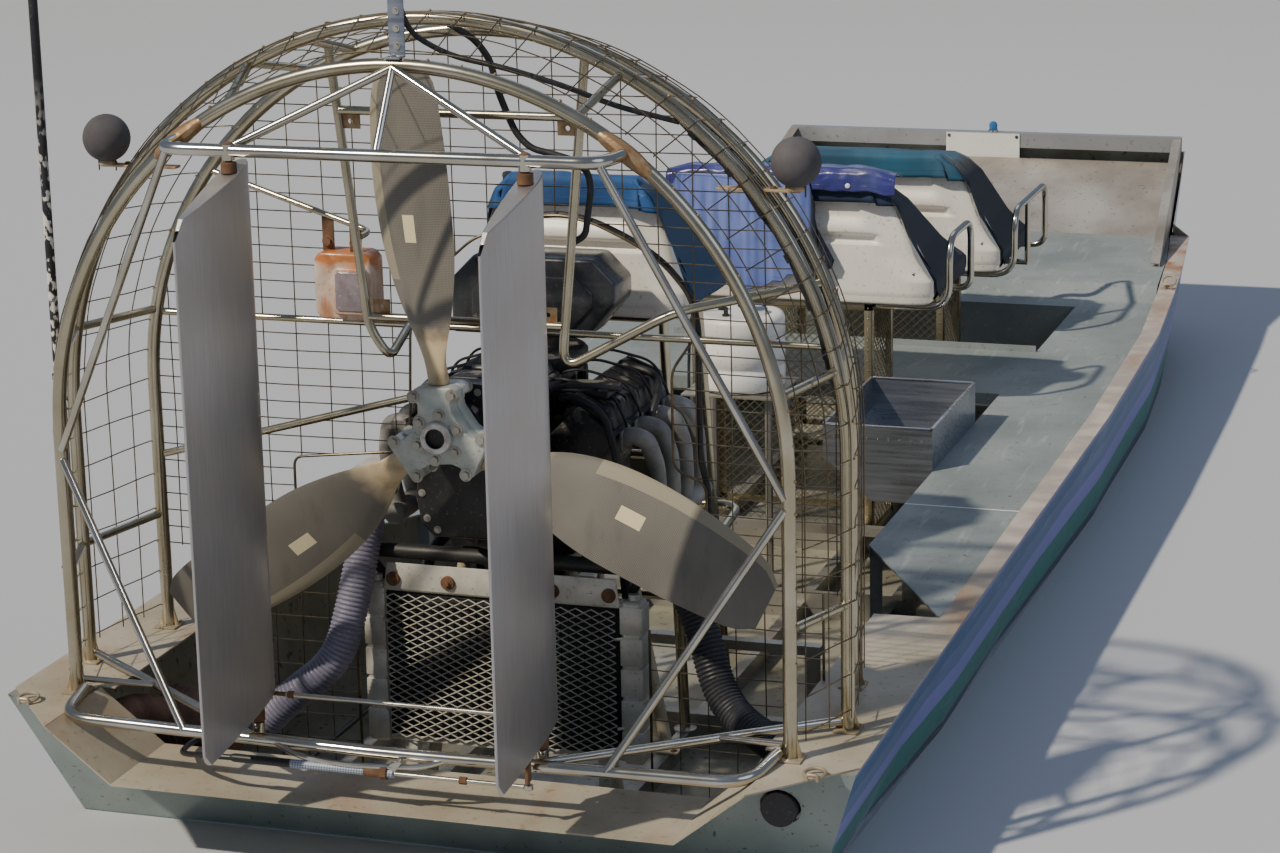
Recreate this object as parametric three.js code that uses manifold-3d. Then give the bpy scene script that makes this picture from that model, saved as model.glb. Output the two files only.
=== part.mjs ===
// An airboat: a flat-bottomed aluminium hull with an aircraft-style propeller in a
// tube cage, twin air rudders, a raised driver's seat and two rows of bench seats.
// Millimetres, +X to starboard, +Y to the bow, +Z up. The origin is on the flat
// bottom, on the centreline, right under the plane in which the propeller turns.
import * as THREE from 'three';
import { mergeVertices } from 'three/addons/utils/BufferGeometryUtils.js';
import Module from 'manifold-3d';

const wasm = await Module();
wasm.setup();

// Driving dimensions
const GAP = 0.3;
const PLATE = 6;
const HULL = { sheer: 550, transomFoot: -100, transomTop: -310, bow: 7000 };
const SHELF = { aft: -530, front: -200, low: 400, flat: 990, bend: 800, thick: 5 };
const EXHAUST = { x: 1010, z: 425, radius: 56 };
const WALK = { inner: 760, outer: 1150, aft: 1690, slant: 1000, bow: 5300, thick: 6 };
const CROSS_DECK = { aft: 3730, front: 4440, lip: 25 };
const BOW_PANEL = { foot: [6380.3, 652], head: [6930, 895], halfFoot: 984, halfHead: 945 };
const BOW_RAIL = { half: 945, aft: 6950, front: 7000, low: 940, top: 1010 };
const PROP = { z: 1307, radius: 998, tilt: 4.8, hubFace: -80, hubBack: 60, shaft: 38 };
const CAGE = {
  tube: 19,
  z: 1307,
  hoops: { rear: [-250, 1035], middle: [0, 1125], front: [350, 1050] },
};
const RUDDER = { x: 406, y: -410, top: 2098, barZ: 2135, lowBarZ: 556, pin: 9, boss: 17 };
const TIE = { y: -332, z: 636, radius: 7, eye: 13, bore: 5.4, stud: 5 };
const PUSH = { y: -520, z: 515, radius: 6, from: -90, stroke: 58, sheath: -430, sheathRadius: 12 };
const STICK = { x: -385, y: 1563, z: 760, low: 545, top: 1740, radius: 12 };
const CRANK = { z: 1040 };
const BLOCK = { aft: 470, front: 1030, half: 190, low: 830, high: 1120 };
const RADIATOR = { y: [375, 440], half: 425, low: 245, high: 735, tank: 62 };
const GUARD = { y: 355, half: 355, low: 265, high: 715 };

// Stations of the hull: y at the bottom, y at the sheer, half width and height of the
// bottom, half width and height of the sheer
const STATIONS = [
  [HULL.transomFoot, HULL.transomTop, 1030, 0, 1225, HULL.sheer],
  [1100, 1100, 1090, 0, 1220, HULL.sheer],
  [3500, 3500, 1140, 0, 1220, HULL.sheer],
  [4800, 4800, 1125, 0, 1193, 560],
  [5450, 5450, 1085, 60, 1155, 590],
  [6000, 6000, 1040, 210, 1115, 625],
  [6400, 6400, 1010, 400, 1077, 654],
  [6435, 6435, 980, 422, 996, 705],
  [HULL.bow, HULL.bow, 945, 860, 960, 940],
];

// Side plates of the bow board: y, outer face, foot, top
const BOARD_SIDES = [[5850, 1030, 622, 640], [6380, 987, 653, 815], [6949.7, 948, 893, 1003]];

// Gunwale plates: y, inner edge, outer edge, height
const GUNWALE = [
  [SHELF.front - 62, 1000, 1226, 550],
  [SHELF.front + 5, 1000, 1226, 550],
  [SHELF.front + 10, 950, 1226, 550],
  [WALK.slant - 10, 950, 1221, 550],
  [WALK.slant, WALK.outer, 1221, 550],
  [3500, WALK.outer, 1221, 550],
  [4800, 1121, 1194, 560],
  [5450, 1083, 1156, 590],
  [6000, 1040, 1116, 625],
  [6390, 993, 1078, 653.7],
];

// Benches from the bow: y of the back's rear face, lift of the seat above the first row
const BENCHES = [['row_1', 4560, 0, 1, [220, 16]], ['row_2', 3360, 120, 0, [90, 0]]];

// Finishes: colour, roughness, metalness
const FINISH = {
  hullPaint: ['#2b8f86', 0.45, 0.1],
  deckPaint: ['#93a9a4', 0.6, 0.1],
  cream: ['#cdbfa6', 0.6, 0.2],
  bareAluminium: ['#a9aaa8', 0.42, 0.85],
  stainless: ['#a8a08a', 0.3, 0.95],
  wire: ['#8f8266', 0.45, 0.8],
  castIron: ['#242628', 0.55, 0.5],
  castAluminium: ['#9fb0b0', 0.5, 0.8],
  exhaust: ['#8d8f92', 0.5, 0.6],
  composite: ['#6f675a', 0.5, 0.1],
  hose: ['#7b7888', 0.55, 0.05],
  blackHose: ['#1d1e20', 0.55, 0.05],
  rustySteel: ['#8a5a3a', 0.8, 0.5],
  shell: ['#e4e0d4', 0.35, 0.0],
  canvas: ['#1f6f86', 0.9, 0.0],
  greyPlastic: ['#77777a', 0.6, 0.0],
  whitePlastic: ['#f0efe9', 0.35, 0.0],
  blackPlastic: ['#16171a', 0.5, 0.0],
  bluePlastic: ['#2d6ea8', 0.15, 0.0],
  lampHousing: ['#a9743d', 0.3, 0.7],
  sign: ['#ece9df', 0.5, 0.0],
};

// Flats of an eight-sided tube, as a share of its radius
const FLAT = Math.cos(Math.PI / 8);

const airboat = new THREE.Group();

function finish(name) {
  const [color, roughness, metalness] = FINISH[name];
  return new THREE.MeshStandardMaterial({ color, roughness, metalness });
}

// Closed mesh with merged corners, its faces turned outwards
function toSolid(geometry) {
  const bare = geometry.clone();
  bare.deleteAttribute('normal');
  bare.deleteAttribute('uv');
  const merged = mergeVertices(bare, 1e-3);
  const corners = new Float32Array(merged.attributes.position.array);
  const faces = new Uint32Array(merged.index.array);
  if (signedVolume(corners, faces) < 0) faces.reverse();
  return new wasm.Manifold(new wasm.Mesh({ numProp: 3, vertProperties: corners, triVerts: faces }));
}

function signedVolume(corners, faces) {
  const point = (i) => new THREE.Vector3().fromArray(corners, 3 * faces[i]);
  let volume = 0;
  for (let i = 0; i < faces.length; i += 3) volume += point(i).dot(point(i + 1).cross(point(i + 2)));
  return volume / 6;
}

function toGeometry(solid) {
  const mesh = solid.getMesh();
  const geometry = new THREE.BufferGeometry();
  geometry.setAttribute('position', new THREE.BufferAttribute(mesh.vertProperties, 3));
  geometry.setIndex(new THREE.BufferAttribute(mesh.triVerts, 1));
  geometry.computeVertexNormals();
  return geometry;
}

function join(...solids) {
  return solids.flat().reduce((whole, next) => whole.add(next));
}

function piece(name, solid, finishName, parent = airboat) {
  const mesh = new THREE.Mesh(toGeometry(solid), finish(finishName));
  mesh.name = name;
  parent.add(mesh);
  return mesh;
}

function placed(geometry, at) {
  return toSolid(geometry.clone().translate(...at));
}

function block(x, y, z) {
  const size = [x, y, z].map(([low, high]) => high - low);
  const centre = [x, y, z].map(([low, high]) => (low + high) / 2);
  return placed(new THREE.BoxGeometry(...size), centre);
}

const vector = (point) => new THREE.Vector3(...point);

// Round bar between two points
function bar(from, to, radius, sides = 8) {
  const [a, b] = [vector(from), vector(to)];
  const geometry = new THREE.CylinderGeometry(radius, radius, a.distanceTo(b), sides);
  const along = b.clone().sub(a).normalize();
  geometry.applyQuaternion(new THREE.Quaternion().setFromUnitVectors(new THREE.Vector3(0, 1, 0), along));
  const middle = a.add(b).multiplyScalar(0.5);
  return toSolid(geometry.translate(...middle));
}

// Route of straight runs, its corners rounded with a bend radius
function rounded(points, bend, steps = 3) {
  const list = points.map(vector);
  const route = [list[0]];
  for (let i = 1; i < list.length - 1; i += 1) {
    const corner = list[i];
    const back = list[i - 1].clone().sub(corner);
    const ahead = list[i + 1].clone().sub(corner);
    const cut = Math.min(bend, back.length() * 0.45, ahead.length() * 0.45);
    const curve = new THREE.QuadraticBezierCurve3(
      corner.clone().add(back.setLength(cut)), corner, corner.clone().add(ahead.setLength(cut)));
    route.push(...curve.getPoints(steps));
  }
  route.push(list[list.length - 1]);
  return route;
}

// A curve that passes its stations exactly, one for each step of the extrusion
class Route extends THREE.Curve {
  constructor(stations) {
    super();
    this.stations = stations;
  }

  getPoint(t, target = new THREE.Vector3()) {
    const last = this.stations.length - 1;
    const place = Math.min(Math.max(t, 0), 1) * last;
    const index = Math.min(Math.floor(place), last - 1);
    return target.copy(this.stations[index]).lerp(this.stations[index + 1], place - index);
  }

  getPointAt(u, target) {
    return this.getPoint(u, target);
  }

  getTangentAt(u, target = new THREE.Vector3()) {
    const step = 0.25 / (this.stations.length - 1);
    return target.copy(this.getPoint(u + step)).sub(this.getPoint(u - step)).normalize();
  }
}

function sectionShape(radius, sides) {
  const corner = (_, i) => {
    const angle = (2 * Math.PI * (i + 0.5)) / sides;
    return new THREE.Vector2(radius * Math.cos(angle), radius * Math.sin(angle));
  };
  return new THREE.Shape(Array.from({ length: sides }, corner));
}

// Round bar or wire that follows a list of stations
function swept(stations, radius, sides = 8) {
  const geometry = new THREE.ExtrudeGeometry(sectionShape(radius, sides), {
    steps: stations.length - 1,
    extrudePath: new Route(stations),
    bevelEnabled: false,
  });
  return toSolid(geometry);
}

function tube(points, radius, { bend = 60, steps = 3, sides = 8 } = {}) {
  return swept(rounded(points, bend, steps), radius, sides);
}

const AXES = {
  x: [new THREE.Vector3(0, 1, 0), new THREE.Vector3(0, 0, 1), new THREE.Vector3(1, 0, 0)],
  y: [new THREE.Vector3(1, 0, 0), new THREE.Vector3(0, 0, 1), new THREE.Vector3(0, 1, 0)],
  z: [new THREE.Vector3(1, 0, 0), new THREE.Vector3(0, 1, 0), new THREE.Vector3(0, 0, 1)],
};

// Flat plate: an outline seen along one axis, and how far it reaches along that axis
function sheet(outline, [low, high], axis = 'z') {
  const shape = new THREE.Shape(outline.map(([a, b]) => new THREE.Vector2(a, b)));
  const geometry = new THREE.ExtrudeGeometry(shape, { depth: high - low, bevelEnabled: false });
  geometry.translate(0, 0, low);
  return toSolid(geometry.applyMatrix4(new THREE.Matrix4().makeBasis(...AXES[axis])));
}

// Skin over rings of points that all have the same count, closed at both ends
function loft(rings) {
  const count = rings[0].length;
  const index = [];
  for (let r = 0; r < rings.length - 1; r += 1) {
    for (let i = 0; i < count; i += 1) {
      const a = r * count + i;
      const b = r * count + ((i + 1) % count);
      index.push(a, b, b + count, a, b + count, a + count);
    }
  }
  for (let i = 1; i < count - 1; i += 1) {
    const end = (rings.length - 1) * count;
    index.push(0, i + 1, i, end, end + i, end + i + 1);
  }
  const geometry = new THREE.BufferGeometry();
  geometry.setAttribute('position', new THREE.Float32BufferAttribute(rings.flat(2), 3));
  geometry.setIndex(index);
  return toSolid(geometry);
}

// The same solid on the other side of the centreline
function reflected(solid) {
  return toSolid(toGeometry(solid).scale(-1, 1, 1));
}

// Same height and fore-and-aft place on both sides of the boat
const SIDES = [['port', -1], ['starboard', 1]];

// Corrugated exhaust hoses are plain round solids along their real route
const HOSE = { radius: 50 };
const HOSE_PORT = [[-400, 499.7, 1010], [-400, 420, 1010], [-470, 340, 760], [-600, 230, 400], [-660, 200, 330],
  [-759.7, 200, 330]];
const HOSE_STARBOARD = [[400, 499.7, 1010], [400, 420, 1010], [600, 330, 760], [720, 210, 500], [1010, 20, 425],
  [1010, -285, 425]];

// Hull: the outer skin less the inner one, open at the top, its transom notched
function station([lowY, highY, bottom, low, top, high], inset = 0, lift = 0) {
  const [b, t] = [bottom - inset, top - inset + 0.2 * lift];
  return [[-b, lowY, low + inset], [b, lowY, low + inset], [t, highY, high + lift], [-t, highY, high + lift]];
}

function shelfProfile(drop = 0) {
  const { low, flat, bend, thick } = SHELF;
  const [side, middle] = [HULL.sheer + thick - drop, low + thick - drop];
  return [[-flat, side], [-bend, middle], [bend, middle], [flat, side]];
}

function hullShell() {
  const outer = loft(STATIONS.map((s) => station(s)));
  const inner = STATIONS.map(([lowY, highY, ...rest], i) => {
    const inward = { 0: PLATE, [STATIONS.length - 1]: -PLATE }[i] ?? 0;
    return station([lowY + inward, highY + inward, ...rest], PLATE, 60);
  });
  const notch = [...shelfProfile(SHELF.thick + GAP), [SHELF.flat, 800], [-SHELF.flat, 800]];
  const holes = SIDES.map(([, side]) =>
    bar([side * EXHAUST.x, -500, EXHAUST.z], [side * EXHAUST.x, 0, EXHAUST.z], EXHAUST.radius, 20));
  return outer.subtract(loft(inner)).subtract(sheet(notch, [-500, 0], 'y')).subtract(join(holes));
}

function gunwale(side) {
  const ring = ([y, inner, outer, z]) => [
    [side * inner, y, z + GAP], [side * outer, y, z + GAP],
    [side * outer, y, z + SHELF.thick], [side * inner, y, z + SHELF.thick],
  ];
  return loft(GUNWALE.map(ring));
}

function aftShelf() {
  const { aft, front, flat, thick } = SHELF;
  const outline = [...shelfProfile(), ...shelfProfile(thick).reverse()];
  const corner = GUNWALE[0][0] + 1;
  const wing = ([, side]) => sheet(
    [[side * (flat - 1), aft], [side * 1226, corner], [side * (flat - 1), corner]],
    [HULL.sheer + GAP, HULL.sheer + thick]);
  const strips = SIDES.map(([, side]) => gunwale(side));
  return join(sheet(outline, [aft, front], 'y'), SIDES.map(wing), strips);
}

// Angle legs under the side decks' inner edges
const DECK_LEGS = [WALK.aft + 10, 2750, 3780, 4740];

function sideDeck(side) {
  const { inner, aft, slant, bow, thick } = WALK;
  const top = HULL.sheer;
  const edge = WALK.outer - GAP;
  const outline = [[inner, aft], [edge, slant + 5], [edge, 3500], [edge - 29, 4800], [edge - 58, bow - GAP],
    [inner, bow - GAP]];
  const legs = DECK_LEGS.flatMap((y) => [
    block([inner, inner + 40], [y, y + 6], [PLATE + GAP, top - 1]),
    block([inner, inner + 6], [y, y + 40], [PLATE + GAP, top - 1])]);
  const flange = block([inner, inner + 4], [aft, bow - GAP], [top - 45, top]);
  const deck = join(sheet(outline, [top - thick, top]), flange, legs);
  return side > 0 ? deck : reflected(deck);
}

function crossDeck() {
  const { aft, front, lip } = CROSS_DECK;
  const half = WALK.inner - GAP;
  return join(
    block([-half, half], [aft, front], [HULL.sheer - PLATE, HULL.sheer]),
    block([-half, half], [aft, aft + 4], [HULL.sheer - 50, HULL.sheer]),
    block([-half, half], [front - 5, front], [HULL.sheer - 50, HULL.sheer + lip]));
}

// Bow deck: y, half width, height of its top
const BOW_DECK = [[WALK.bow, 1090, 550], [5430, 1078, 550], [5540, 1070, 605], [6000, 1038, 630], [6380, 990, 652]];

function bowDeck() {
  const skin = loft(BOW_DECK.map(([y, half, z]) =>
    [[-half, y, z - PLATE], [half, y, z - PLATE], [half, y, z], [-half, y, z]]));
  const { bow } = WALK;
  const riser = sheet([[-1070, 60], [1070, 60], [1080, 545], [-1080, 545]], [bow, bow + 5], 'y');
  return skin.add(riser);
}

function bowPanel() {
  const { foot, head, halfFoot, halfHead } = BOW_PANEL;
  const ring = ([y, z], half) =>
    [[-half, y, z], [half, y, z], [half, y + 5, z - 8], [-half, y + 5, z - 8]];
  const plate = (side) => loft(BOARD_SIDES.map(([y, x, low, high]) =>
    [[side * x, y, low], [side * x, y, high], [side * (x - 5), y, high], [side * (x - 5), y, low]]));
  const lip = (side) => loft(BOARD_SIDES.map(([y, x, , high]) =>
    [[side * x, y, high - 5], [side * x, y, high], [side * (x - 40), y, high], [side * (x - 40), y, high - 5]]));
  const edges = SIDES.flatMap(([, side]) => [plate(side), lip(side)]);
  return join(loft([ring(foot, halfFoot), ring(head, halfHead)]), edges);
}

const FLOOR_FRAMES = [350, 1250, 2540, 3350];
const STRINGERS = [-620, -300, 300, 620];
const LOW_BARS = [1250, 2540];

function floorFrame() {
  const floor = PLATE + GAP;
  const frames = FLOOR_FRAMES.map((y) => block([-700, 700], [y - 20, y + 20], [floor, floor + 90]));
  const stringers = STRINGERS.map((x) => block([x - 20, x + 20], [40, 4780], [floor, floor + 60]));
  const bars = LOW_BARS.map((y) => block([-720, 720], [y - 20, y + 20], [320, 350]));
  const posts = LOW_BARS.flatMap((y) => SIDES.map(([, side]) =>
    block([side * 690 - 20, side * 690 + 20], [y - 20, y + 20], [floor, 321])));
  return join(frames, stringers, bars, posts);
}

// Cage: three hoops of tube, joined by short braces, under wire mesh
function hoopLine(y, radius, lower, sides = 20) {
  const arch = Array.from({ length: sides + 1 }, (_, i) => {
    const angle = Math.PI * (i / sides);
    return new THREE.Vector3(radius * Math.cos(angle), y, CAGE.z + radius * Math.sin(angle));
  });
  const foot = (side) => new THREE.Vector3(side * radius, y, lower);
  return [foot(1), ...arch, foot(-1)];
}

function hoop(name, lower = HULL.sheer + SHELF.thick + GAP) {
  const [y, radius] = CAGE.hoops[name];
  return swept(hoopLine(y, radius, lower), CAGE.tube);
}

const around = (radius, degrees) => {
  const angle = THREE.MathUtils.degToRad(degrees);
  return [radius * Math.cos(angle), CAGE.z + radius * Math.sin(angle)];
};

// Short braces between two hoops, at these angles up from starboard
const BRACES = [-22, 12, 62, 118, 168, 202];

function braces(fromName, toName) {
  const [fromY, fromRadius] = CAGE.hoops[fromName];
  const [toY, toRadius] = CAGE.hoops[toName];
  return BRACES.map((degrees) => {
    const leg = degrees < 0 || degrees > 180;
    const height = CAGE.z + 1.6 * (leg ? -250 : 0);
    const [fx, fz] = leg ? [Math.sign(90 - degrees) * fromRadius, height] : around(fromRadius, degrees);
    const [tx, tz] = leg ? [Math.sign(90 - degrees) * toRadius, height] : around(toRadius, degrees);
    return bar([fx, fromY, fz], [tx, toY, tz], 12);
  });
}

function cageMiddle() {
  const [rearY, rearRadius] = CAGE.hoops.rear;
  const [frontY, frontRadius] = CAGE.hoops.front;
  const skinned = CAGE.tube + GAP;
  const rearCut = swept(hoopLine(rearY, rearRadius, 0), skinned);
  const frontCut = swept(hoopLine(frontY, frontRadius, 0), skinned);
  const ties = join(braces('middle', 'rear'), braces('middle', 'front'));
  const carved = ties.subtract(rearCut).subtract(frontCut);
  return hoop('middle').add(carved);
}

// Wires that follow the hoops outside: rings round the cage, and ties from rear to front
function sideMesh() {
  const out = CAGE.tube + 4.5 + GAP;
  const line = [['rear', 28, 10.5], ['middle', 0, 0], ['front', 30, 0]].map(([name, beyond, wider]) => {
    const [y, radius] = CAGE.hoops[name];
    return [y + beyond, radius + wider + out];
  });
  const ties = [];
  for (let degrees = 0; degrees <= 180; degrees += 18) {
    ties.push(swept(line.map(([y, radius]) => {
      const [x, z] = around(radius, degrees);
      return new THREE.Vector3(x, y, z);
    }), 3, 4));
  }
  for (const height of [720, 1010]) {
    for (const [, side] of SIDES) {
      ties.push(swept(line.map(([y, radius]) => new THREE.Vector3(side * radius, y, height)), 3, 4));
    }
  }
  const rings = [[line[0], line[1], 0.02], [line[0], line[1], 0.9], [line[1], line[2], 0.98]]
    .map(([[ya, ra], [yb, rb], share]) =>
      swept(hoopLine(ya + (yb - ya) * share, ra + (rb - ra) * share, 600), 3.4, 4));
  return join(rings, ties);
}

// Square grid of wire over the cage's front, with an opening for the engine
const GRID = { y: 371, pitch: 225, radius: 2.6 };

const OPENING = { wide: 625, shoulder: 1100, narrow: 230, top: 1470 };

function frontMesh() {
  const [, radius] = CAGE.hoops.front;
  const reach = radius;
  const low = 805;
  const wires = [];
  for (let x = -900; x <= 900; x += GRID.pitch) {
    const top = CAGE.z + Math.sqrt(reach ** 2 - x ** 2);
    wires.push(bar([x, GRID.y, low], [x, GRID.y, top], GRID.radius, 4));
  }
  for (let z = low + 5; z <= 2250; z += GRID.pitch) {
    const half = z < CAGE.z ? reach : Math.sqrt(reach ** 2 - (z - CAGE.z) ** 2);
    wires.push(bar([-half, GRID.y + 1.7, z], [half, GRID.y + 1.7, z], GRID.radius, 4));
  }
  const rim = swept(hoopLine(GRID.y, reach, low), 4, 4);
  const { wide, shoulder, narrow, top } = OPENING;
  const depth = [GRID.y - 20, GRID.y + 20];
  const opening = join(
    block([-wide, wide], depth, [low - 50, shoulder]),
    block([-narrow, narrow], depth, [low - 50, top]));
  const corners = [[-wide, low], [-wide, shoulder], [-narrow, shoulder], [-narrow, top], [narrow, top],
    [narrow, shoulder], [wide, shoulder], [wide, low]];
  const edge = tube(corners.map(([x, z]) => [x, GRID.y, z]), 4, { bend: 20, steps: 1, sides: 4 });
  return join(rim, wires).subtract(opening).add(edge);
}

// Frame inside the cage's top: two hangers, a cross tube, and legs to the drive and the hoop
const INNER = { x: 370, y: 170, tube: 13, cross: 2120 };

function innerFrame() {
  const { x, y, tube: radius, cross } = INNER;
  const [middleY, middleR] = CAGE.hoops.middle;
  const [frontY, frontR] = CAGE.hoops.front;
  const height = (hoopRadius) => CAGE.z + Math.sqrt(hoopRadius ** 2 - x ** 2);
  const roof = SIDES.map(([, side]) =>
    bar([side * x, middleY, height(middleR)], [side * x, frontY, height(frontR)], radius));
  const hangTop = (height(middleR) + height(frontR)) / 2;
  const port = tube([[-x, y, hangTop], [-x, y, 1600], [-x + 110, y, 1480], [-45, y, 1480], [-45, y, 1390]], radius,
    { bend: 60 });
  const starboard = tube([[x, y, hangTop], [x, y, 1550], [720, y, 1670], [frontR - 50, frontY, 1700]], radius,
    { bend: 60 });
  const level = bar([-x, y, cross], [x, y, cross], radius - 2);
  const drive = block([-200, 200], [100, 320], [1300, PROP.z + REDUCTION.radius + GAP]);
  const clear = ['middle', 'front'].map((name) => swept(hoopLine(...CAGE.hoops[name], 0), CAGE.tube + GAP));
  return join(roof, port, starboard, level).subtract(join(clear)).subtract(drive);
}

// Propeller blade: distance from the axis, chord, pitch in degrees, thickness,
// and how far the middle of the chord lies ahead of the blade's own line
const BLADE = [
  [138, 74, 38, 52, 0],
  [205, 92, 34, 44, 4],
  [330, 200, 29, 34, 14],
  [470, 262, 24, 26, 18],
  [640, 272, 20, 20, 20],
  [820, 246, 16, 15, 14],
  [950, 200, 13, 11, 6],
  [PROP.radius, 130, 12, 7, 0],
];

function bladeSection([reach, chord, pitch, thick, ahead]) {
  const angle = THREE.MathUtils.degToRad(pitch);
  const outline = [[0.5, 0], [0.28, 0.42], [-0.1, 0.5], [-0.5, 0.1], [-0.5, -0.1], [-0.1, -0.32], [0.28, -0.3]];
  return outline.map(([a, t]) => {
    const [along, across] = [a * chord + ahead, t * thick];
    return [
      -along * Math.cos(angle) - across * Math.sin(angle),
      along * Math.sin(angle) - across * Math.cos(angle),
      reach,
    ];
  });
}

const SHANK = { radius: 28, from: 72, to: 139 };

const shank = (radius, from = SHANK.from) => bar([0, 0, from], [0, 0, SHANK.to], radius, 16);

function blade() {
  return join(loft(BLADE.map(bladeSection)), shank(SHANK.radius));
}

// Hub: a clamp with three arms that hold the blades' roots
function hub() {
  const { hubFace, hubBack, shaft } = PROP;
  const core = bar([0, hubFace, 0], [0, hubBack, 0], 62, 20);
  const arms = [0, 120, 240].map((turn) =>
    block([-48, 48], [hubFace + 21, hubBack - 9], [24, 136]).rotate([0, turn, 0]));
  const bore = bar([0, hubFace - 1, 0], [0, hubFace + 40, 0], 17, 16);
  const stub = bar([0, hubBack - 1, 0], [0, REDUCTION.nose - GAP, 0], shaft, 16);
  const sockets = [0, 120, 240].map((turn) => shank(SHANK.radius + GAP, SHANK.from - GAP).rotate([0, turn, 0]));
  return join(core, arms, stub).subtract(bore).subtract(join(sockets));
}

const REDUCTION = { nose: 95, aft: 130, front: 300, radius: 105 };

// Reduction drive: upper housing on the propeller's axis, lower one on the crankshaft's
function reduction() {
  const { nose, aft, front, radius } = REDUCTION;
  const outline = [[-110, CRANK.z - 80], [110, CRANK.z - 80], [150, CRANK.z + 40], [radius, PROP.z + 60],
    [60, PROP.z + radius], [-60, PROP.z + radius], [-radius, PROP.z + 60], [-150, CRANK.z + 40]];
  return join(
    sheet(outline, [aft, front], 'y'),
    bar([0, nose, PROP.z], [0, aft + 1, PROP.z], 62, 16),
    bar([0, front - 1, CRANK.z], [0, BLOCK.aft - GAP, CRANK.z], 175, 20));
}

const HEAD_HALF = 330;

// Engine: crankcase, two banks of cylinders with covers, intake and sump
function engine() {
  const { aft, front, half, low, high } = BLOCK;
  const outline = [[-half, low], [half, low], [half, high - 120], [HEAD_HALF, high + 70], [300, high + 160],
    [190, high + 190], [110, high + 90], [-110, high + 90], [-190, high + 190], [-300, high + 160],
    [-HEAD_HALF, high + 70], [-half, high - 120]];
  const body = sheet(outline, [aft, front], 'y');
  const sump = block([-130, 130], [aft + 60, front - 60], [low - 130, low + 1]);
  const intake = block([-90, 90], [aft + 90, front - 110], [high + 80, high + 200]);
  const filter = bar([0, 740, high + 199], [0, 740, high + 270], 150, 20);
  const pulley = bar([0, front - 1, CRANK.z], [0, front + 60, CRANK.z], 85, 16);
  return join(body, sump, intake, filter, pulley);
}

// Exhaust pipes of one bank, gathered in a log under the cylinder heads
function headers(side) {
  const log = bar([side * 400, 500, 1010], [side * 400, 1010, 1010], 34, 10);
  const pipes = [540, 670, 800, 930].map((y) => tube(
    [[side * 320, y, 1195], [side * 400, y, 1190], [side * 400, y, 1010]], 22, { bend: 45 }));
  const clear = block([-HEAD_HALF - GAP, HEAD_HALF + GAP], [400, 1200], [1100, 1300]);
  return join(log, pipes).subtract(clear);
}

// Stand: two frames of tube that carry the engine on the floor's stringers
const STAND = { tube: 19, rail: 812, x: 160, foot: 300, frames: [520, 980] };

function engineStand() {
  const { x, foot, rail, frames } = STAND;
  const floor = PLATE + GAP + 60 + GAP;
  const legs = frames.flatMap((y) => SIDES.map(([, side]) =>
    bar([side * foot, y, floor], [side * x, y, rail], STAND.tube, 8)));
  const rails = SIDES.map(([, side]) => bar([side * x, 470, rail - 8], [side * x, 1030, rail - 8], 17, 8));
  const crossing = frames.map((y) => bar([-foot * 0.75, y, 430], [foot * 0.75, y, 430], 14, 8));
  const plates = frames.flatMap((y) => SIDES.map(([, side]) =>
    block([side * foot - 45, side * foot + 45], [y - 45, y + 45], [floor, floor + 8])));
  const links = SIDES.map(([, side]) => bar([side * foot * 0.75, 520, 430], [side * foot * 0.75, 980, 430], 14, 8));
  const whole = join(legs, rails, crossing, plates, links).subtract(block([-400, 400], [400, 1100], [0, floor]));
  const under = block([-200, 200], [BLOCK.aft + 59, BLOCK.front - 59], [BLOCK.low - 130 - GAP, BLOCK.low]);
  return whole.subtract(under).subtract(block([-400, 400], [400, 1100], [BLOCK.low - GAP, 1400]));
}

function radiator() {
  const { y, half, low, high, tank } = RADIATOR;
  const core = block([-half + tank - 1, half - tank + 1], [y[0] + 10, y[1] - 10], [low + 20, high - 20]);
  const tanks = SIDES.map(([, side]) => {
    const edges = [side * (half - tank), side * half].sort((a, b) => a - b);
    return block(edges, y, [low, high]);
  });
  const feet = SIDES.map(([, side]) => {
    const edges = [side * 320, side * 280].sort((a, b) => a - b);
    return block(edges, [y[0] + 12, y[1] - 12], [PLATE + GAP + 60 + GAP, low + 21]);
  });
  return join(core, tanks, feet, radiatorGuard());
}

const GUARD_MESH = { lean: 0.48, step: 66, rows: 12, thick: 2.6 };

// Diamond mesh: two layers of slanting bars, cut to the inside of the guard's rim
function guardMesh() {
  const { y, half, low, high } = GUARD;
  const { lean, step, rows, thick } = GUARD_MESH;
  const layers = [[-1, y + 4], [1, y + 10]];
  const bars = layers.flatMap(([way, at]) => Array.from({ length: rows }, (_, i) => {
    const middle = (low + high) / 2 + (i - (rows - 1) / 2) * step;
    const rise = way * lean * half;
    return bar([-half, at, middle - rise], [half, at, middle + rise], thick, 4);
  }));
  return join(bars).intersect(block([-half + 1, half - 1], [y, y + 14], [low + 1, high - 1]));
}

// Guard behind the radiator: diamond mesh in a rim
function radiatorGuard() {
  const { y, half, low, high } = GUARD;
  const rim = join(
    block([-half, half], [y, y + 14], [low, low + 10]),
    block([-half, half], [y, y + 14], [high - 10, high]),
    block([-half, -half + 10], [y, y + 14], [low, high]),
    block([half - 10, half], [y, y + 14], [low, high]));
  const studs = SIDES.flatMap(([, side]) => [low + 90, high - 90].map((z) =>
    bar([side * (half - 5), y + 10, z], [side * (half + 14), RADIATOR.y[0] + 4, z], 5, 6)));
  return join(rim, guardMesh(), studs);
}

// Rudders: aluminium aerofoils that hang on pins in the rudder frame
const RUDDER_OUTLINE = [[-325, RUDDER.top], [-700, 2010], [-745, 1960], [-745, 600], [-715, 566], [-318, 652]];

const EYE_HALF = 7;

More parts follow.
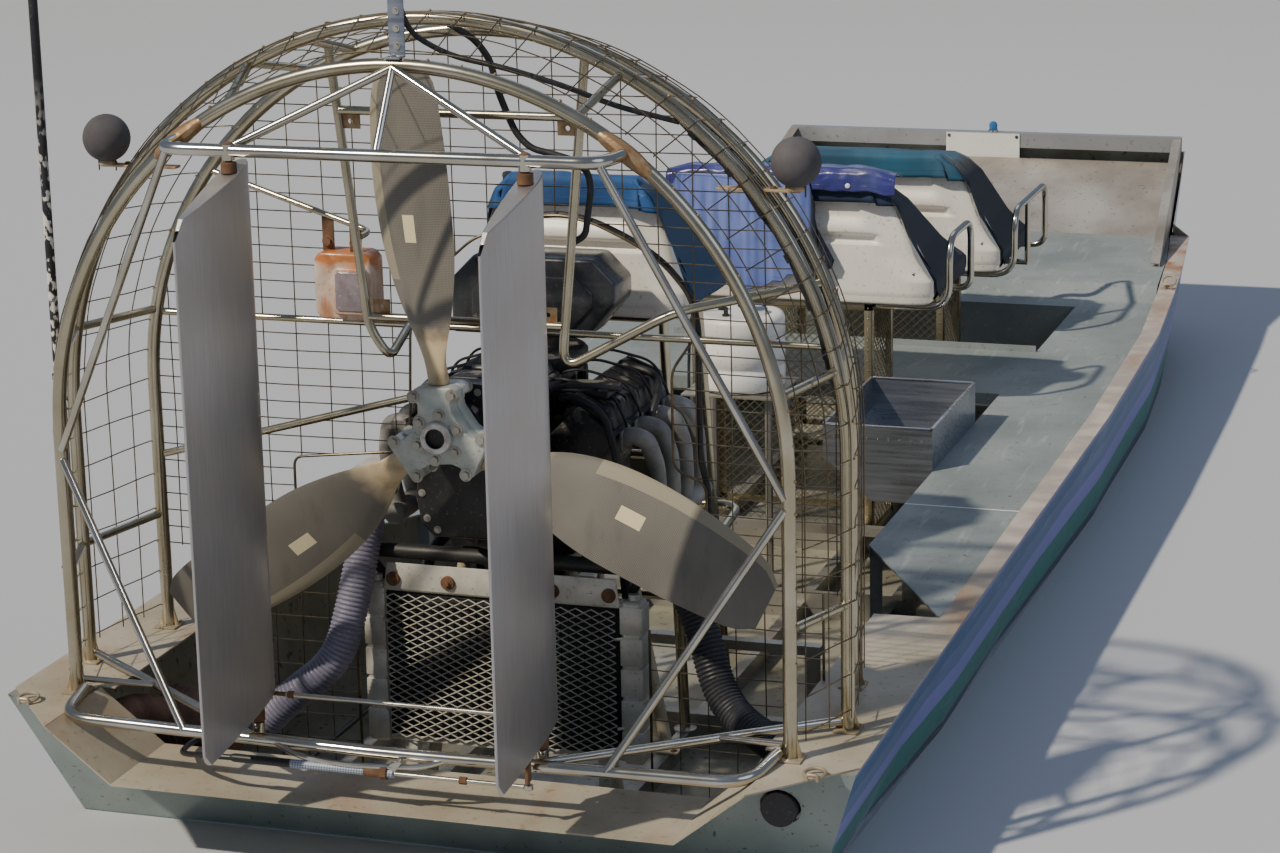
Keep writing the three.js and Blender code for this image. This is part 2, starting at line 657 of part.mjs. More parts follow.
// Half of the rudder's section: [half thickness, distance ahead of the pin]
const RUDDER_SECTION = [[0, 92], [18, 77], [28, 38], [29.5, -20], [25, -110], [15, -230], [3.5, -335]];

function aerofoil() {
  const half = RUDDER_SECTION.slice(1);
  return [RUDDER_SECTION[0], ...half, ...half.map(([x, y]) => [-x, y]).reverse()];
}

// A rudder about its own pins, with a stud for the tie rod under its leading corner
function rudder() {
  const { y, top, barZ, lowBarZ, pin } = RUDDER;
  const side = sheet(RUDDER_OUTLINE.map(([a, b]) => [a - y, b]), [-60, 60], 'x');
  const skin = sheet(aerofoil(), [lowBarZ, top + 10], 'z').intersect(side);
  const pins = bar([0, 0, lowBarZ - 4], [0, 0, 700], pin, 12)
    .add(bar([0, 0, top - 60], [0, 0, barZ + 4], pin, 12));
  const stud = bar([0, TIE.y - y, TIE.z - 12], [0, TIE.y - y, 670], TIE.stud, 10);
  return join(skin, pins, stud);
}

// The starboard rudder also has a drop arm. The push rod's eye slides straight while the arm
// swings, so the arm's pin ends just above the eye.
function drivenRudder() {
  const { y } = RUDDER;
  const arm = block([-5, 5], [PUSH.y - y - 14, PUSH.y - y + 14], [PUSH.z + 14, 640]);
  const pin = bar([0, PUSH.y - y, PUSH.z + EYE_HALF + GAP], [0, PUSH.y - y, PUSH.z + 15], TIE.stud, 10);
  return join(rudder(), arm, pin);
}

const rodEye = (x, y, z) => bar([x, y, z - EYE_HALF], [x, y, z + EYE_HALF], TIE.eye, 14);
const rodBore = (x, y, z) => bar([x, y, z - EYE_HALF - 1], [x, y, z + EYE_HALF + 1], TIE.bore, 12);

function tieRod() {
  const { x } = RUDDER;
  const { y, z, radius } = TIE;
  const ends = SIDES.map(([, side]) => rodEye(side * x, y, z));
  const bores = SIDES.map(([, side]) => rodBore(side * x, y, z));
  return join(bar([-x, y, z], [x, y, z], radius, 10), ends).subtract(join(bores));
}

function steeringRod() {
  const { y, z, radius, from } = PUSH;
  return join(bar([from, y, z], [RUDDER.x, y, z], radius, 10), rodEye(RUDDER.x, y, z));
}

// Steering cable from the push rod's sheath, over the shelf, along the floor and up to the stick
const CABLE = [[PUSH.sheath + 1, PUSH.y, PUSH.z], [-520, PUSH.y, 513], [-640, -420, 470], [-700, -260, 430],
  [-700, -160, 425], [-700, -40, 250], [-700, 60, 120], [-690, 500, 108], [-690, 1050, 108], [-560, 1420, 108],
  [STICK.x, STICK.y, 130], [STICK.x, STICK.y, 300], [STICK.x, STICK.y, 480]];

const CABLE_RADIUS = 8;

function steeringCable() {
  const { y, z, sheath, sheathRadius, from, stroke, radius } = PUSH;
  const mouth = from + 150;
  const sleeve = bar([sheath, y, z], [mouth, y, z], sheathRadius, 12);
  const bore = bar([from - stroke - 6, y, z], [mouth + 1, y, z], radius + 1, 10);
  return join(tube(CABLE, CABLE_RADIUS, { bend: 90, steps: 3, sides: 6 }), sleeve).subtract(bore);
}

function steeringStick() {
  const { x, y, z, low, top, radius } = STICK;
  return join(
    bar([x, y, low], [x, y, top - 90], radius, 10),
    bar([x, y, top - 91], [x, y, top], radius + 8, 12),
    bar([x, y, z], [x + 26, y, z], radius + 6, 14));
}

function rudderFrameTop() {
  const { x, y, barZ, boss, pin } = RUDDER;
  const [hoopY, hoopR] = CAGE.hoops.rear;
  const end = Math.sqrt(hoopR ** 2 - (barZ - CAGE.z) ** 2);
  const main = tube([[-end, hoopY, barZ], [-end + 20, y, barZ], [end - 20, y, barZ], [end, hoopY, barZ]],
    CAGE.tube - 2, { bend: 110, steps: 4 });
  const apex = [0, hoopY, CAGE.z + hoopR];
  const ties = [-x, 0, x].map((to) => bar(apex, [to, y, barZ], 12));
  const stays = SIDES.map(([, side]) => bar([side * 590, y + 20, barZ], [side * hoopR, hoopY, 1260], 12));
  const bosses = SIDES.map(([, side]) => bar([side * x, y, barZ - 25], [side * x, y, barZ + 18], boss, 12));
  const bores = SIDES.map(([, side]) => bar([side * x, y, barZ - 26], [side * x, y, barZ + 6], pin + 1, 12));
  const cut = swept(hoopLine(hoopY, hoopR, 0), CAGE.tube + GAP).add(join(bores));
  return join(main, ties, stays, bosses).subtract(cut);
}

function rudderFrameLow() {
  const { x, y, lowBarZ, boss, pin } = RUDDER;
  const [hoopY, hoopR] = CAGE.hoops.rear;
  const z = lowBarZ + 18;
  const main = tube([[-hoopR + 30, hoopY, z], [-hoopR + 60, y - 40, z - 18], [0, y - 75, z - 18],
    [hoopR - 60, y - 40, z - 18], [hoopR - 30, hoopY, z]], CAGE.tube - 2, { bend: 120, steps: 4 });
  const [middleY, middleR] = CAGE.hoops.middle;
  const inner = SIDES.map(([, side]) => bar([side * middleR, middleY, z + 6], [side * x, y - 45, z - 18], 13));
  const short = SIDES.map(([, side]) => bar([side * hoopR, hoopY, z + 20], [side * 830, -192, z], 9));
  const bosses = SIDES.map(([, side]) =>
    bar([side * x, y, lowBarZ - 12], [side * x, y, lowBarZ + CAGE.tube + 6], boss, 12));
  const straps = SIDES.map(([, side]) => block([side * x - 18, side * x + 18], [y - 75, y + 12],
    [lowBarZ - 12, lowBarZ - 4]));
  const stays = SIDES.map(([, side]) => bar([side * 600, y - 60, z - 18], [side * hoopR, hoopY, 1230], 12));
  const bores = SIDES.map(([, side]) => bar([side * x, y, lowBarZ - 6], [side * x, y, 600], pin + 1, 12));
  const clamp = block([-180, -140], [PUSH.y - 20, y - 60], [PUSH.z - 20, PUSH.z + 40]);
  const sheath = bar([-200, PUSH.y, PUSH.z], [-100, PUSH.y, PUSH.z], PUSH.sheathRadius + GAP, 12);
  const cut = join(
    swept(hoopLine(hoopY, hoopR, 0), CAGE.tube + GAP),
    swept(hoopLine(...CAGE.hoops.middle, 0), CAGE.tube + GAP), bores, sheath);
  const deckTop = HULL.sheer + SHELF.thick + GAP;
  const deck = SIDES.map(([, side]) => block([side * 1075 - 125, side * 1075 + 125], [-600, 100], [300, deckTop]));
  return join(main, inner, short, bosses, straps, stays, clamp).subtract(cut).subtract(join(deck));
}

function exhaustHose(route, radius = HOSE.radius) {
  return tube(route, radius, { bend: 110, steps: 3, sides: 10 });
}

function muffler() {
  return join(
    bar([-1000, 200, 330], [-760, 200, 330], 95, 16),
    tube([[-940, 200, 330], [-1010, 60, 400], [-1010, -60, 425], [-1010, -285, 425]], 46, { bend: 60, sides: 10 }));
}

// A seat's back narrows to its shoulders: [share of the half width, share of the back's height]
const SHOULDERS = [[1, 0.223], [0.913, 0.298], [0.843, 0.532], [0.765, 0.787], [0.696, 0.915], [0.591, 1.01],
  [0.5, 1.1]];

const EVERYWHERE = [-1000, 9000];

function shoulders(half, back, z, grow) {
  const right = SHOULDERS.map(([wide, high]) => [half * wide + grow, z + back * high + grow]);
  const left = right.map(([x, height]) => [-x, height]).reverse();
  return sheet([[-half - grow, z - 100], [half + grow, z - 100], ...right, ...left], EVERYWHERE, 'y');
}

// Seat shell: side outline of back and pan, run across the boat, with cut rear corners
function seatShell(half, y, z, { back = 470, deep = 560, thick = 70 } = {}) {
  const outline = [[0, 0], [deep - 20, 0], [deep, 30], [deep, 95], [thick + 60, 85], [thick + 30, back - 10],
    [thick - 30, back], [10, back - 12], [0, 130]];
  const corner = 55;
  const plan = [[-half, y + corner], [-half + corner, y - 1], [half - corner, y - 1], [half, y + corner],
    [half, y + deep + 1], [-half, y + deep + 1]];
  return sheet(outline.map(([a, b]) => [y + a, z + b]), [-half, half], 'x')
    .intersect(shoulders(half, back, z, 0))
    .intersect(sheet(plan, [z - 1, z + back + 1], 'z'));
}

// Canvas cover tented over a seat: a flap behind the back, a crest, a slope to the pan's front edge
// and a side flap each way. The crest is [distance ahead of the back's face, rise].
function seatCover(half, y, z, crest, { back = 470, deep = 560 } = {}) {
  const [ahead, rise] = crest;
  const cloth = 8;
  const front = deep + 17;
  const ridge = 40;
  const inner = [[-0.5, -100], [-0.5, back + GAP], [ridge, back + GAP], [ahead, back + GAP + rise], [front, 117],
    [front, -100]];
  const outer = [[-6, back - 70], [-6, back + cloth], [ridge, back + cloth], [ahead, back + cloth + rise],
    [front + cloth, 117 + cloth], [front + cloth, 30], [60, 30], [30, back - 70]];
  const across = (outline) => sheet(outline.map(([a, b]) => [y + a, z + b]), [-half - 20, half + 20], 'x');
  const skin = across(outer).intersect(shoulders(half, back, z, 10));
  return skin.subtract(across(inner).intersect(shoulders(half, back, z, 2)));
}

const BENCH = { half: 575, z: 835, rail: 13, railX: 632, tall: 265, box: 350, boxDeep: 330, wall: 5 };

// Bench frame: mesh-sided box that carries the seat, and a rail with a loop at each end
function benchFrame(y, z, long) {
  const { rail, railX, tall, box, boxDeep, wall } = BENCH;
  const floor = PLATE + GAP + 60 + GAP;
  const top = z - GAP;
  const outside = block([-box, box], [y + 20, y + 20 + boxDeep], [floor, top]);
  const inside = block([-box + wall, box - wall], [y + 20 + wall, y + 20 + boxDeep - wall], [floor - 1, top - wall]);
  const railZ = z - 14;
  const front = y + (long ? 700 : 430);
  const loop = ([, side]) => tube([
    [0, y + 60, railZ], [side * railX, y + 60, railZ], [side * railX, y + 60, railZ + tall],
    [side * railX, front, railZ + tall], [side * railX, front, railZ], [side * (railX - 120), front, railZ],
    [0, y + 330, railZ]], rail, { bend: 50 });
  const brace = SIDES.map(([, side]) =>
    bar([side * railX, y + 330, railZ + tall], [side * railX, y + 330, railZ], rail - 1));
  const cross = bar([-railX, y + 330, railZ], [railX, y + 330, railZ], rail - 1);
  const rails = join(SIDES.map(loop), long ? [...brace, cross] : []);
  return join(outside.subtract(inside), rails);
}

const DRIVER = { y: 1075, z: 1395, half: 345, back: 420, deep: 480, thick: 60 };

function driverStand() {
  const { y, z, deep } = DRIVER;
  const floor = PLATE + GAP + 60 + GAP;
  const top = z - 15;
  const legs = SIDES.flatMap(([, side]) => [
    bar([side * 300, y + 90, floor], [side * 250, y + 90, top], 17),
    bar([side * 300, y + deep + 60, floor], [side * 250, y + deep - 40, top], 17)]);
  const ring = tube([[0, y + 90, top], [250, y + 90, top], [250, y + deep - 40, top], [-250, y + deep - 40, top],
    [-250, y + 90, top], [-1, y + 90, top]], 16, { bend: 30 });
  const rest = tube([[-281, y + deep + 20, 560], [-281, y + deep + 300, 600], [281, y + deep + 300, 600],
    [281, y + deep + 20, 560]], 15, { bend: 60 });
  const rungs = [500, 950].map((height) => bar([-280, y + 90, height], [280, y + 90, height], 14));
  const sides = SIDES.map(([, side]) => bar([side * 285, y + 90, 500], [side * 292, y + deep + 40, 500], 14));
  const pivot = bar([STICK.x + 26 + GAP, STICK.y, STICK.z], [-270, STICK.y, STICK.z], 14, 12);
  const clamp = bar([STICK.x - 14, STICK.y, 400], [-280, 1590, 400], 14, 12);
  const below = block([-400, 400], [y, y + 700], [0, floor]);
  const cable = tube(CABLE, CABLE_RADIUS + GAP, { bend: 90, steps: 3, sides: 6 });
  return join(legs, ring, rest, rungs, sides, pivot, clamp).subtract(below).subtract(cable);
}

// Lamps, mast, housings and small fittings
const MAST = { x: -1168, y: 0, low: 1320, high: 3050, radius: 13 };

function flagMast() {
  const { x, y, low, high, radius } = MAST;
  const clamps = [low + 10, low + 70].map((z) => block([x, x + 38], [y - 13, y + 13], [z, z + 16]));
  const ring = swept(hoopLine(...CAGE.hoops.middle, 0), CAGE.tube + GAP);
  return join(bar([x, y, low], [x, y, high], radius, 10), bar([x, y, high - 1], [x, y, high + 20], 17, 10), clamps)
    .subtract(ring);
}

const BALL = { radius: 73, x: 985, y: 30, z: 2085 };

function ballHousing(side) {
  const { radius, x, y, z } = BALL;
  const [, hoopRadius] = CAGE.hoops.middle;
  const ball = placed(new THREE.SphereGeometry(radius, 16, 12), [side * x, y, z]);
  const arm = block([Math.min(side * (x + 15), side * (x - 250)), Math.max(side * (x + 15), side * (x - 250))],
    [y - 20, y + 20], [z - radius - 12, z - radius - 5]);
  const neck = bar([side * x, y, z - radius - 8], [side * x, y, z - radius + 8], 26, 12);
  const ring = swept(hoopLine(0, hoopRadius, 0), CAGE.tube + GAP);
  return join(ball, arm, neck).subtract(ring);
}

function sternLight() {
  const [y, radius] = CAGE.hoops.rear;
  const foot = CAGE.z + radius + CAGE.tube * FLAT + GAP;
  return join(
    sheet([[y - 22, foot], [y + 22, foot], [y + 22, foot + 150], [y + 60, foot + 156], [y + 60, foot + 161],
      [y + 17, foot + 156], [y + 17, foot + 5], [y - 22, foot + 5]], [-22, 22], 'x'),
    bar([0, y + 38, foot + 158], [0, y + 38, foot + 240], 24, 14),
    placed(new THREE.SphereGeometry(26, 14, 8), [0, y + 38, foot + 240]));
}

const LAMP = { x: [-475, -300], y: [215, 330], z: [1545, 1740] };

function workLamp() {
  const body = block(LAMP.x, LAMP.y, LAMP.z);
  const beamZ = LAMP.z[1] + 75;
  const hangers = [-440, -350].map((x) => bar([x, 270, LAMP.z[1] - 1], [x, 270, beamZ], 9, 8));
  const beam = bar([-480, 270, beamZ], [-300, 270, beamZ], 11, 8);
  const bracket = bar([-INNER.x, INNER.y + INNER.tube * FLAT + GAP, beamZ], [-INNER.x, 270, beamZ], 9, 8);
  return join(body, hangers, beam, bracket);
}

const TANK = { x: 40, y: 2700, radius: 160, low: 790, high: 1060 };

function fuelTank() {
  const { x, y, radius, low, high } = TANK;
  return join(
    bar([x, y, low], [x, y, high], radius, 20),
    bar([x + 60, y, high - 1], [x + 60, y, high + 28], 42, 14));
}

function tankStand() {
  const { x, y, radius, low } = TANK;
  const floor = PLATE + GAP;
  const reach = radius + 10;
  const legs = SIDES.flatMap(([, a]) => SIDES.map(([, b]) => {
    const [legX, legY] = [x + a * reach * 0.8, y + b * (reach - 20) * 0.8];
    return bar([legX, legY, floor], [legX, legY, low - 5], 14);
  }));
  return join(block([x - reach, x + reach], [y - reach, y + reach], [low - 6 - GAP, low - GAP]), legs);
}

// Open side box on the starboard deck's edge, its underside cut away on the port side
const SIDE_BOX = { x: [370, WALK.inner - GAP], y: [2590, 3290], z: [430, 700], wall: 5 };

function sideBox() {
  const { x, y, z, wall } = SIDE_BOX;
  const outline = [[x[0], z[1]], [x[0], z[0] + 150], [x[0] + 170, z[0]], [x[1], z[0]], [x[1], z[1]]];
  const whole = sheet(outline, y, 'y');
  const hollow = [[x[0] + wall, z[1] + 5], [x[0] + wall, z[0] + 153], [x[0] + 173, z[0] + wall],
    [x[1] - wall, z[0] + wall], [x[1] - wall, z[1] + 5]];
  return whole.subtract(sheet(hollow, [y[0] + wall, y[1] - wall], 'y'));
}

function bowRail() {
  const { half, aft, front, low, top } = BOW_RAIL;
  const groove = block([-half - 1, half + 1], [aft + 6, front - 6], [low + GAP - 1, top - 6]);
  return block([-half, half], [aft, front], [low + GAP, top]).subtract(groove);
}

function bowLight() {
  const { aft, front, top } = BOW_RAIL;
  const y = (aft + front) / 2;
  return join(
    bar([50, y, top + GAP], [50, y, top + 26], 24, 14),
    placed(new THREE.SphereGeometry(20, 14, 8), [50, y, top + 30]));
}

// Pieces of the hull and decks
piece('hull_shell', hullShell(), 'hullPaint');
piece('gunwale_and_shelf', aftShelf(), 'cream');
SIDES.forEach(([name, side]) => piece(`side_deck_${name}`, sideDeck(side), 'deckPaint'));
piece('cross_deck', crossDeck(), 'deckPaint');
piece('bow_deck', bowDeck(), 'deckPaint');
piece('bow_panel', bowPanel(), 'bareAluminium');
piece('floor_frame', floorFrame(), 'bareAluminium');

piece('cage_hoop_rear', hoop('rear'), 'stainless');
piece('cage_hoop_middle', cageMiddle(), 'stainless');
piece('cage_hoop_front', hoop('front'), 'stainless');
piece('cage_side_mesh', sideMesh(), 'wire');
piece('cage_front_mesh', frontMesh(), 'wire');
piece('rudder_frame_top', rudderFrameTop(), 'stainless');
piece('rudder_frame_low', rudderFrameLow(), 'stainless');
piece('cage_inner_frame', innerFrame(), 'stainless');
piece('rudder_port', rudder(), 'bareAluminium').position.set(-RUDDER.x, RUDDER.y, 0);
piece('rudder_starboard', drivenRudder(), 'bareAluminium').position.set(RUDDER.x, RUDDER.y, 0);
piece('tie_rod', tieRod(), 'stainless');
piece('steering_rod', steeringRod(), 'stainless');
piece('steering_cable', steeringCable(), 'blackPlastic');

const propeller = new THREE.Group();
propeller.position.set(0, 0, PROP.z);
propeller.rotation.y = THREE.MathUtils.degToRad(-PROP.tilt);
airboat.add(propeller);
piece('propeller_hub', hub(), 'castAluminium', propeller);

piece('reduction_drive', reduction(), 'castIron');
piece('engine_block', engine(), 'castIron');
SIDES.forEach(([name, side]) => piece(`headers_${name}`, headers(side), 'exhaust'));
piece('engine_stand', engineStand(), 'cream');
piece('radiator', radiator(), 'castAluminium');

['a', 'b', 'c'].forEach((name, i) => {
  const mesh = piece(`propeller_blade_${name}`, blade(), 'composite', propeller);
  mesh.rotation.y = THREE.MathUtils.degToRad(120 * i);
});

piece('exhaust_hose_port', exhaustHose(HOSE_PORT), 'hose');
piece('exhaust_hose_starboard', exhaustHose(HOSE_STARBOARD), 'blackHose');
piece('muffler', muffler(), 'rustySteel');

BENCHES.forEach(([name, y, lift, long, crest]) => {
  const z = BENCH.z + lift;
  piece(`bench_frame_${name}`, benchFrame(y, z, long), 'stainless');
  piece(`bench_seat_${name}`, seatShell(BENCH.half, y, z), 'shell');
  piece(`bench_cover_${name}`, seatCover(BENCH.half, y, z, crest), 'canvas');
});
piece('driver_stand', driverStand(), 'stainless');
piece('steering_stick', steeringStick(), 'bareAluminium');
piece('driver_seat', seatShell(DRIVER.half, DRIVER.y, DRIVER.z, DRIVER), 'shell');
piece('driver_cover', seatCover(DRIVER.half, DRIVER.y, DRIVER.z, [90, 0], DRIVER), 'canvas');

piece('flag_mast', flagMast(), 'whitePlastic');
SIDES.forEach(([name, side]) => piece(`ball_housing_${name}`, ballHousing(side), 'greyPlastic'));
piece('stern_light', sternLight(), 'whitePlastic');
piece('work_lamp', workLamp(), 'lampHousing');
piece('fuel_tank', fuelTank(), 'whitePlastic');
piece('tank_stand', tankStand(), 'bareAluminium');
piece('side_box', sideBox(), 'bareAluminium');
piece('bow_rail', bowRail(), 'bareAluminium');
piece('bow_light', bowLight(), 'bluePlastic');
piece('sign_plate', block([-172, 183], [BOW_RAIL.aft - 6, BOW_RAIL.aft - GAP], [872, 1006]), 'sign');

export default airboat;
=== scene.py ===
# %% [markdown]
# The imported model is the fixed frame of this scene, and it is loaded first. The finished
# boat may stand only a little proud of it.
# %% Load the frame
import math
import random

import bmesh
import bpy
from mathutils import Matrix, Vector, noise


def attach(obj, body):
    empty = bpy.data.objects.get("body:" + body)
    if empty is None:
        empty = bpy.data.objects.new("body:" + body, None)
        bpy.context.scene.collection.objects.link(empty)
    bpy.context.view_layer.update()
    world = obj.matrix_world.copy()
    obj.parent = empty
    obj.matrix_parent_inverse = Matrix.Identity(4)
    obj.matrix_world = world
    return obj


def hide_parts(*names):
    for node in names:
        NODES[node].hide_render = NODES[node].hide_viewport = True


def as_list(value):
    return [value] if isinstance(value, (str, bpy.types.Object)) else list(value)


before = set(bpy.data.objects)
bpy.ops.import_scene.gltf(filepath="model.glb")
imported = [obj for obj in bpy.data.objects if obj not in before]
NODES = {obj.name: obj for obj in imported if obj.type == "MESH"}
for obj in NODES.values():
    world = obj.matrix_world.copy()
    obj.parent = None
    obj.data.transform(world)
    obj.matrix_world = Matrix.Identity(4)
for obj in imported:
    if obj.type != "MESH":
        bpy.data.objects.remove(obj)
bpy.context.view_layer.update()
random.seed(7)

# %% [markdown]
# The camera stands on the dock behind the boat's starboard quarter and looks down along it
# with a long lens. Its place and its three axes were solved from the hull's known width.
# %% Camera
PHOTO_WIDTH = 1280
FOCAL_PIXELS = 3138.84
SENSOR = 36.0
CAMERA_PLACE = (3.10245, -7.66221, 3.46136)
CAMERA_YAW, CAMERA_PITCH, CAMERA_ROLL = -0.32063, 0.25493, -0.02079


def solved_camera():
    lens = bpy.data.cameras.new("Camera")
    lens.sensor_width = SENSOR
    lens.lens = FOCAL_PIXELS * SENSOR / PHOTO_WIDTH
    lens.clip_end = 200
    camera = bpy.data.objects.new("Camera", lens)
    bpy.context.scene.collection.objects.link(camera)
    level = Vector((math.cos(CAMERA_YAW), -math.sin(CAMERA_YAW), 0))
    ahead = Vector((math.sin(CAMERA_YAW), math.cos(CAMERA_YAW), 0)) * math.cos(CAMERA_PITCH)
    ahead.z = -math.sin(CAMERA_PITCH)
    upright = level.cross(ahead)
    right = level * math.cos(CAMERA_ROLL) + upright * math.sin(CAMERA_ROLL)
    up = upright * math.cos(CAMERA_ROLL) - level * math.sin(CAMERA_ROLL)
    turn = Matrix((right, up, -ahead)).transposed()
    camera.matrix_world = Matrix.Translation(CAMERA_PLACE) @ turn.to_4x4()
    bpy.context.scene.camera = camera


solved_camera()

# %% [markdown]
# The floor lies at the waterline, as the boat floats in the photograph. A floor right
# through the open hull would show between its frames, so the floor has a hole whose edge
# runs inside the hull's plate. The light is a sun from behind the port quarter, where it
# stands in the photograph, and two big soft lamps that fill the other side and the bow.
# %% Floor and light
WATERLINE = 0.165
FLOOR_REACH, FLOOR_STRETCH = 60.0, 20
HULL_MIDDLE = 2.8
LIT_POINT, LAMP_DISTANCE = Vector((0, 2.5, 0.8)), 14
HULL_AT_WATER = [(1.0855, -0.166), (1.126, 1.1), (1.161, 3.5), (1.142, 4.8), (1.096, 5.45), (1.05, 5.83)]


def linear(code):
    channels = [int(code[i:i + 2], 16) / 255 for i in (1, 3, 5)]
    return [c / 12.92 if c <= 0.04045 else ((c + 0.055) / 1.055) ** 2.4 for c in channels] + [1.0]


def laid_floor():
    bm = bmesh.new()
    outline = HULL_AT_WATER + [(-x, y) for x, y in reversed(HULL_AT_WATER)]
    inner = [bm.verts.new((x, y, WATERLINE)) for x, y in outline]
    outer = [bm.verts.new((math.copysign(FLOOR_REACH, x), (y - HULL_MIDDLE) * FLOOR_STRETCH, WATERLINE))
             for x, y in outline]
    for ring in (inner, outer):
        for i, vert in enumerate(ring):
            bm.edges.new((vert, ring[(i + 1) % len(ring)]))
    bmesh.ops.bridge_loops(bm, edges=bm.edges[:])
    mesh = bpy.data.meshes.new("floor")
    bm.to_mesh(mesh)
    bm.free()
    floor = bpy.data.objects.new("floor", mesh)
    bpy.context.scene.collection.objects.link(floor)
    pale = bpy.data.materials.new("floor_paper")
    pale.use_nodes = True
    shader = pale.node_tree.nodes["Principled BSDF"]
    shader.inputs["Base Color"].default_value = linear("#b9bcc0")
    shader.inputs["Roughness"].default_value = 0.9
    mesh.materials.append(pale)


def lamp(name, kind, direction, power, size, colour="#ffffff"):
    light = bpy.data.lights.new(name, kind)
    light.energy = power
    light.color = linear(colour)[:3]
    lit = bpy.data.objects.new(name, light)
    bpy.context.scene.collection.objects.link(lit)
    away = Vector(direction).normalized()
    lit.location = LIT_POINT + away * LAMP_DISTANCE
    lit.rotation_euler = away.to_track_quat("Z", "Y").to_euler()
    if kind == "SUN":
        light.angle = size
    else:
        light.shape = "DISK"
        light.size = size


laid_floor()
lamp("key", "SUN", (-0.47, -0.56, 0.72), 4.0, 0.03, "#fff3e0")
lamp("fill", "AREA", (0.9, -0.5, 0.75), 240, 9.0, "#dfe8ff")
lamp("back", "AREA", (-0.2, 1.0, 0.9), 160, 9.0, "#dfe8ff")
world = bpy.data.worlds.new("studio")
bpy.context.scene.world = world
world.use_nodes = True
sky = world.node_tree.nodes["Background"]
sky.inputs["Color"].default_value = linear("#b4c6e4")
sky.inputs["Strength"].default_value = 0.34
print("floor at", WATERLINE)

# %% [markdown]
# A material starts from what the real surface is. One function adds a node with its
# settings and links, and this small class keeps a new material's tree, its shader and
# the object's coordinates together, so that a finish reads as a few lines. A value in a
# finish is a number or a socket, and each method gives back the socket that it made.
# %% Helpers for finishes


def add(tree, kind, sockets=None, **settings):
    made = tree.nodes.new("ShaderNode" + kind)
    for key, value in settings.items():
        setattr(made, key, value)
    for key, value in (sockets or {}).items():
        if isinstance(value, bpy.types.NodeSocket):
            tree.links.new(value, made.inputs[key])
        else:
            made.inputs[key].default_value = value
    return made


class Finish:
    def __init__(self, name, roughness=0.5, metallic=0.0, **sockets):
        self.material = bpy.data.materials.new(name)
        self.material.use_nodes = True
        self.tree = self.material.node_tree
        self.shader = self.tree.nodes["Principled BSDF"]
        for key, value in {"Roughness": roughness, "Metallic": metallic, **sockets}.items():
            self.shader.inputs[key.replace("_", " ")].default_value = value
        self.place = self.node("TexCoord").outputs["Object"]

    def node(self, kind, sockets=None, **settings):
        return add(self.tree, kind, sockets, **settings)

    def ramp(self, value, low, high, to_low=0.0, to_high=1.0):
        return self.node("MapRange", {"Value": value, "From Min": low, "From Max": high,
                                      "To Min": to_low, "To Max": to_high}).outputs[0]

    def noise(self, grain, low=0.4, high=0.6, stretch=(1, 1, 1), detail=4.0, place=None):
        """Noise whose grain is a size in metres, spread from 0 to 1 between two levels."""
        scaled = self.node("Mapping", {"Vector": place or self.place, "Scale": [s / grain for s in stretch]})
        made = self.node("TexNoise", {"Vector": scaled.outputs[0], "Scale": 1.0, "Detail": detail})
        return self.ramp(made.outputs["Fac"], low, high)

    def reckon(self, operation, a, b=0.0):
        return self.node("Math", {0: a, 1: b}, operation=operation).outputs[0]

    def times(self, a, b):
        return self.reckon("MULTIPLY", a, b)

    def plus(self, a, b):
        return self.reckon("ADD", a, b)

    def minus(self, a, b):
        return self.reckon("SUBTRACT", a, b)

    def above(self, a, level):
        return self.reckon("GREATER_THAN", a, level)

    def below(self, a, level):
        return self.reckon("LESS_THAN", a, level)

    def mix(self, share, first, second):
        both = [c if isinstance(c, bpy.types.NodeSocket) else linear(c) for c in (first, second)]
        return self.node("Mix", {0: share, 6: both[0], 7: both[1]}, data_type="RGBA").outputs[2]

    def axis(self, letter, place=None):
        return self.node("SeparateXYZ", {0: place or self.place}).outputs[letter]

    def attribute(self, name):
        return self.node("Attribute", attribute_name=name).outputs["Fac"]

    def facing(self, letter):
        return self.node("SeparateXYZ", {0: self.node("NewGeometry").outputs["Normal"]}).outputs[letter]

    def colour(self, value):
        if isinstance(value, bpy.types.NodeSocket):
            self.tree.links.new(value, self.shader.inputs["Base Color"])
        else:
            self.shader.inputs["Base Color"].default_value = linear(value)
        return self

    def base(self):
        """The colour so far, to paint over."""
        return self.shader.inputs["Base Color"].links[0].from_socket

    def link(self, socket, value):
        self.tree.links.new(value, self.shader.inputs[socket])
        return self

    def bump(self, height, depth, strength=1.0):
        made = self.node("Bump", {"Height": height, "Distance": depth, "Strength": strength})
        if self.shader.inputs["Normal"].links:
            self.tree.links.new(self.shader.inputs["Normal"].links[0].from_socket, made.inputs["Normal"])
        return self.link("Normal", made.outputs[0])


def worn(name, clean, dirty, roughness, metallic=0.0, grain=0.25, spots=0.012, spot_colour=None,
         dent=0.0004, **sockets):
    """A flat finish with broad soiling, small spots and a slightly uneven skin."""
    made = Finish(name, roughness[0], metallic, **sockets)
    broad = made.noise(grain, 0.35, 0.7)
    fine = made.noise(spots, 0.62, 0.7)
    colour = made.mix(broad, clean, dirty)
    made.colour(made.mix(made.times(fine, 0.6), colour, spot_colour or dirty))
    made.link("Roughness", made.ramp(broad, 0.0, 1.0, *roughness))
    return made.bump(made.noise(grain * 0.3, 0.3, 0.7), dent)


print("finish helpers ready")

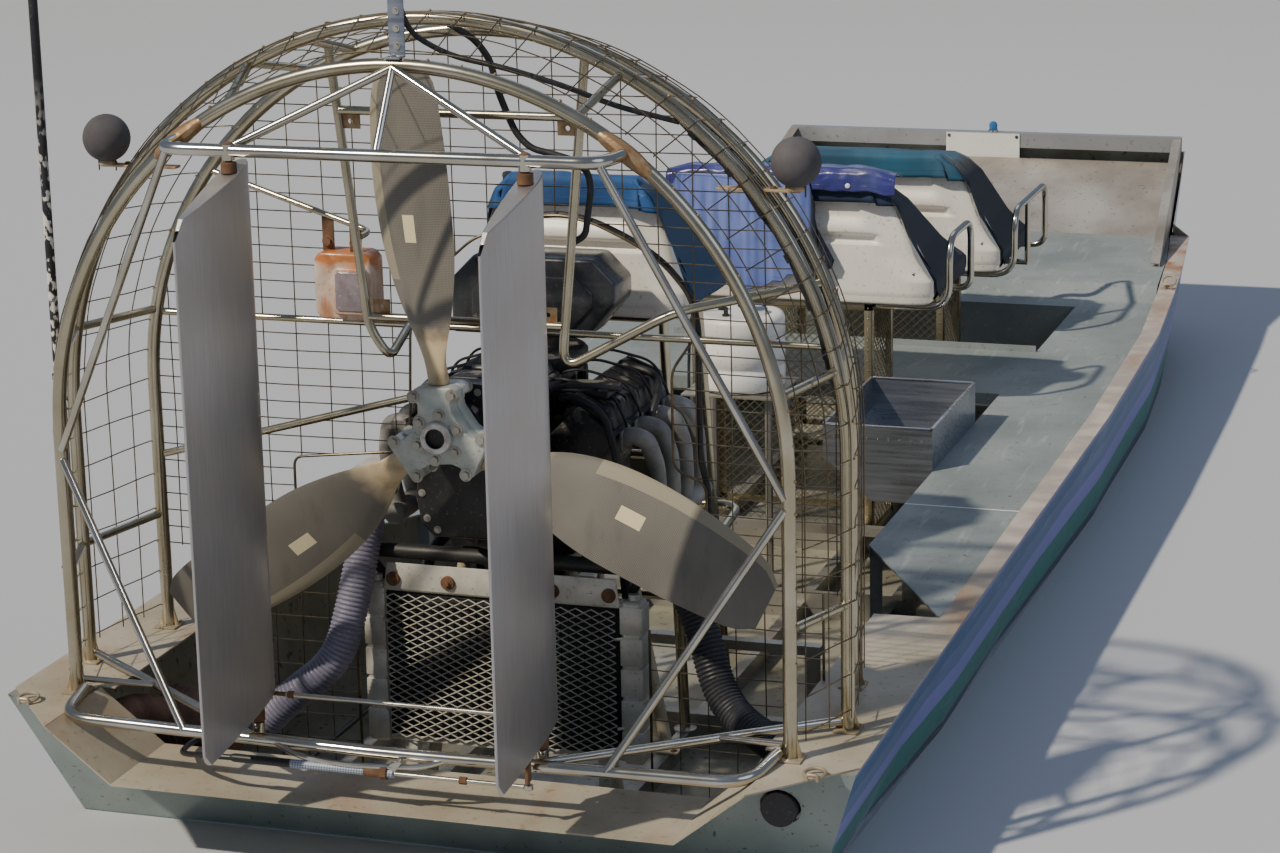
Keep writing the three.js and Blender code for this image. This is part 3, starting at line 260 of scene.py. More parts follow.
# %% [markdown]
# The hull is 5 mm aluminium plate, painted outside and bare inside. The sign painter's
# bands follow the sheer: a lavender lip, deep blue, grey blue, lavender, teal green and a
# dark navy bottom. One shader finds the height below the sheer, which rises at the bow,
# and the face's own direction tells the painted outside from the bare inside.
# %% Hull paint
SHEER = 0.55
SHEER_RISE = [(3.5, 4.8, 0.010), (4.8, 5.45, 0.030), (5.45, 6.0, 0.035), (6.0, 6.4, 0.029), (6.4, 7.0, 0.27)]
BANDS = [(-0.35, "#1f7f6a"), (-0.242, "#8a86c8"), (-0.165, "#5f729c"), (-0.092, "#2d5a86"),
    (-0.02, "#7a78b6")]
NAVY = "#161f30"
TRANSOM_GREEN = "#8c9894"
DECK_SEAM = 2.18


def hull_paint():
    made = Finish("hull_enamel_bands", 0.33, 0.0, Coat_Weight=0.3, Coat_Roughness=0.15)
    along, side, up = made.axis("Y"), made.axis("X"), made.axis("Z")
    sheer = made.ramp(along, SHEER_RISE[0][0], SHEER_RISE[0][1], SHEER, SHEER + SHEER_RISE[0][2])
    for low, high, rise in SHEER_RISE[1:]:
        sheer = made.plus(sheer, made.ramp(along, low, high, 0.0, rise))
    wander = made.ramp(made.noise(0.35, 0.0, 1.0), 0.0, 1.0, -0.004, 0.004)
    depth = made.plus(made.minus(up, sheer), wander)
    bands = NAVY
    for level, code in BANDS:
        bands = made.mix(made.above(depth, level), bands, code)
    scrape = made.noise(0.02, 0.62, 0.68, (0.12, 0.12, 1.0))
    bands = made.mix(made.times(scrape, 0.35), bands, "#9aa6b4")
    green = made.mix(made.noise(0.3, 0.35, 0.7), TRANSOM_GREEN, "#6c7975")
    green = made.mix(made.noise(0.015, 0.66, 0.7), green, "#4d5a58")
    inside_plate = made.mix(made.noise(0.35, 0.35, 0.65), "#a5a294", "#77735f")
    inside_plate = made.mix(made.noise(0.03, 0.6, 0.7), inside_plate, "#4f493b")
    outward = made.times(made.facing("X"), made.reckon("SIGN", side))
    painted = made.above(outward, 0.3)
    astern = made.below(made.facing("Y"), -0.5)
    outside_end = made.times(astern, made.below(along, 0.0))
    bottom = made.below(made.facing("Z"), -0.3)
    bow_end = made.above(made.facing("Y"), 0.5)
    colour = made.mix(made.reckon("MAXIMUM", painted, made.reckon("MAXIMUM", bottom, bow_end)), inside_plate,
        bands)
    colour = made.mix(outside_end, colour, green)
    made.colour(colour)
    made.link("Metallic", made.times(made.minus(1.0, made.reckon("MAXIMUM", painted, outside_end)), 0.2))
    return made.bump(made.noise(0.12, 0.2, 0.8), 0.0012)


HULL_PAINT = hull_paint()
print("bands", len(BANDS))

# %% [markdown]
# The decks are painted with a grey-green enamel that feet have scuffed pale, and the
# shelf and gunwale with a cream one that is stained brown by rust and river water. Both
# are flat paint: broad soiling, small dark specks and a skin that is not quite even.
# %% Deck and shelf paint


def deck_paint():
    made = worn("deck_enamel_scuffed", "#8b9392", "#707a7a", (0.5, 0.72), 0.0, 0.4, 0.02, "#625f52",
        dent=0.0008)
    base = made.base()
    scuff = made.noise(0.028, 0.6, 0.75, (1.0, 0.12, 1.0), detail=8.0)
    base = made.mix(made.times(scuff, 0.28), base, "#c3c8c2")
    seam_line = made.below(made.reckon("ABSOLUTE", made.minus(made.axis("Y"), DECK_SEAM)), 0.004)
    on_top = made.times(made.above(made.facing("Z"), 0.5), seam_line)
    return made.colour(made.mix(on_top, base, "#e4e6e0"))


def shelf_paint():
    made = worn("shelf_enamel_stained", "#b3ab98", "#918873", (0.45, 0.7), 0.0, 0.35, 0.018, "#8a6a48",
        dent=0.0006)
    base = made.base()
    forward = made.ramp(made.axis("Y"), 0.6, 2.2)
    gunwale = made.mix(made.noise(0.12, 0.4, 0.65), "#a49a90", "#c3b9ab")
    base = made.mix(forward, base, gunwale)
    rust = made.times(made.noise(0.22, 0.56, 0.72, (1.0, 0.5, 1.0), detail=8.0), 0.5)
    bow_rust = made.times(made.ramp(made.axis("Y"), 4.9, 5.6), made.noise(0.16, 0.42, 0.6))
    return made.colour(made.mix(made.reckon("MAXIMUM", rust, bow_rust), base, "#8f6440"))


DECK_PAINT = deck_paint()
SHELF_PAINT = shelf_paint()

# %% [markdown]
# Bare metals come next. Mill-finish aluminium is dull and scratched, rudder sheet is
# brushed along its height, and stainless tube is bright with a warm, oily film. Every
# metal keeps its default IOR, and its roughness varies with the same soiling as its
# colour, which is what makes a reflection look handled.
# %% Bare metals


def brushed(name, light, dark, roughness, stretch, grain=0.02, film=None, metallic=1.0, depth=0.00008):
    made = Finish(name, roughness[0], metallic)
    broad = made.noise(0.22, 0.35, 0.7)
    lines = made.noise(grain, 0.3, 0.7, stretch, detail=6.0)
    colour = made.mix(lines, dark, light)
    if film:
        colour = made.mix(made.times(broad, 0.6), colour, film)
    made.colour(colour)
    made.link("Roughness", made.ramp(made.plus(lines, broad), 0.0, 2.0, *roughness))
    return made.bump(lines, depth)


FOOT_PLATE = worn("foot_plate_stained", "#b3a993", "#8d7c62", (0.4, 0.6), 0.4, 0.35, 0.02, "#7a5a3c")
MILL_ALUMINIUM = worn("mill_aluminium", "#b9b7af", "#8f8a7e", (0.35, 0.55), 0.75, 0.3, 0.015, "#6b5a44")
BOARD_ALUMINIUM = worn("bow_board_aluminium", "#b8b0a2", "#8c857a", (0.38, 0.6), 0.6, 0.35, 0.02, "#74665a",
    dent=0.001)
RAIL_ALUMINIUM = worn("bow_rail_aluminium", "#c6c8c9", "#a3a5a6", (0.3, 0.5), 0.7, 0.35, 0.02, "#8c857a",
    dent=0.0004)
BOX_ALUMINIUM = brushed("box_sheet_aluminium", "#b4b9c2", "#8d929b", (0.22, 0.42), (0.05, 1.0, 1.0), 0.012,
    "#9aa0ac", 0.85)
RUDDER_SHEET = brushed("rudder_sheet_brushed", "#c4c3c6", "#b2b0b2", (0.3, 0.42), (1.0, 1.0, 0.03), 0.004,
    "#bdb6ae", 0.8, 0.00002)
STAINLESS = brushed("stainless_tube", "#cbc4b0", "#b6ad94", (0.2, 0.3), (1.0, 1.0, 1.0), 0.09, "#a3987a", 1.0,
    0.00002)
BRIGHT_STEEL = brushed("stainless_rail_polished", "#d6d3cb", "#bdb8ab", (0.12, 0.22), (1.0, 1.0, 1.0), 0.12,
    "#b0a892", 1.0, 0.00001)
WIRE = brushed("mesh_wire", "#847c68", "#5f594b", (0.35, 0.5), (1.0, 1.0, 1.0), 0.02, "#6e5a40")
CAST_ALUMINIUM = worn("cast_aluminium", "#bfc4bd", "#a0a69f", (0.38, 0.55), 0.35, 0.08, 0.008, "#6f7276",
    dent=0.0005)
TANK_ALUMINIUM = worn("radiator_tank_aluminium", "#dad7cb", "#b6b2a5", (0.4, 0.55), 0.3, 0.1, 0.01, "#6e7378")
GUARD_ZINC = worn("expanded_metal_white_zinc", "#d8d6cb", "#b9b4a2", (0.35, 0.55), 0.5, 0.1, 0.01, "#8e8266")
EXPANDED_STEEL = worn("expanded_metal_olive", "#b5ab8f", "#877d63", (0.3, 0.5), 0.9, 0.08, 0.01, "#5a4a30")
CHROME = Finish("chrome_cap", 0.08, 1.0).colour("#d8dadc")
RUST = worn("rusty_steel", "#7d5c42", "#533a28", (0.75, 0.9), 0.2, 0.05, 0.006, "#94683f", dent=0.0008)
WELD = worn("weld_rust", "#a58d6b", "#8a6848", (0.4, 0.65), 0.6, 0.03, 0.004, "#5f4530")
print("metals ready")

# %% [markdown]
# Paints, rubbers and plastics are plain dielectrics. Each has the marks of its making or
# use: the hose's own rings are modelled, the foam balls are pitted, the seats are smooth
# roto-moulded polyethylene with grey dirt, and the housing of the lamp is amber resin.
# %% Paints, rubbers and plastics


def flaked_enamel():
    made = worn("engine_black_enamel", "#1b1c1f", "#2c2b29", (0.3, 0.6), 0.2, 0.08, 0.01, "#6b6558",
        dent=0.0006)
    base = made.base()
    flake = made.noise(0.06, 0.55, 0.6, detail=8.0)
    on_top = made.ramp(made.facing("Z"), 0.1, 0.5, 0.0, 0.6)
    return made.colour(made.mix(made.times(flake, on_top), base, "#a39c8c"))


BLACK_CASTING = flaked_enamel()
INTAKE_PLASTIC = worn("intake_dark_plastic", "#26282d", "#37393c", (0.2, 0.4), 0.0, 0.1, 0.01, "#58584f",
    Coat_Weight=0.3)
BLACK_PAINT = worn("black_frame_paint", "#1b1b1a", "#2b2926", (0.4, 0.65), 0.0, 0.15, 0.01, "#554538")
BLACK_RUBBER = worn("black_rubber", "#17181a", "#262628", (0.45, 0.65), 0.0, 0.1, 0.01, "#4a4a48")
HEADER_STEEL = worn("header_steel_dusty", "#989690", "#6a6967", (0.45, 0.7), 0.2, 0.09, 0.01, "#a39a88")
HOSE_GREY = worn("hose_grey_vinyl", "#7d7a8c", "#5f5d6e", (0.4, 0.6), 0.0, 0.12, 0.01, "#a5a2b0")
HOSE_BLACK = worn("hose_black_rubber", "#202126", "#34353a", (0.4, 0.6), 0.0, 0.12, 0.01, "#55555a")
SEAT_SHELL = worn("seat_polyethylene", "#ece8de", "#dcd5c6", (0.3, 0.45), 0.0, 0.5, 0.012, "#a59f90",
    dent=0.0003, Subsurface_Weight=0.05)
WHITE_PLASTIC = worn("tank_polyethylene", "#efeee8", "#dedbd0", (0.3, 0.42), 0.0, 0.4, 0.01, "#b5b0a2")
FOAM = worn("pitted_grey_foam", "#575456", "#454244", (0.75, 0.9), 0.0, 0.1, 0.006, "#4b4a4c", dent=0.0005)


def faded_amber():
    made = worn("lamp_amber_resin", "#d3bfb0", "#c09a7c", (0.25, 0.45), 0.0, 0.05, 0.008, "#a06a40")
    base = made.base()
    wander = made.ramp(made.noise(0.05, 0.3, 0.7), 0.0, 1.0, -0.02, 0.02)
    top = made.ramp(made.plus(made.axis("Z"), wander), 1.69, 1.715)
    streak = made.noise(0.03, 0.55, 0.65, (1.0, 1.0, 0.15))
    return made.colour(made.mix(made.reckon("MAXIMUM", top, made.times(streak, 0.7)), base, "#b87440"))


AMBER = faded_amber()
AMBER_LENS = worn("lamp_amber_lens", "#8f8488", "#75696d", (0.1, 0.22), 0.0, 0.05, 0.008, "#b9a9a0",
    Coat_Weight=0.5)
BRACKET_RUST = worn("bracket_cream_and_rust", "#bfae8c", "#8a5f3a", (0.5, 0.75), 0.3, 0.04, 0.006, "#5a3a22")
BLUE_LENS = Finish("bow_lens_blue", 0.1, 0.0, Transmission_Weight=0.6, IOR=1.49).colour("#3f86c4")
CLEAR_LENS = Finish("stern_lens_clear", 0.12, 0.0, Transmission_Weight=0.6, IOR=1.49).colour("#c9d4e0")
SIGN_WHITE = worn("sign_board_white", "#f0efea", "#e2e0d8", (0.35, 0.5), 0.0, 0.3, 0.01, "#c9c5ba")
CREAM_TUBE = worn("stand_cream_enamel", "#cfc5ab", "#a3967a", (0.4, 0.6), 0.1, 0.12, 0.012, "#6f5536")
CORE_FINS = worn("radiator_core_black", "#26282b", "#3a3b3c", (0.6, 0.8), 0.4, 0.06, 0.004, "#6a6656")
MUFFLER_STEEL = worn("muffler_dusty_rust", "#8a6f62", "#5d4a42", (0.7, 0.9), 0.2, 0.1, 0.01, "#a88a78")


def worn_pole():
    made = worn("mast_black_worn", "#18191c", "#2a2a2d", (0.4, 0.6), 0.0, 0.1, 0.01, "#55565a")
    base = made.base()
    flake = made.noise(0.018, 0.5, 0.56, (1, 1, 0.6), detail=6.0)
    low = made.ramp(made.axis("Z"), 2.25, 1.9)
    return made.colour(made.mix(made.times(flake, low), base, "#d9d6cc"))


MAST_PAINT = worn_pole()
print("paints and plastics ready")

# %% [markdown]
# A node that needs no new shape only gets its finish. It is put in the slots of the
# node's own object, and the mesh is never touched.
# %% Finishes on the nodes that stay
KEPT = {
    "hull_shell": HULL_PAINT, "gunwale_and_shelf": SHELF_PAINT, "side_deck_port": DECK_PAINT,
    "side_deck_starboard": DECK_PAINT, "cross_deck": DECK_PAINT, "bow_deck": DECK_PAINT,
    "bow_panel": BOARD_ALUMINIUM, "bow_rail": RAIL_ALUMINIUM, "floor_frame": MILL_ALUMINIUM,
    "side_box": BOX_ALUMINIUM, "tank_stand": MILL_ALUMINIUM, "sign_plate": SIGN_WHITE,
}


def dress(node, finish):
    piece = NODES[node]
    if not piece.data.materials:
        piece.data.materials.append(finish.material)
    for piece_slot in piece.material_slots:
        piece_slot.material = finish.material


for kept_node, kept_finish in KEPT.items():
    dress(kept_node, kept_finish)
print("dressed", len(KEPT))

# %% [markdown]
# The boat is mostly bent tube, so the first shape helper sweeps a round section along a
# route: a circle is made across the route's start, and its edge is extruded station by
# station. Each tube is made in a small mesh of its own and then joined to the piece,
# because an operator on a small mesh is quick.
# %% Shape helpers


def only(kind, made):
    """The vertices, edges or faces among what an operator made."""
    return [g for g in made["geom"] if isinstance(g, kind)]


def join(whole, part, matrix=None):
    """Adds a part to the whole and frees the part."""
    mesh = bpy.data.meshes.new("part")
    part.to_mesh(mesh)
    part.free()
    stamp(whole, mesh, matrix)
    bpy.data.meshes.remove(mesh)


def stamp(whole, mesh, matrix=None):
    """Adds a pattern, which is kept for the next stamp."""
    if matrix is None:
        whole.from_mesh(mesh)
        return
    copy = mesh.copy()
    copy.transform(matrix)
    whole.from_mesh(copy)
    bpy.data.meshes.remove(copy)


def pattern(part):
    mesh = bpy.data.meshes.new("pattern")
    bmesh.ops.recalc_face_normals(part, faces=part.faces)
    part.to_mesh(mesh)
    part.free()
    return mesh


def rounded(points, bend, steps=6):
    """The route through some corners, with each one replaced by a curve."""
    corners = [Vector(p) for p in points]
    route = [corners[0]]
    for before, corner, after in zip(corners, corners[1:], corners[2:]):
        back, ahead = before - corner, after - corner
        cut = min(bend, back.length * 0.45, ahead.length * 0.45)
        start, end = corner + back.normalized() * cut, corner + ahead.normalized() * cut
        for i in range(steps + 1):
            t = i / steps
            route.append(start * (1 - t) ** 2 + corner * 2 * t * (1 - t) + end * t * t)
    return route + [corners[-1]]


def frames(route, up=None):
    """A matrix at each station of a route, carried along it without twist."""
    made = []
    normal = None
    for i, point in enumerate(route):
        ahead = route[min(i + 1, len(route) - 1)] - route[max(i - 1, 0)]
        if ahead.length < 1e-9:
            ahead = Vector((0, 0, 1))
        ahead = ahead.normalized()
        if normal is None:
            normal = Vector(up) if up else ahead.orthogonal()
        normal = (normal - ahead * normal.dot(ahead)).normalized()
        side = ahead.cross(normal)
        made.append(Matrix.Translation(point) @ Matrix((normal, side, ahead)).transposed().to_4x4())
    return made


def sweep(whole, route, radius, sides=12, flat=1.0, up=None, closed=True):
    route = [Vector(p) for p in route]
    radii = radius if isinstance(radius, (list, tuple)) else [radius] * len(route)
    places = [m @ Matrix.Diagonal((r * flat, r, r, 1)) for m, r in zip(frames(route, up), radii)]
    part = bmesh.new()
    bmesh.ops.create_circle(part, cap_ends=closed, radius=1.0, segments=sides, matrix=places[0])
    edges = part.edges[:]
    for before, after in zip(places, places[1:]):
        grown = bmesh.ops.extrude_edge_only(part, edges=edges)
        bmesh.ops.transform(part, matrix=after @ before.inverted(), verts=only(bmesh.types.BMVert, grown))
        edges = only(bmesh.types.BMEdge, grown)
    if closed:
        bmesh.ops.edgeloop_fill(part, edges=edges)
    bmesh.ops.recalc_face_normals(part, faces=part.faces)
    join(whole, part)


def bar(whole, start, end, radius, sides=12):
    sweep(whole, [start, end], radius, sides)


def tube(whole, points, radius, bend=0.06, sides=12, steps=6):
    sweep(whole, rounded(points, bend, steps), radius, sides)


def slab(whole, outline, low, high, axis="z", bevel=0.0, segments=2):
    """A flat plate from its outline seen along one axis."""
    part = bmesh.new()
    place = {"x": lambda a, b, lift: (lift, a, b), "y": lambda a, b, lift: (a, lift, b),
             "z": lambda a, b, lift: (a, b, lift)}[axis]
    face = part.faces.new([part.verts.new(place(a, b, low)) for a, b in outline])
    grown = bmesh.ops.extrude_face_region(part, geom=[face], use_keep_orig=True)
    bmesh.ops.translate(part, vec=place(0, 0, high - low), verts=only(bmesh.types.BMVert, grown))
    bmesh.ops.recalc_face_normals(part, faces=part.faces)
    if bevel:
        bmesh.ops.bevel(part, geom=part.edges[:], offset=bevel, offset_type="OFFSET", segments=segments,
                        profile=0.5, affect="EDGES", material=-1, clamp_overlap=True)
    join(whole, part)


def box(whole, x, y, z, bevel=0.0, segments=2):
    slab(whole, [(x[0], y[0]), (x[1], y[0]), (x[1], y[1]), (x[0], y[1])], z[0], z[1], "z", bevel, segments)


def turned(whole, profile, centre, axis="z", steps=32):
    """A lathe: (radius, height) pairs spun round an axis through the centre."""
    part = bmesh.new()
    verts = [part.verts.new((r, 0, h)) for r, h in profile]
    edges = [part.edges.new(pair) for pair in zip(verts, verts[1:])]
    bmesh.ops.spin(part, geom=verts + edges, cent=(0, 0, 0), axis=(0, 0, 1), angle=2 * math.pi, steps=steps,
                   use_merge=True)
    bmesh.ops.remove_doubles(part, verts=part.verts, dist=1e-6)
    bmesh.ops.recalc_face_normals(part, faces=part.faces)
    turn = {"x": Matrix.Rotation(math.pi / 2, 4, "Y"), "y": Matrix.Rotation(-math.pi / 2, 4, "X"),
            "z": Matrix.Identity(4)}[axis]
    join(whole, part, Matrix.Translation(centre) @ turn)


def collar(whole, inner, outer, low, high, centre, axis="z", steps=20):
    """A plain ring: what a lathe makes of a rectangle."""
    turned(whole, [(inner, low), (outer, low), (outer, high), (inner, high), (inner, low)], centre, axis,
        steps)


def finished(name, whole, finish, *nodes, slot=None, body="boat", angle=35):
    """Makes the piece: its mesh, finish and body, and hides the nodes that it replaces."""
    mesh = bpy.data.meshes.new(name)
    whole.to_mesh(mesh)
    whole.free()
    mesh.materials.append(finish.material)
    mesh.shade_smooth()
    mesh.set_sharp_from_angle(angle=math.radians(angle))
    piece = bpy.data.objects.new(name, mesh)
    bpy.context.scene.collection.objects.link(piece)
    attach(piece, body)
    if nodes:
        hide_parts(*nodes)
    return piece


def bolt_pattern(radius=0.008, head=0.006, washer=0.012):
    """A hexagonal head on a washer that is sunk a little, facing up."""
    part = bmesh.new()
    bmesh.ops.create_cone(part, cap_ends=True, segments=6, radius1=radius, radius2=radius * 0.94, depth=head,
                          matrix=Matrix.Translation((0, 0, head * 0.5 + 0.0015)))
    bmesh.ops.create_cone(part, cap_ends=True, segments=14, radius1=washer, radius2=washer,
                          depth=0.002, matrix=Matrix.Translation((0, 0, 0.001)))
    return pattern(part)


BOLT = bolt_pattern()


def aimed(at, direction, size=1.0):
    """The matrix that stands a pattern at a place, facing a direction."""
    turn = Vector(direction).to_track_quat("Z", "Y").to_matrix().to_4x4()
    return Matrix.Translation(at) @ turn @ Matrix.Scale(size, 4)


print("shape helpers ready")

# %% [markdown]
# The propeller cage is three hoops of 38 mm stainless tube. Each is one bent tube from
# the gunwale up, over and down again, so one route with many stations in its arch makes
# it, and the sweep keeps the section round. The middle hoop carries the short tie tubes.
# %% Cage hoops
CAGE_AXIS = 1.307
CAGE_TUBE = 0.019
HOOPS = {"rear": (-0.25, 1.035), "middle": (0.0, 1.125), "front": (0.35, 1.05)}
HOOP_FOOT = 0.5553
FOOT_LOW, FOOT_HIGH, FOOT_HALF, FOOT_BOLT = 0.5552, 0.561, 0.035, 0.026
TIE_ANGLES = [-22, 12, 62, 118, 168, 202]
TIE_DROP, TIE_TUBE = 0.4, 0.012
TUBE_FACE = 0.0195


def around(radius, degrees):
    """A point (x, z) round the propeller's axis: 0 degrees is to starboard, 90 up."""
    angle = math.radians(degrees)
    return radius * math.cos(angle), CAGE_AXIS + radius * math.sin(angle)


def hoop_route(y, radius, foot, steps=72):
    arch = [Vector((x, y, z)) for x, z in (around(radius, 180 * i / steps) for i in range(steps + 1))]
    drop = [Vector((radius, y, foot + (CAGE_AXIS - foot) * t)) for t in (0, 0.5)]
    rise = [Vector((-radius, y, foot + (CAGE_AXIS - foot) * t)) for t in (0.5, 0)]
    return drop + arch + rise


def tie_ends(degrees, name):
    y, radius = HOOPS[name]
    if 0 <= degrees <= 180:
        x, z = around(radius, degrees)
    else:
        x, z = math.copysign(radius, 90 - degrees), CAGE_AXIS - TIE_DROP
    return Vector((x, y, z))


for hoop_name, (hoop_y, hoop_radius) in HOOPS.items():
    hoop = bmesh.new()
    sweep(hoop, hoop_route(hoop_y, hoop_radius, HOOP_FOOT), CAGE_TUBE, 16)
    if hoop_name == "middle":
        for tie_angle in TIE_ANGLES:
            middle = tie_ends(tie_angle, "middle")
            for other in ("rear", "front"):
                end = tie_ends(tie_angle, other)
                bar(hoop, middle, end + (middle - end).normalized() * TUBE_FACE, TIE_TUBE, 10)
    finished(f"hoop_{hoop_name}_tube", hoop, STAINLESS, f"cage_hoop_{hoop_name}", slot="stainless")

feet = bmesh.new()
for hoop_y, hoop_radius in HOOPS.values():
    for side in (-1, 1):
        foot = side * hoop_radius
        box(feet, (foot - FOOT_HALF, foot + FOOT_HALF), (hoop_y - FOOT_HALF, hoop_y + FOOT_HALF),
            (FOOT_LOW, FOOT_HIGH), 0.0015)
        for dx in (-FOOT_BOLT, FOOT_BOLT):
            stamp(feet, BOLT, aimed((foot + dx, hoop_y + FOOT_BOLT, FOOT_HIGH), (0, 0, 1), 0.7))
finished("hoop_foot_plates", feet, FOOT_PLATE, slot="stainless")
print("hoops", len(HOOPS), "ties", 2 * len(TIE_ANGLES))

# %% [markdown]
# Welded wire mesh wraps the hoops on the outside, in squares of about 100 mm, so that
# no hand reaches the propeller. The wires that run round the cage follow the same route
# as the hoops, and the ones from rear to front bend over the middle hoop. A little
# random bow keeps the old mesh from looking new.
# %% Side mesh
MESH_PITCH = 0.1
MESH_WIRE = 0.0019
MESH_OUT = 0.0238
MESH_LINE = [(-0.222, 1.035 + 0.0105 + MESH_OUT), (0.0, 1.125 + MESH_OUT), (0.38, 1.05 + MESH_OUT)]
MESH_RINGS, MESH_FOOT, MESH_STEPS = 7, 0.6, 8
MESH_LEGS = (0.62, 0.72, 0.82, 0.92, 1.02, 1.12, 1.22)


def mesh_radius(y):
    for (ya, ra), (yb, rb) in zip(MESH_LINE, MESH_LINE[1:]):
        if y <= yb:
            return ra + (rb - ra) * (y - ya) / (yb - ya)
    return MESH_LINE[-1][1]


def side_mesh():
    """The wires, and the places round a hoop where the lengthwise ones cross it."""
    whole = bmesh.new()
    for i in range(MESH_RINGS):
        y = MESH_LINE[0][0] + (MESH_LINE[-1][0] - MESH_LINE[0][0]) * i / (MESH_RINGS - 1)
        route = hoop_route(y, mesh_radius(y), MESH_FOOT)
        wave = [Vector((0, 0.006 * math.sin(j * 0.9 + i * 2.1) * random.uniform(0.3, 1.0), 0))
                for j in range(len(route))]
        sweep(whole, [p + w for p, w in zip(route, wave)], MESH_WIRE, 5)
    arch = math.pi * 1.15
    count = int(arch / MESH_PITCH)
    lines = [around(1.0, 180 * i / count) for i in range(count + 1)]
    legs = [(side, z) for side in (-1, 1) for z in MESH_LEGS]
    for number, (x, z) in enumerate(lines + legs):
        skew = 0.012 * math.sin(number * 1.7)
        route = []
        for j in range(MESH_STEPS + 1):
            y = MESH_LINE[0][0] + (MESH_LINE[-1][0] - MESH_LINE[0][0]) * j / MESH_STEPS
            radius = mesh_radius(y) - MESH_WIRE * 1.6 + 0.003 * math.sin(j * math.pi / 2 + number)
            if number < len(lines):
                angle = math.atan2(z - CAGE_AXIS, x) + skew * y
                route.append(Vector((radius * math.cos(angle), y, CAGE_AXIS + radius * math.sin(angle))))
            else:
                route.append(Vector((x * radius, y, z + skew * y)))
        sweep(whole, route, MESH_WIRE, 5)
    return whole, lines, legs


side_wires, WIRE_LINES, WIRE_LEGS = side_mesh()
finished("side_mesh_wires", side_wires, WIRE, "cage_side_mesh", slot="wire")

# %% [markdown]
# Where a wire is welded to a hoop, the bare weld has rusted. These orange-brown dots are
# what the eye catches first on the silver tubes, so each crossing gets a small bead.
# %% Weld beads


def weld_beads():
    bead_mesh = bmesh.new()
    bmesh.ops.create_icosphere(bead_mesh, subdivisions=1, radius=0.0052)
    bead = pattern(bead_mesh)
    whole = bmesh.new()
    for y, radius in HOOPS.values():
        out = radius + CAGE_TUBE
        spots = [(out * math.cos(a), CAGE_AXIS + out * math.sin(a))
                 for a in (math.atan2(z - CAGE_AXIS, x) for x, z in WIRE_LINES)]
        spots += [(side * out, z) for side, z in WIRE_LEGS]
        for x, z in spots:
            if random.random() < 0.8:
                place = Vector((x, y + random.uniform(-0.004, 0.004), z))
                stamp(whole, bead, Matrix.Translation(place) @ Matrix.Scale(random.uniform(0.7, 1.15), 4))
    for tie_angle in TIE_ANGLES:
        for name in ("rear", "front"):
            end = tie_ends(tie_angle, name)
            inward = (tie_ends(tie_angle, "middle") - end).normalized()
            stamp(whole, bead, Matrix.Translation(end + inward * 0.019) @ Matrix.Scale(2.6, 4))
    return whole


finished("weld_beads", weld_beads(), WELD, slot="stainless")

# %% [markdown]
# The cage's front has the same mesh as a flat panel behind the driver, cut out round the
# engine. Each wire is clipped to the hoop's circle and to the cut-out by plain
# arithmetic, and the cut edge is bound by one bent rod.
# %% Front mesh
FRONT_Y = 0.371
FRONT_LOW, FRONT_TOP = 0.805, 2.33
ROW_PITCH = 0.0508
EDGE_ROD = 0.004
OPENING = [(0.625, 0.805), (0.625, 1.1), (0.53, 1.14), (0.53, 1.42), (0.6, 1.52), (0.587, 1.63),
    (0.553, 1.675), (0.514, 1.716), (0.426, 1.775), (0.314, 1.825), (0.224, 1.845), (0.12, 1.838),
    (-0.05, 1.765), (-0.17, 1.66), (-0.245, 1.5), (-0.26, 1.14), (-0.625, 1.1), (-0.625, 0.805)]


def outside(outline, value, known, low, high):
    """The stretches of a straight wire that lie outside a closed outline."""
    found = [low]
    for here, there in zip(outline, outline[1:] + outline[:1]):
        before, after = here[known] - value, there[known] - value
        if (before < 0) != (after < 0):
            found.append(here[1 - known] + (there[1 - known] - here[1 - known]) * before / (before - after))
    found = sorted(found + [high])
    return [(a, b) for a, b in zip(found[::2], found[1::2]) if b - a > 0.01]


def front_mesh():
    whole = bmesh.new()
    reach = HOOPS["front"][1]
    for i in range(-10, 11):
        x = i * MESH_PITCH
        top = CAGE_AXIS + math.sqrt(reach ** 2 - x ** 2)
        for a, b in outside(OPENING, x, 0, FRONT_LOW, top):
            middle = (x + 0.004 * math.sin(i), FRONT_Y + 0.002, (a + b) / 2)
            sweep(whole, [(x, FRONT_Y, a), middle, (x, FRONT_Y, b)], MESH_WIRE, 5)
    z = FRONT_LOW + 0.005
    while z < FRONT_TOP:
        half = reach if z < CAGE_AXIS else math.sqrt(reach ** 2 - (z - CAGE_AXIS) ** 2)
        for a, b in outside(OPENING, z, 1, -half, half):
            middle = ((a + b) / 2, FRONT_Y + 0.003, z - 0.004)
            sweep(whole, [(a, FRONT_Y + 0.003, z), middle, (b, FRONT_Y + 0.003, z)], MESH_WIRE, 5)
        z += ROW_PITCH
    sweep(whole, hoop_route(FRONT_Y, reach, FRONT_LOW), EDGE_ROD, 6)
    tube(whole, [(x, FRONT_Y, z) for x, z in OPENING], EDGE_ROD, 0.03, 8)
    return whole


finished("front_mesh_wires", front_mesh(), WIRE, "cage_front_mesh", slot="wire")

# %% [markdown]
# Below the guard the same wire closes the space on both sides of the radiator. The two
# exhaust hoses pass through it, so each side is cut away around its hose.
# %% Low mesh
LOW_MESH = {"inner": 0.45, "outer": 0.96, "foot": 0.08, "top": 0.8, "across": 0.085, "up": 0.075}
HOSE_CUTS = {-1: [(0.449, 0.7), (0.52, 0.7), (0.52, 0.8), (0.449, 0.8)],
             1: [(0.449, 0.66), (0.69, 0.66), (0.69, 0.8), (0.449, 0.8)]}


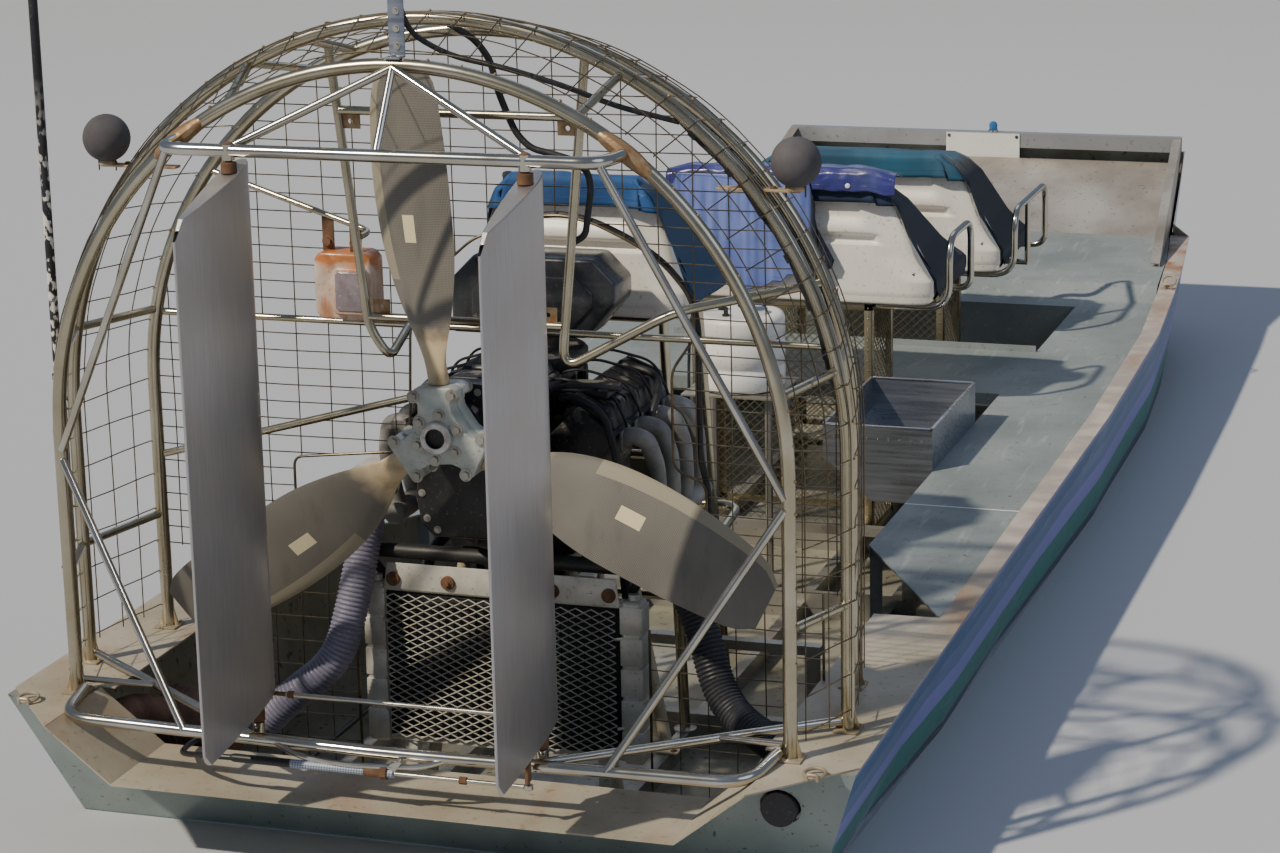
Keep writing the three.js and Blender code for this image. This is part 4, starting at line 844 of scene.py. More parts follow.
def low_mesh():
    whole = bmesh.new()
    inner, outer, foot, top = (LOW_MESH[key] for key in ("inner", "outer", "foot", "top"))
    for side, cut in HOSE_CUTS.items():
        x = inner
        while x < outer:
            for a, b in outside(cut, x, 0, foot, top):
                middle = (side * (x + 0.003), FRONT_Y - 0.002, (a + b) / 2)
                sweep(whole, [(side * x, FRONT_Y, a), middle, (side * x, FRONT_Y, b)], MESH_WIRE, 5)
            x += LOW_MESH["across"]
        z = foot + 0.01
        while z < top:
            for a, b in outside(cut, z, 1, inner, outer):
                middle = (side * (a + b) / 2, FRONT_Y + 0.003, z - 0.003)
                sweep(whole, [(side * a, FRONT_Y + 0.003, z), middle, (side * b, FRONT_Y + 0.003, z)],
                    MESH_WIRE, 5)
            z += LOW_MESH["up"]
        for x in (inner, outer):
            ends = (foot, cut[0][1]) if cut[0][0] < x < cut[1][0] else (foot, top + 0.01)
            bar(whole, (side * x, FRONT_Y, ends[0]), (side * x, FRONT_Y, ends[1]), EDGE_ROD, 8)
    return whole


finished("low_mesh_wires", low_mesh(), WIRE, slot="wire")

# %% [markdown]
# Inside the cage's top hangs a lighter frame: two rails under the roof, a leg down from
# each, one bent forward to the brace and one out to the front hoop, and two cross tubes
# between the legs. It has flat tabs with holes, where things were bolted.
# %% Inner frame
INNER_X, INNER_Y, INNER_TUBE, INNER_CROSS = 0.37, 0.17, 0.013, 2.152
INNER_LOW_X, INNER_LOW = 0.285, 1.578
BRACE_Y, BRACE_Z = 0.358, 1.515


def inner_frame():
    whole = bmesh.new()

    def roof(name):
        y, radius = HOOPS[name]
        return y, CAGE_AXIS + math.sqrt(radius ** 2 - INNER_X ** 2)

    (middle_y, middle_z), (front_y, front_z) = roof("middle"), roof("front")
    hang = (middle_z + front_z) / 2
    for side in (-1, 1):
        start, end = Vector((side * INNER_X, middle_y, middle_z)), Vector((side * INNER_X, front_y, front_z))
        run = (end - start).normalized() * TUBE_FACE
        bar(whole, start + run, end - run, INNER_TUBE)
    tube(whole, [(-INNER_X, INNER_Y, hang), (-INNER_LOW_X, INNER_Y, 1.55), (-0.226, INNER_Y, 1.462),
        (-0.24, BRACE_Y, BRACE_Z)], INNER_TUBE, 0.045)
    tube(whole, [(INNER_X, INNER_Y, hang), (INNER_LOW_X - 0.004, INNER_Y, 1.455), (0.604, INNER_Y, 1.634),
                 (0.965, 0.34, 1.695)],
         INNER_TUBE, 0.07)
    bar(whole, (-INNER_X + 0.015, INNER_Y, INNER_CROSS), (INNER_X - 0.015, INNER_Y, INNER_CROSS),
        INNER_TUBE - 0.001)
    bar(whole, (-INNER_LOW_X, INNER_Y, INNER_LOW), (INNER_LOW_X, INNER_Y, INNER_LOW), INNER_TUBE - 0.001)
    reach = math.sqrt(HOOPS["front"][1] ** 2 - (BRACE_Z - CAGE_AXIS) ** 2)
    bar(whole, (-reach, BRACE_Y, BRACE_Z), (reach, BRACE_Y, BRACE_Z), INNER_TUBE - 0.003)
    bar(whole, (-1.027, 0.35, 1.09), (-0.13, 0.25, 1.35), INNER_TUBE - 0.002)
    tube(whole, [(-0.8375, 0.35, 1.94), (-0.302, 0.245, 1.803), (-0.302, 0.18, 1.8)], 0.009, 0.03, 12)
    return whole


finished("inner_frame_tubes", inner_frame(), STAINLESS, "cage_inner_frame", slot="stainless")


def holed_tab(whole, x, z, y, wide=0.05, tall=0.04, thick=0.005, hole=0.007):
    """A small plate whose outline is bridged to the circle of its hole, and then thickened."""
    part = bmesh.new()
    bmesh.ops.create_circle(part, cap_ends=False, radius=hole, segments=16,
        matrix=Matrix.Rotation(math.pi / 2, 4, "X"))
    corners = [part.verts.new((a * wide / 2, 0, b * tall / 2)) for a,
        b in ((-1, -1), (1, -1), (1, 1), (-1, 1))]
    outer = [part.edges.new((corners[i], corners[(i + 1) % 4])) for i in range(4)]
    bmesh.ops.subdivide_edges(part, edges=outer, cuts=3)
    bmesh.ops.bridge_loops(part, edges=part.edges[:])
    bmesh.ops.solidify(part, geom=part.faces[:], thickness=thick)
    bmesh.ops.recalc_face_normals(part, faces=part.faces)
    join(whole, part, Matrix.Translation((x, y, z)))


tabs = bmesh.new()
for side in (-1, 1):
    holed_tab(tabs, side * 0.315, INNER_CROSS - 0.03, INNER_Y, 0.058)
    holed_tab(tabs, side * 0.245, INNER_LOW + 0.03, INNER_Y)
finished("inner_frame_tabs", tabs, WELD, slot="stainless")

# %% [markdown]
# A bent top bar and a bent low bar behind the cage carry the rudders. They are polished
# stainless tube with thin stays, and thick welds join the top bar to the rear hoop. The
# rudder pins turn in short bosses.
# %% Rudder frames
RUDDER_X, RUDDER_Y, RUDDER_TOP = 0.406, -0.41, 2.098
TOP_BAR, LOW_BAR = 2.135, 0.556
BOSS, PIN = 0.017, 0.009
RAIL_TUBE, STAY_TUBE = 0.017, 0.0115
REAR_Y, REAR_R = HOOPS["rear"]
TOP_BAR_END = math.sqrt(REAR_R ** 2 - (TOP_BAR - CAGE_AXIS) ** 2)


def ring_boss(whole, x, y, low, high, outer, inner, steps=24):
    turned(whole, [(inner, low), (outer - 0.001, low), (outer, low + 0.001), (outer, high - 0.001),
                   (outer - 0.001, high), (inner, high), (inner, low)], (x, y, 0), "z", steps)


def rudder_frames():
    top, low = bmesh.new(), bmesh.new()
    end = TOP_BAR_END
    tube(top, [(-end + 0.004, REAR_Y - 0.018, TOP_BAR), (-end + 0.02, RUDDER_Y, TOP_BAR),
        (end - 0.02, RUDDER_Y, TOP_BAR), (end - 0.004, REAR_Y - 0.018, TOP_BAR)], RAIL_TUBE, 0.11, 16, 8)
    apex = Vector((0, REAR_Y - 0.018, CAGE_AXIS + REAR_R - 0.004))
    for x in (-RUDDER_X, 0, RUDDER_X):
        bar(top, apex, (x, RUDDER_Y + 0.014, TOP_BAR + 0.006), STAY_TUBE)
    z = LOW_BAR + 0.018
    tube(low, [(-REAR_R + 0.03, REAR_Y - 0.018, z), (-REAR_R + 0.06, RUDDER_Y - 0.04, z - 0.018),
               (0, RUDDER_Y - 0.075, z - 0.018), (REAR_R - 0.06, RUDDER_Y - 0.04, z - 0.018),
               (REAR_R - 0.03, REAR_Y - 0.018, z)], RAIL_TUBE, 0.12, 16, 8)
    for side in (-1, 1):
        bar(top, (side * 0.59, RUDDER_Y + 0.02, TOP_BAR), (side * (REAR_R - 0.008), REAR_Y - 0.012, 1.26),
            STAY_TUBE)
        ring_boss(top, side * RUDDER_X, RUDDER_Y, TOP_BAR - 0.025, TOP_BAR + 0.018, BOSS, PIN + 0.001)
        bar(low, (side * 1.105, 0, z + 0.006), (side * RUDDER_X, RUDDER_Y - 0.045, z - 0.018), 0.013)
        bar(low, (side * 1.016, REAR_Y + 0.004, z + 0.02), (side * 0.83, -0.192, z), 0.009)
        bar(low, (side * 0.6, RUDDER_Y - 0.06, z - 0.018), (side * (REAR_R - 0.008), REAR_Y - 0.012, 1.23),
            STAY_TUBE)
        ring_boss(low, side * RUDDER_X, RUDDER_Y, LOW_BAR - 0.012, LOW_BAR + 0.025, BOSS, PIN + 0.001)
        box(low, (side * RUDDER_X - 0.018, side * RUDDER_X + 0.018), (RUDDER_Y - 0.075, RUDDER_Y - 0.012),
            (LOW_BAR - 0.012, LOW_BAR - 0.004), 0.001)
    slab(low, [(0.028, LOW_BAR - 0.006), (0.056, LOW_BAR - 0.006), (0.022, 0.504), (-0.006, 0.504)],
         RUDDER_Y - 0.115, RUDDER_Y - 0.11, "y", 0.001)
    bar(low, (0.042, RUDDER_Y - 0.07, LOW_BAR - 0.004), (0.042, RUDDER_Y - 0.113, LOW_BAR - 0.012), 0.006, 10)
    tube(low, [(-0.33, RUDDER_Y - 0.07, z - 0.018), (-0.25, RUDDER_Y - 0.1, z - 0.04),
        (-0.1, RUDDER_Y - 0.12, z - 0.045), (0.1, RUDDER_Y - 0.1, z - 0.04),
        (0.18, RUDDER_Y - 0.07, z - 0.018)], 0.008, 0.08, 10)
    return top, low


frame_top, frame_low = rudder_frames()
finished("rudder_frame_top_tubes", frame_top, BRIGHT_STEEL, "rudder_frame_top", slot="stainless")
finished("rudder_frame_low_tubes", frame_low, BRIGHT_STEEL, "rudder_frame_low", slot="stainless")


def gussets():
    """The thick welds where the top bar meets the rear hoop."""
    whole = bmesh.new()
    base = math.degrees(math.atan2(TOP_BAR - CAGE_AXIS, TOP_BAR_END))
    for side in (-1, 1):
        route = []
        for i in range(9):
            x, z = around(REAR_R, base - 5 + i * 1.25)
            route.append(Vector((side * x, REAR_Y - 0.006, z)))
        sweep(whole, route, [0.012, 0.019, 0.022, 0.024, 0.0245, 0.024, 0.022, 0.019, 0.012], 10)
    return whole


def foot_ribs():
    """Small triangular plates that stiffen each hoop foot on both sides of the tube."""
    whole = bmesh.new()
    low, high, near, far = FOOT_HIGH - 0.0005, 0.625, 0.015, 0.034
    for y, radius in HOOPS.values():
        for foot in (-radius, radius):
            for way in (-1, 1):
                slab(whole, [(foot + way * near, low), (foot + way * far, low), (foot + way * near, high)],
                     y - 0.003, y + 0.003, "y", 0.001)
    return whole


finished("weld_gussets", gussets(), WELD, slot="stainless")
finished("hoop_foot_ribs", foot_ribs(), STAINLESS, slot="stainless")
print("cage done")

# %% [markdown]
# The rudders are hollow aerofoils folded from aluminium sheet: round at the leading
# edge, fat at the pivot and thin at the trailing edge. The section is extruded from
# below the rudder to above it, and the sloping top, the sloping foot and the clipped
# corner are then cut with planes, which keeps the folded skin smooth.
# %% Rudder blades
RUDDER_SECTION = [(0.0, 0.092), (0.010, 0.088), (0.018, 0.077), (0.0245, 0.06), (0.028, 0.038),
    (0.0295, 0.012), (0.0295, -0.02), (0.028, -0.06), (0.025, -0.11), (0.0205, -0.17), (0.015, -0.23),
    (0.009, -0.285), (0.0035, -0.335)]
RUDDER_CUTS = [((-0.325, 2.098), (-0.70, 2.01)), ((-0.70, 2.01), (-0.745, 1.96)),
    ((-0.745, 0.60), (-0.715, 0.566)), ((-0.715, 0.566), (-0.318, 0.652))]
RUDDER_MIDDLE = Vector((0, -0.12, 1.3))
SKIN_LOW, SKIN_STEP, SKIN_STEPS = 0.5, 0.165, 10
FOOT_AT_PIN = 0.652 - (0.41 - 0.318) * 0.086 / 0.397
TIE_Y, TIE_Z = -0.332, 0.636
PUSH_Y, PUSH_Z = -0.52, 0.515


def rudder_skin(x):
    part = bmesh.new()
    ring = RUDDER_SECTION + [(-a, b) for a, b in reversed(RUDDER_SECTION[1:])]
    face = part.faces.new([part.verts.new((a, b, SKIN_LOW)) for a, b in ring])
    for _ in range(SKIN_STEPS):
        grown = bmesh.ops.extrude_face_region(part, geom=[face])
        bmesh.ops.translate(part, vec=(0, 0, SKIN_STEP), verts=only(bmesh.types.BMVert, grown))
        face = only(bmesh.types.BMFace, grown)[0]
    bmesh.ops.holes_fill(part, edges=[e for e in part.edges if e.is_boundary], sides=0)
    for (ya, za), (yb, zb) in RUDDER_CUTS:
        point = Vector((0, ya - RUDDER_Y, za))
        outward = Vector((0, yb - ya, zb - za)).cross(Vector((1, 0, 0)))
        if (RUDDER_MIDDLE - point).dot(outward) > 0:
            outward = -outward
        bmesh.ops.bisect_plane(part, geom=part.verts[:] + part.edges[:] + part.faces[:], dist=1e-5,
            plane_co=point, plane_no=outward, clear_outer=True)
        bmesh.ops.holes_fill(part, edges=[e for e in part.edges if e.is_boundary], sides=0)
    bmesh.ops.recalc_face_normals(part, faces=part.faces)
    whole = bmesh.new()
    join(whole, part, Matrix.Translation((x, RUDDER_Y, 0)))
    return whole


def rudder_pins(x, driven):
    """The pins, their collars and the tie rod's bolt, and on the driven side the push rod's arm."""
    whole = bmesh.new()
    foot = FOOT_AT_PIN
    bar(whole, (x, RUDDER_Y, LOW_BAR - 0.004), (x, RUDDER_Y, foot + 0.01), PIN, 16)
    bar(whole, (x, RUDDER_Y, RUDDER_TOP - 0.03), (x, RUDDER_Y, TOP_BAR + 0.004), PIN, 16)
    turned(whole, [(0, TOP_BAR + 0.022), (0.008, TOP_BAR + 0.022), (0.0125, TOP_BAR + 0.019),
        (0.0125, TOP_BAR + 0.004), (0, TOP_BAR + 0.004)], (x, RUDDER_Y, 0), "z", 16)
    turned(whole, [(0.009, RUDDER_TOP - 0.022), (0.021, RUDDER_TOP - 0.02), (0.021, RUDDER_TOP + 0.006),
                   (0.009, RUDDER_TOP + 0.009), (0.009, RUDDER_TOP - 0.022)], (x, RUDDER_Y, 0), "z", 20)
    turned(whole, [(0.009, LOW_BAR + 0.03), (0.019, LOW_BAR + 0.03), (0.019, foot + 0.004),
        (0.009, foot + 0.006), (0.009, LOW_BAR + 0.03)], (x, RUDDER_Y, 0), "z", 20)
    bar(whole, (x, TIE_Y, 0.624), (x, TIE_Y, 0.67), 0.005, 12)
    turned(whole, [(0, 0.6235), (0.009, 0.6235), (0.009, 0.619), (0, 0.619), (0, 0.6235)], (x, TIE_Y, 0), "z",
        6)
    if driven:
        box(whole, (x - 0.005, x + 0.005), (-0.534, -0.506), (0.529, 0.66), 0.002)
        bar(whole, (x, PUSH_Y, 0.5223), (x, PUSH_Y, 0.531), 0.005, 12)
    return whole


def rudder_rivets(x):
    """A row of flush rivets along the trailing edge, where the two skins meet."""
    head = bmesh.new()
    bmesh.ops.create_uvsphere(head, u_segments=10, v_segments=6, radius=0.0028)
    rivet = pattern(head)
    whole = bmesh.new()
    for side in (-1, 1):
        for i in range(14):
            place = Matrix.Translation((x + side * 0.0042, RUDDER_Y - 0.32, 0.66 + i * 0.095))
            stamp(whole, rivet, place @ Matrix.Diagonal((0.4, 1, 1, 1)))
    return whole


for rudder_name, side in (("rudder_port", -1), ("rudder_starboard", 1)):
    at = side * RUDDER_X
    skin = finished(f"{rudder_name}_skin", rudder_skin(at), RUDDER_SHEET, rudder_name, slot="bare_aluminium",
                    body=rudder_name, angle=28)
    edge = skin.modifiers.new("folded_edge", "BEVEL")
    edge.width, edge.segments = 0.0025, 2
    edge.limit_method, edge.angle_limit = "ANGLE", math.radians(50)
    finished(f"{rudder_name}_pins", rudder_pins(at, side > 0), RUST, slot="bare_aluminium", body=rudder_name)
    finished(f"{rudder_name}_rivets", rudder_rivets(at), MILL_ALUMINIUM, slot="bare_aluminium",
        body=rudder_name)
print("rudders at", RUDDER_X)

# %% [markdown]
# A tie rod with an eye at each end makes both rudders turn together, and a push rod in a
# black sheath moves the starboard one. The sheath's last part is pale with fine dark
# dots, drawn as a pattern that winds round its own length, and ends in a rusty clamp nut.
# %% Steering rods


def rod_eye(whole, x, y, z, hole=0.0054, outer=0.013):
    turned(whole, [(hole, -0.006), (outer - 0.002, -0.007), (outer, -0.005), (outer, 0.005),
        (outer - 0.002, 0.007), (hole, 0.006), (hole, -0.006)], (x, y, z), "z", 20)


def along_tie(whole, start, end, radius, sides):
    bar(whole, (start, TIE_Y, TIE_Z), (end, TIE_Y, TIE_Z), radius, sides)


def along_push(whole, start, end, radius, sides):
    bar(whole, (start, PUSH_Y, PUSH_Z), (end, PUSH_Y, PUSH_Z), radius, sides)


tie_tube, tie_eyes, push, push_nut = bmesh.new(), bmesh.new(), bmesh.new(), bmesh.new()
along_tie(tie_tube, -RUDDER_X + 0.05, RUDDER_X - 0.05, 0.007, 14)
for side in (-1, 1):
    along_tie(tie_eyes, side * (RUDDER_X - 0.0115), side * (RUDDER_X - 0.06), 0.0062, 12)
    along_tie(tie_eyes, side * (RUDDER_X - 0.055), side * (RUDDER_X - 0.072), 0.0105, 6)
    rod_eye(tie_eyes, side * RUDDER_X, TIE_Y, TIE_Z)
finished("tie_rod_tube", tie_tube, BRIGHT_STEEL, "tie_rod", slot="stainless", body="tie_rod")
finished("tie_rod_ends", tie_eyes, RUST, slot="stainless", body="tie_rod")

along_push(push, -0.09, RUDDER_X - 0.012, 0.006, 14)
rod_eye(push, RUDDER_X, PUSH_Y, PUSH_Z, 0.001)
along_push(push, RUDDER_X - 0.06, RUDDER_X - 0.078, 0.0095, 6)
finished("push_rod_tube", push, BRIGHT_STEEL, "steering_rod", slot="stainless", body="steering_rod")
along_push(push_nut, 0.215, 0.235, 0.0105, 6)
finished("push_rod_nut", push_nut, RUST, slot="stainless", body="steering_rod")

CABLE_ROUTE = [(-0.429, PUSH_Y, PUSH_Z), (-0.52, -0.52, 0.513), (-0.64, -0.42, 0.47), (-0.7, -0.26, 0.43),
               (-0.7, -0.16, 0.425), (-0.7, -0.04, 0.25), (-0.7, 0.06, 0.12), (-0.69, 0.5, 0.108),
               (-0.69, 1.05, 0.108), (-0.56, 1.42, 0.108), (-0.385, 1.563, 0.13), (-0.385, 1.563, 0.3),
               (-0.385, 1.563, 0.48)]
cable = bmesh.new()
tube(cable, CABLE_ROUTE, 0.008, 0.09, 12, 8)
sweep(cable, [(x, PUSH_Y, PUSH_Z) for x in (-0.44, -0.43, -0.06, 0.03)], [0.0085, 0.0118, 0.0118, 0.0118], 16)
DOTTED_FROM = -0.265


def dotted_sheath():
    made = Finish("sheath_black_and_dotted", 0.4, 0.0)
    turn = made.reckon("ARCTAN2", made.minus(made.axis("Z"), PUSH_Z), made.minus(made.axis("Y"), PUSH_Y))
    wind = made.plus(made.times(made.axis("X"), 130.0), made.times(turn, 0.159))
    round_it = made.reckon("FRACT", made.times(turn, 1.91))
    dots = made.times(made.below(made.reckon("FRACT", wind), 0.42), made.above(round_it, 0.45))
    pale = made.mix(dots, "#98a3b3", "#343843")
    near = made.times(made.above(made.axis("X"), DOTTED_FROM), made.below(made.axis("Y"), -0.5))
    return made.colour(made.mix(near, "#141518", pale))


finished("steering_cable_sheath", cable, dotted_sheath(), "steering_cable", slot="black_plastic")
clamp_nut = bmesh.new()
along_push(clamp_nut, -0.052, 0.006, 0.015, 14)
along_push(clamp_nut, -0.006, 0.012, 0.0195, 6)
finished("sheath_clamp_nut", clamp_nut, RUST, slot="stainless")
print("steering rods ready")

# %% [markdown]
# The propeller is carbon composite: three twisted blades with a round root that sits in
# the hub's clamp. Each blade is one loft. A section is drawn at the root, and its edge is
# extruded outwards and reshaped at each station, with chord, pitch and thickness blended
# smoothly between the design table's rows. Two attributes go with the vertices, the
# reach from the axis and the place across the chord, so that the weave, the cream
# leading-edge strip and the blank stickers all follow the twist.
# %% Propeller blades
TILT = math.radians(4.8)
# Rows: reach from the axis, chord, pitch in degrees, thickness, and how far the chord leads.
BLADE_TABLE = [(0.138, 0.074, 38, 0.052, 0.0), (0.205, 0.092, 34, 0.044, 0.004),
    (0.33, 0.2, 29, 0.034, 0.014), (0.47, 0.262, 24, 0.026, 0.018), (0.64, 0.272, 20, 0.020, 0.020),
    (0.82, 0.246, 16, 0.015, 0.014), (0.95, 0.2, 13, 0.011, 0.006), (0.998, 0.13, 12, 0.007, 0.0)]
BLADE_STEPS = 40
ROUND_ROOT, ROOT_BLEND = 0.24, 0.1
TWILL = 698.0
ARMS = (0, 120, 240)
AXIS_TURN = Matrix.Translation((0, 0, CAGE_AXIS)) @ Matrix.Rotation(-TILT, 4, "Y")


def blended(rows, at):
    """A table's values at a reach, on a smooth curve through its rows."""
    for i in range(len(rows) - 1):
        if at <= rows[i + 1][0]:
            break
    span = rows[i + 1][0] - rows[i][0]
    t = (at - rows[i][0]) / span
    before, after = rows[max(i - 1, 0)], rows[min(i + 2, len(rows) - 1)]
    made = []
    for k in range(1, 5):
        a, b = rows[i][k], rows[i + 1][k]
        slope_a = (b - before[k]) / max(rows[i + 1][0] - before[0], 1e-6) * span
        slope_b = (after[k] - a) / max(after[0] - rows[i][0], 1e-6) * span
        made.append((2 * t ** 3 - 3 * t ** 2 + 1) * a + (t ** 3 - 2 * t ** 2 + t) * slope_a
                    + (-2 * t ** 3 + 3 * t ** 2) * b + (t ** 3 - t ** 2) * slope_b)
    return made


def blade_section(at, count=28):
    """Points of an aerofoil section: chord share from nose to tail, and half thickness."""
    chord, pitch, thick, ahead = blended(BLADE_TABLE, at)
    angle = math.radians(pitch)
    points = []
    for i in range(count):
        turn = 2 * math.pi * i / count
        share = 0.5 * math.cos(turn)
        nose = share + 0.5
        profile = 0
        if 0 < i != count / 2:
            profile = 1.95 * math.sqrt(max(nose_shape(nose), 0)) * math.copysign(1, math.sin(turn))
        lift = thick * 0.5 * (profile * (1.0 if turn < math.pi else 0.72))
        round_root = max(0.0, min(1.0, (ROUND_ROOT - at) / ROOT_BLEND))
        lift = lift * (1 - round_root) + 0.5 * thick * math.sin(turn) * round_root
        along, across = share * chord + ahead, lift
        points.append((Vector((-along * math.cos(angle) - across * math.sin(angle),
                               along * math.sin(angle) - across * math.cos(angle), at)), share))
    return points


def nose_shape(nose):
    """Squared half thickness, 0 at the tail, fullest a third of the chord from the nose."""
    back = 1.0 - nose
    return (1.0 - (1.0 - min(nose / 0.67, 1.0)) ** 2) ** 1.6 * (1.0 - max(0.0,
        (0.33 - back) / 0.33) ** 2) / 3.8


def blade(turn):
    """One loft: the root's ring of edges is extruded, and its vertices are put on each section."""
    part = bmesh.new()
    reach_layer = part.verts.layers.float.new("reach")
    share_layer = part.verts.layers.float.new("share")
    root, tip = BLADE_TABLE[0][0], BLADE_TABLE[-1][0]
    stations = [root + (tip - root) * (i / BLADE_STEPS) for i in range(BLADE_STEPS + 1)]
    ring = []
    for point, share in blade_section(stations[0]):
        vert = part.verts.new(point)
        vert[reach_layer], vert[share_layer] = stations[0], share
        ring.append(vert)
    edges = [part.edges.new((ring[i], ring[(i + 1) % len(ring)])) for i in range(len(ring))]
    bmesh.ops.edgeloop_fill(part, edges=edges)
    for at in stations[1:]:
        new_edges = only(bmesh.types.BMEdge, bmesh.ops.extrude_edge_only(part, edges=edges))
        fresh = {v for e in new_edges for v in e.verts}
        links = {}
        for vert in fresh:
            for e in vert.link_edges:
                other = e.other_vert(vert)
                if other not in fresh:
                    links[other] = vert
        ring = [links[v] for v in ring]
        for vert, (point, share) in zip(ring, blade_section(at)):
            vert.co = point
            vert[reach_layer], vert[share_layer] = at, share
        edges = [e for e in new_edges if e.verts[0] in fresh and e.verts[1] in fresh]
    bmesh.ops.edgeloop_fill(part, edges=edges)
    part.transform(AXIS_TURN @ Matrix.Rotation(turn, 4, "Y"))
    bmesh.ops.recalc_face_normals(part, faces=part.faces)
    return part


def blade_finish():
    made = Finish("carbon_twill_sanded", 0.5, 0.0, Coat_Weight=0.15, Coat_Roughness=0.4)
    reach, share = made.attribute("reach"), made.attribute("share")
    across = made.times(share, 0.24)
    # The cloth's ribs show 9 mm apart in the sanded face: 698 is a full turn over 9 mm.
    diagonal, counter = made.plus(reach, across), made.minus(reach, across)
    twill = made.times(made.reckon("SINE", made.times(diagonal, TWILL)),
        made.reckon("SINE", made.times(counter, TWILL)))
    weave = made.ramp(twill, -0.6, 0.6)
    cloth = made.mix(weave, "#4d4a45", "#77736a")
    soiled = made.mix(made.times(made.noise(0.3, 0.35, 0.7), 0.45), cloth, "#8a8578")
    streak = made.noise(0.05, 0.55, 0.75, (1.0, 1.0, 0.2))
    soiled = made.mix(made.times(streak, 0.3), soiled, "#45423c")
    edge_width = made.ramp(reach, 0.3, 0.95, 0.30, 0.40)
    strip = made.above(share, edge_width)
    strip = made.times(strip, made.above(reach, 0.42))
    colour = made.mix(strip, soiled, "#958d79")
    root = made.ramp(made.plus(reach, made.times(made.noise(0.04, 0.0, 1.0), 0.05)), 0.33, 0.27)
    stained = made.mix(made.noise(0.05, 0.5, 0.85), "#c4b18d", "#8d7250")
    colour = made.mix(root, colour, stained)
    in_reach = made.times(made.above(reach, 0.525), made.below(reach, 0.60))
    in_share = made.times(made.above(share, -0.02), made.below(share, 0.13))
    sticker = made.times(in_reach, in_share)
    made.colour(made.mix(sticker, colour, "#dccfa6"))
    made.link("Roughness", made.ramp(made.plus(weave, made.noise(0.1, 0.3, 0.7)), 0, 2, 0.38, 0.6))
    return made.bump(weave, 0.00025)


BLADE_FINISH = blade_finish()
for arm, blade_name in zip(ARMS, "abc"):
    finished(f"blade_{blade_name}", blade(math.radians(arm)), BLADE_FINISH, f"propeller_blade_{blade_name}",
             slot="composite", body="propeller", angle=50)
print("blades 3, radius", BLADE_TABLE[-1][0])

# %% [markdown]
# The hub is a cast and machined aluminium clamp of two halves. Each arm ends in two ears
# whose bolts squeeze the round root of a blade. The outline is drawn once for one arm and
# turned three times; the two halves are slabs with a thin parting line between them, and
# six bolts stand round the bored nose.
# %% Propeller hub
HUB_BACK, HUB_FRONT, HUB_PART = 0.05, -0.06, -0.004
HUB_BOLT = 1.5
NOSE_BORE = 0.028


def hub_outline():
    arm = [(-0.05, 0.066), (-0.047, 0.094), (-0.068, 0.104), (-0.068, 0.126), (-0.05, 0.136), (0.05, 0.136),
           (0.068, 0.126), (0.068, 0.104), (0.047, 0.094), (0.05, 0.066)]
    points = []
    for turn in ARMS:
        angle = math.radians(turn)
        for x, z in arm:
            points.append((x * math.cos(angle) + z * math.sin(angle), z * math.cos(angle) - x
                * math.sin(angle)))
    return points


def hub():
    casting, bolts, ring = bmesh.new(), bmesh.new(), bmesh.new()
    outline = hub_outline()
    slab(casting, outline, HUB_PART + 0.001, HUB_BACK, "y", 0.004)
    slab(casting, outline, HUB_FRONT, HUB_PART - 0.001, "y", 0.004)
    slab(casting, [(x * 0.9, z * 0.9) for x, z in outline], -0.02, 0.02, "y")
    turned(casting, [(NOSE_BORE, -0.077), (0.042, -0.077), (0.045, -0.074), (0.046, -0.05),
        (NOSE_BORE, -0.05), (NOSE_BORE, -0.077)], (0, 0, 0), "y", 40)
    turned(casting, [(0, 0.045), (0.062, 0.045), (0.062, 0.06), (0.038, 0.062), (0.038, 0.0947), (0, 0.0947)],
           (0, 0, 0), "y", 40)
    for turn in ARMS:
        angle = math.radians(turn)
        out = Vector((math.sin(angle), 0, math.cos(angle)))
        across = Vector((math.cos(angle), 0, -math.sin(angle)))
        for side in (-1, 1):
            at = out * 0.115 + across * (side * 0.056)
            for face, way in ((HUB_FRONT, -1), (HUB_BACK, 1)):
                stamp(bolts, BOLT, aimed(at + Vector((0, face, 0)), (0, way, 0), HUB_BOLT))
    for i in range(6):
        angle = math.radians(60 * i + 18)
        at = Vector((0.063 * math.cos(angle), HUB_FRONT, 0.063 * math.sin(angle)))
        stamp(bolts, BOLT, aimed(at, (0, -1, 0), HUB_BOLT))
    turned(ring, [(NOSE_BORE + 0.0005, -0.0785), (0.034, -0.0796), (0.041, -0.0788), (0.0425, -0.077),
                  (NOSE_BORE + 0.0005, -0.077), (NOSE_BORE + 0.0005, -0.0785)], (0, 0, 0), "y", 40)
    for piece in (casting, bolts, ring):
        piece.transform(AXIS_TURN)
    return casting, bolts, ring


RING_DEPOSIT = worn("hub_ring_deposit", "#e4e2dc", "#a79d92", (0.6, 0.85), 0.2, 0.03, 0.004, "#7b746c",
    dent=0.0012)
hub_casting, hub_bolts, hub_ring = hub()
finished("hub_casting", hub_casting, CAST_ALUMINIUM, "propeller_hub", slot="cast_aluminium", body="propeller",
    angle=30)
finished("hub_bolts", hub_bolts, MILL_ALUMINIUM, slot="cast_aluminium", body="propeller")
finished("hub_nose_ring", hub_ring, RING_DEPOSIT, slot="cast_aluminium", body="propeller")
bore = bmesh.new()
turned(bore, [(0, -0.0605), (NOSE_BORE + 0.0002, -0.0605), (NOSE_BORE + 0.0002, -0.0765),
    (NOSE_BORE - 0.001, -0.0765), (NOSE_BORE - 0.001, -0.062), (0, -0.062)], (0, 0, 0), "y", 24)
bore.transform(AXIS_TURN)
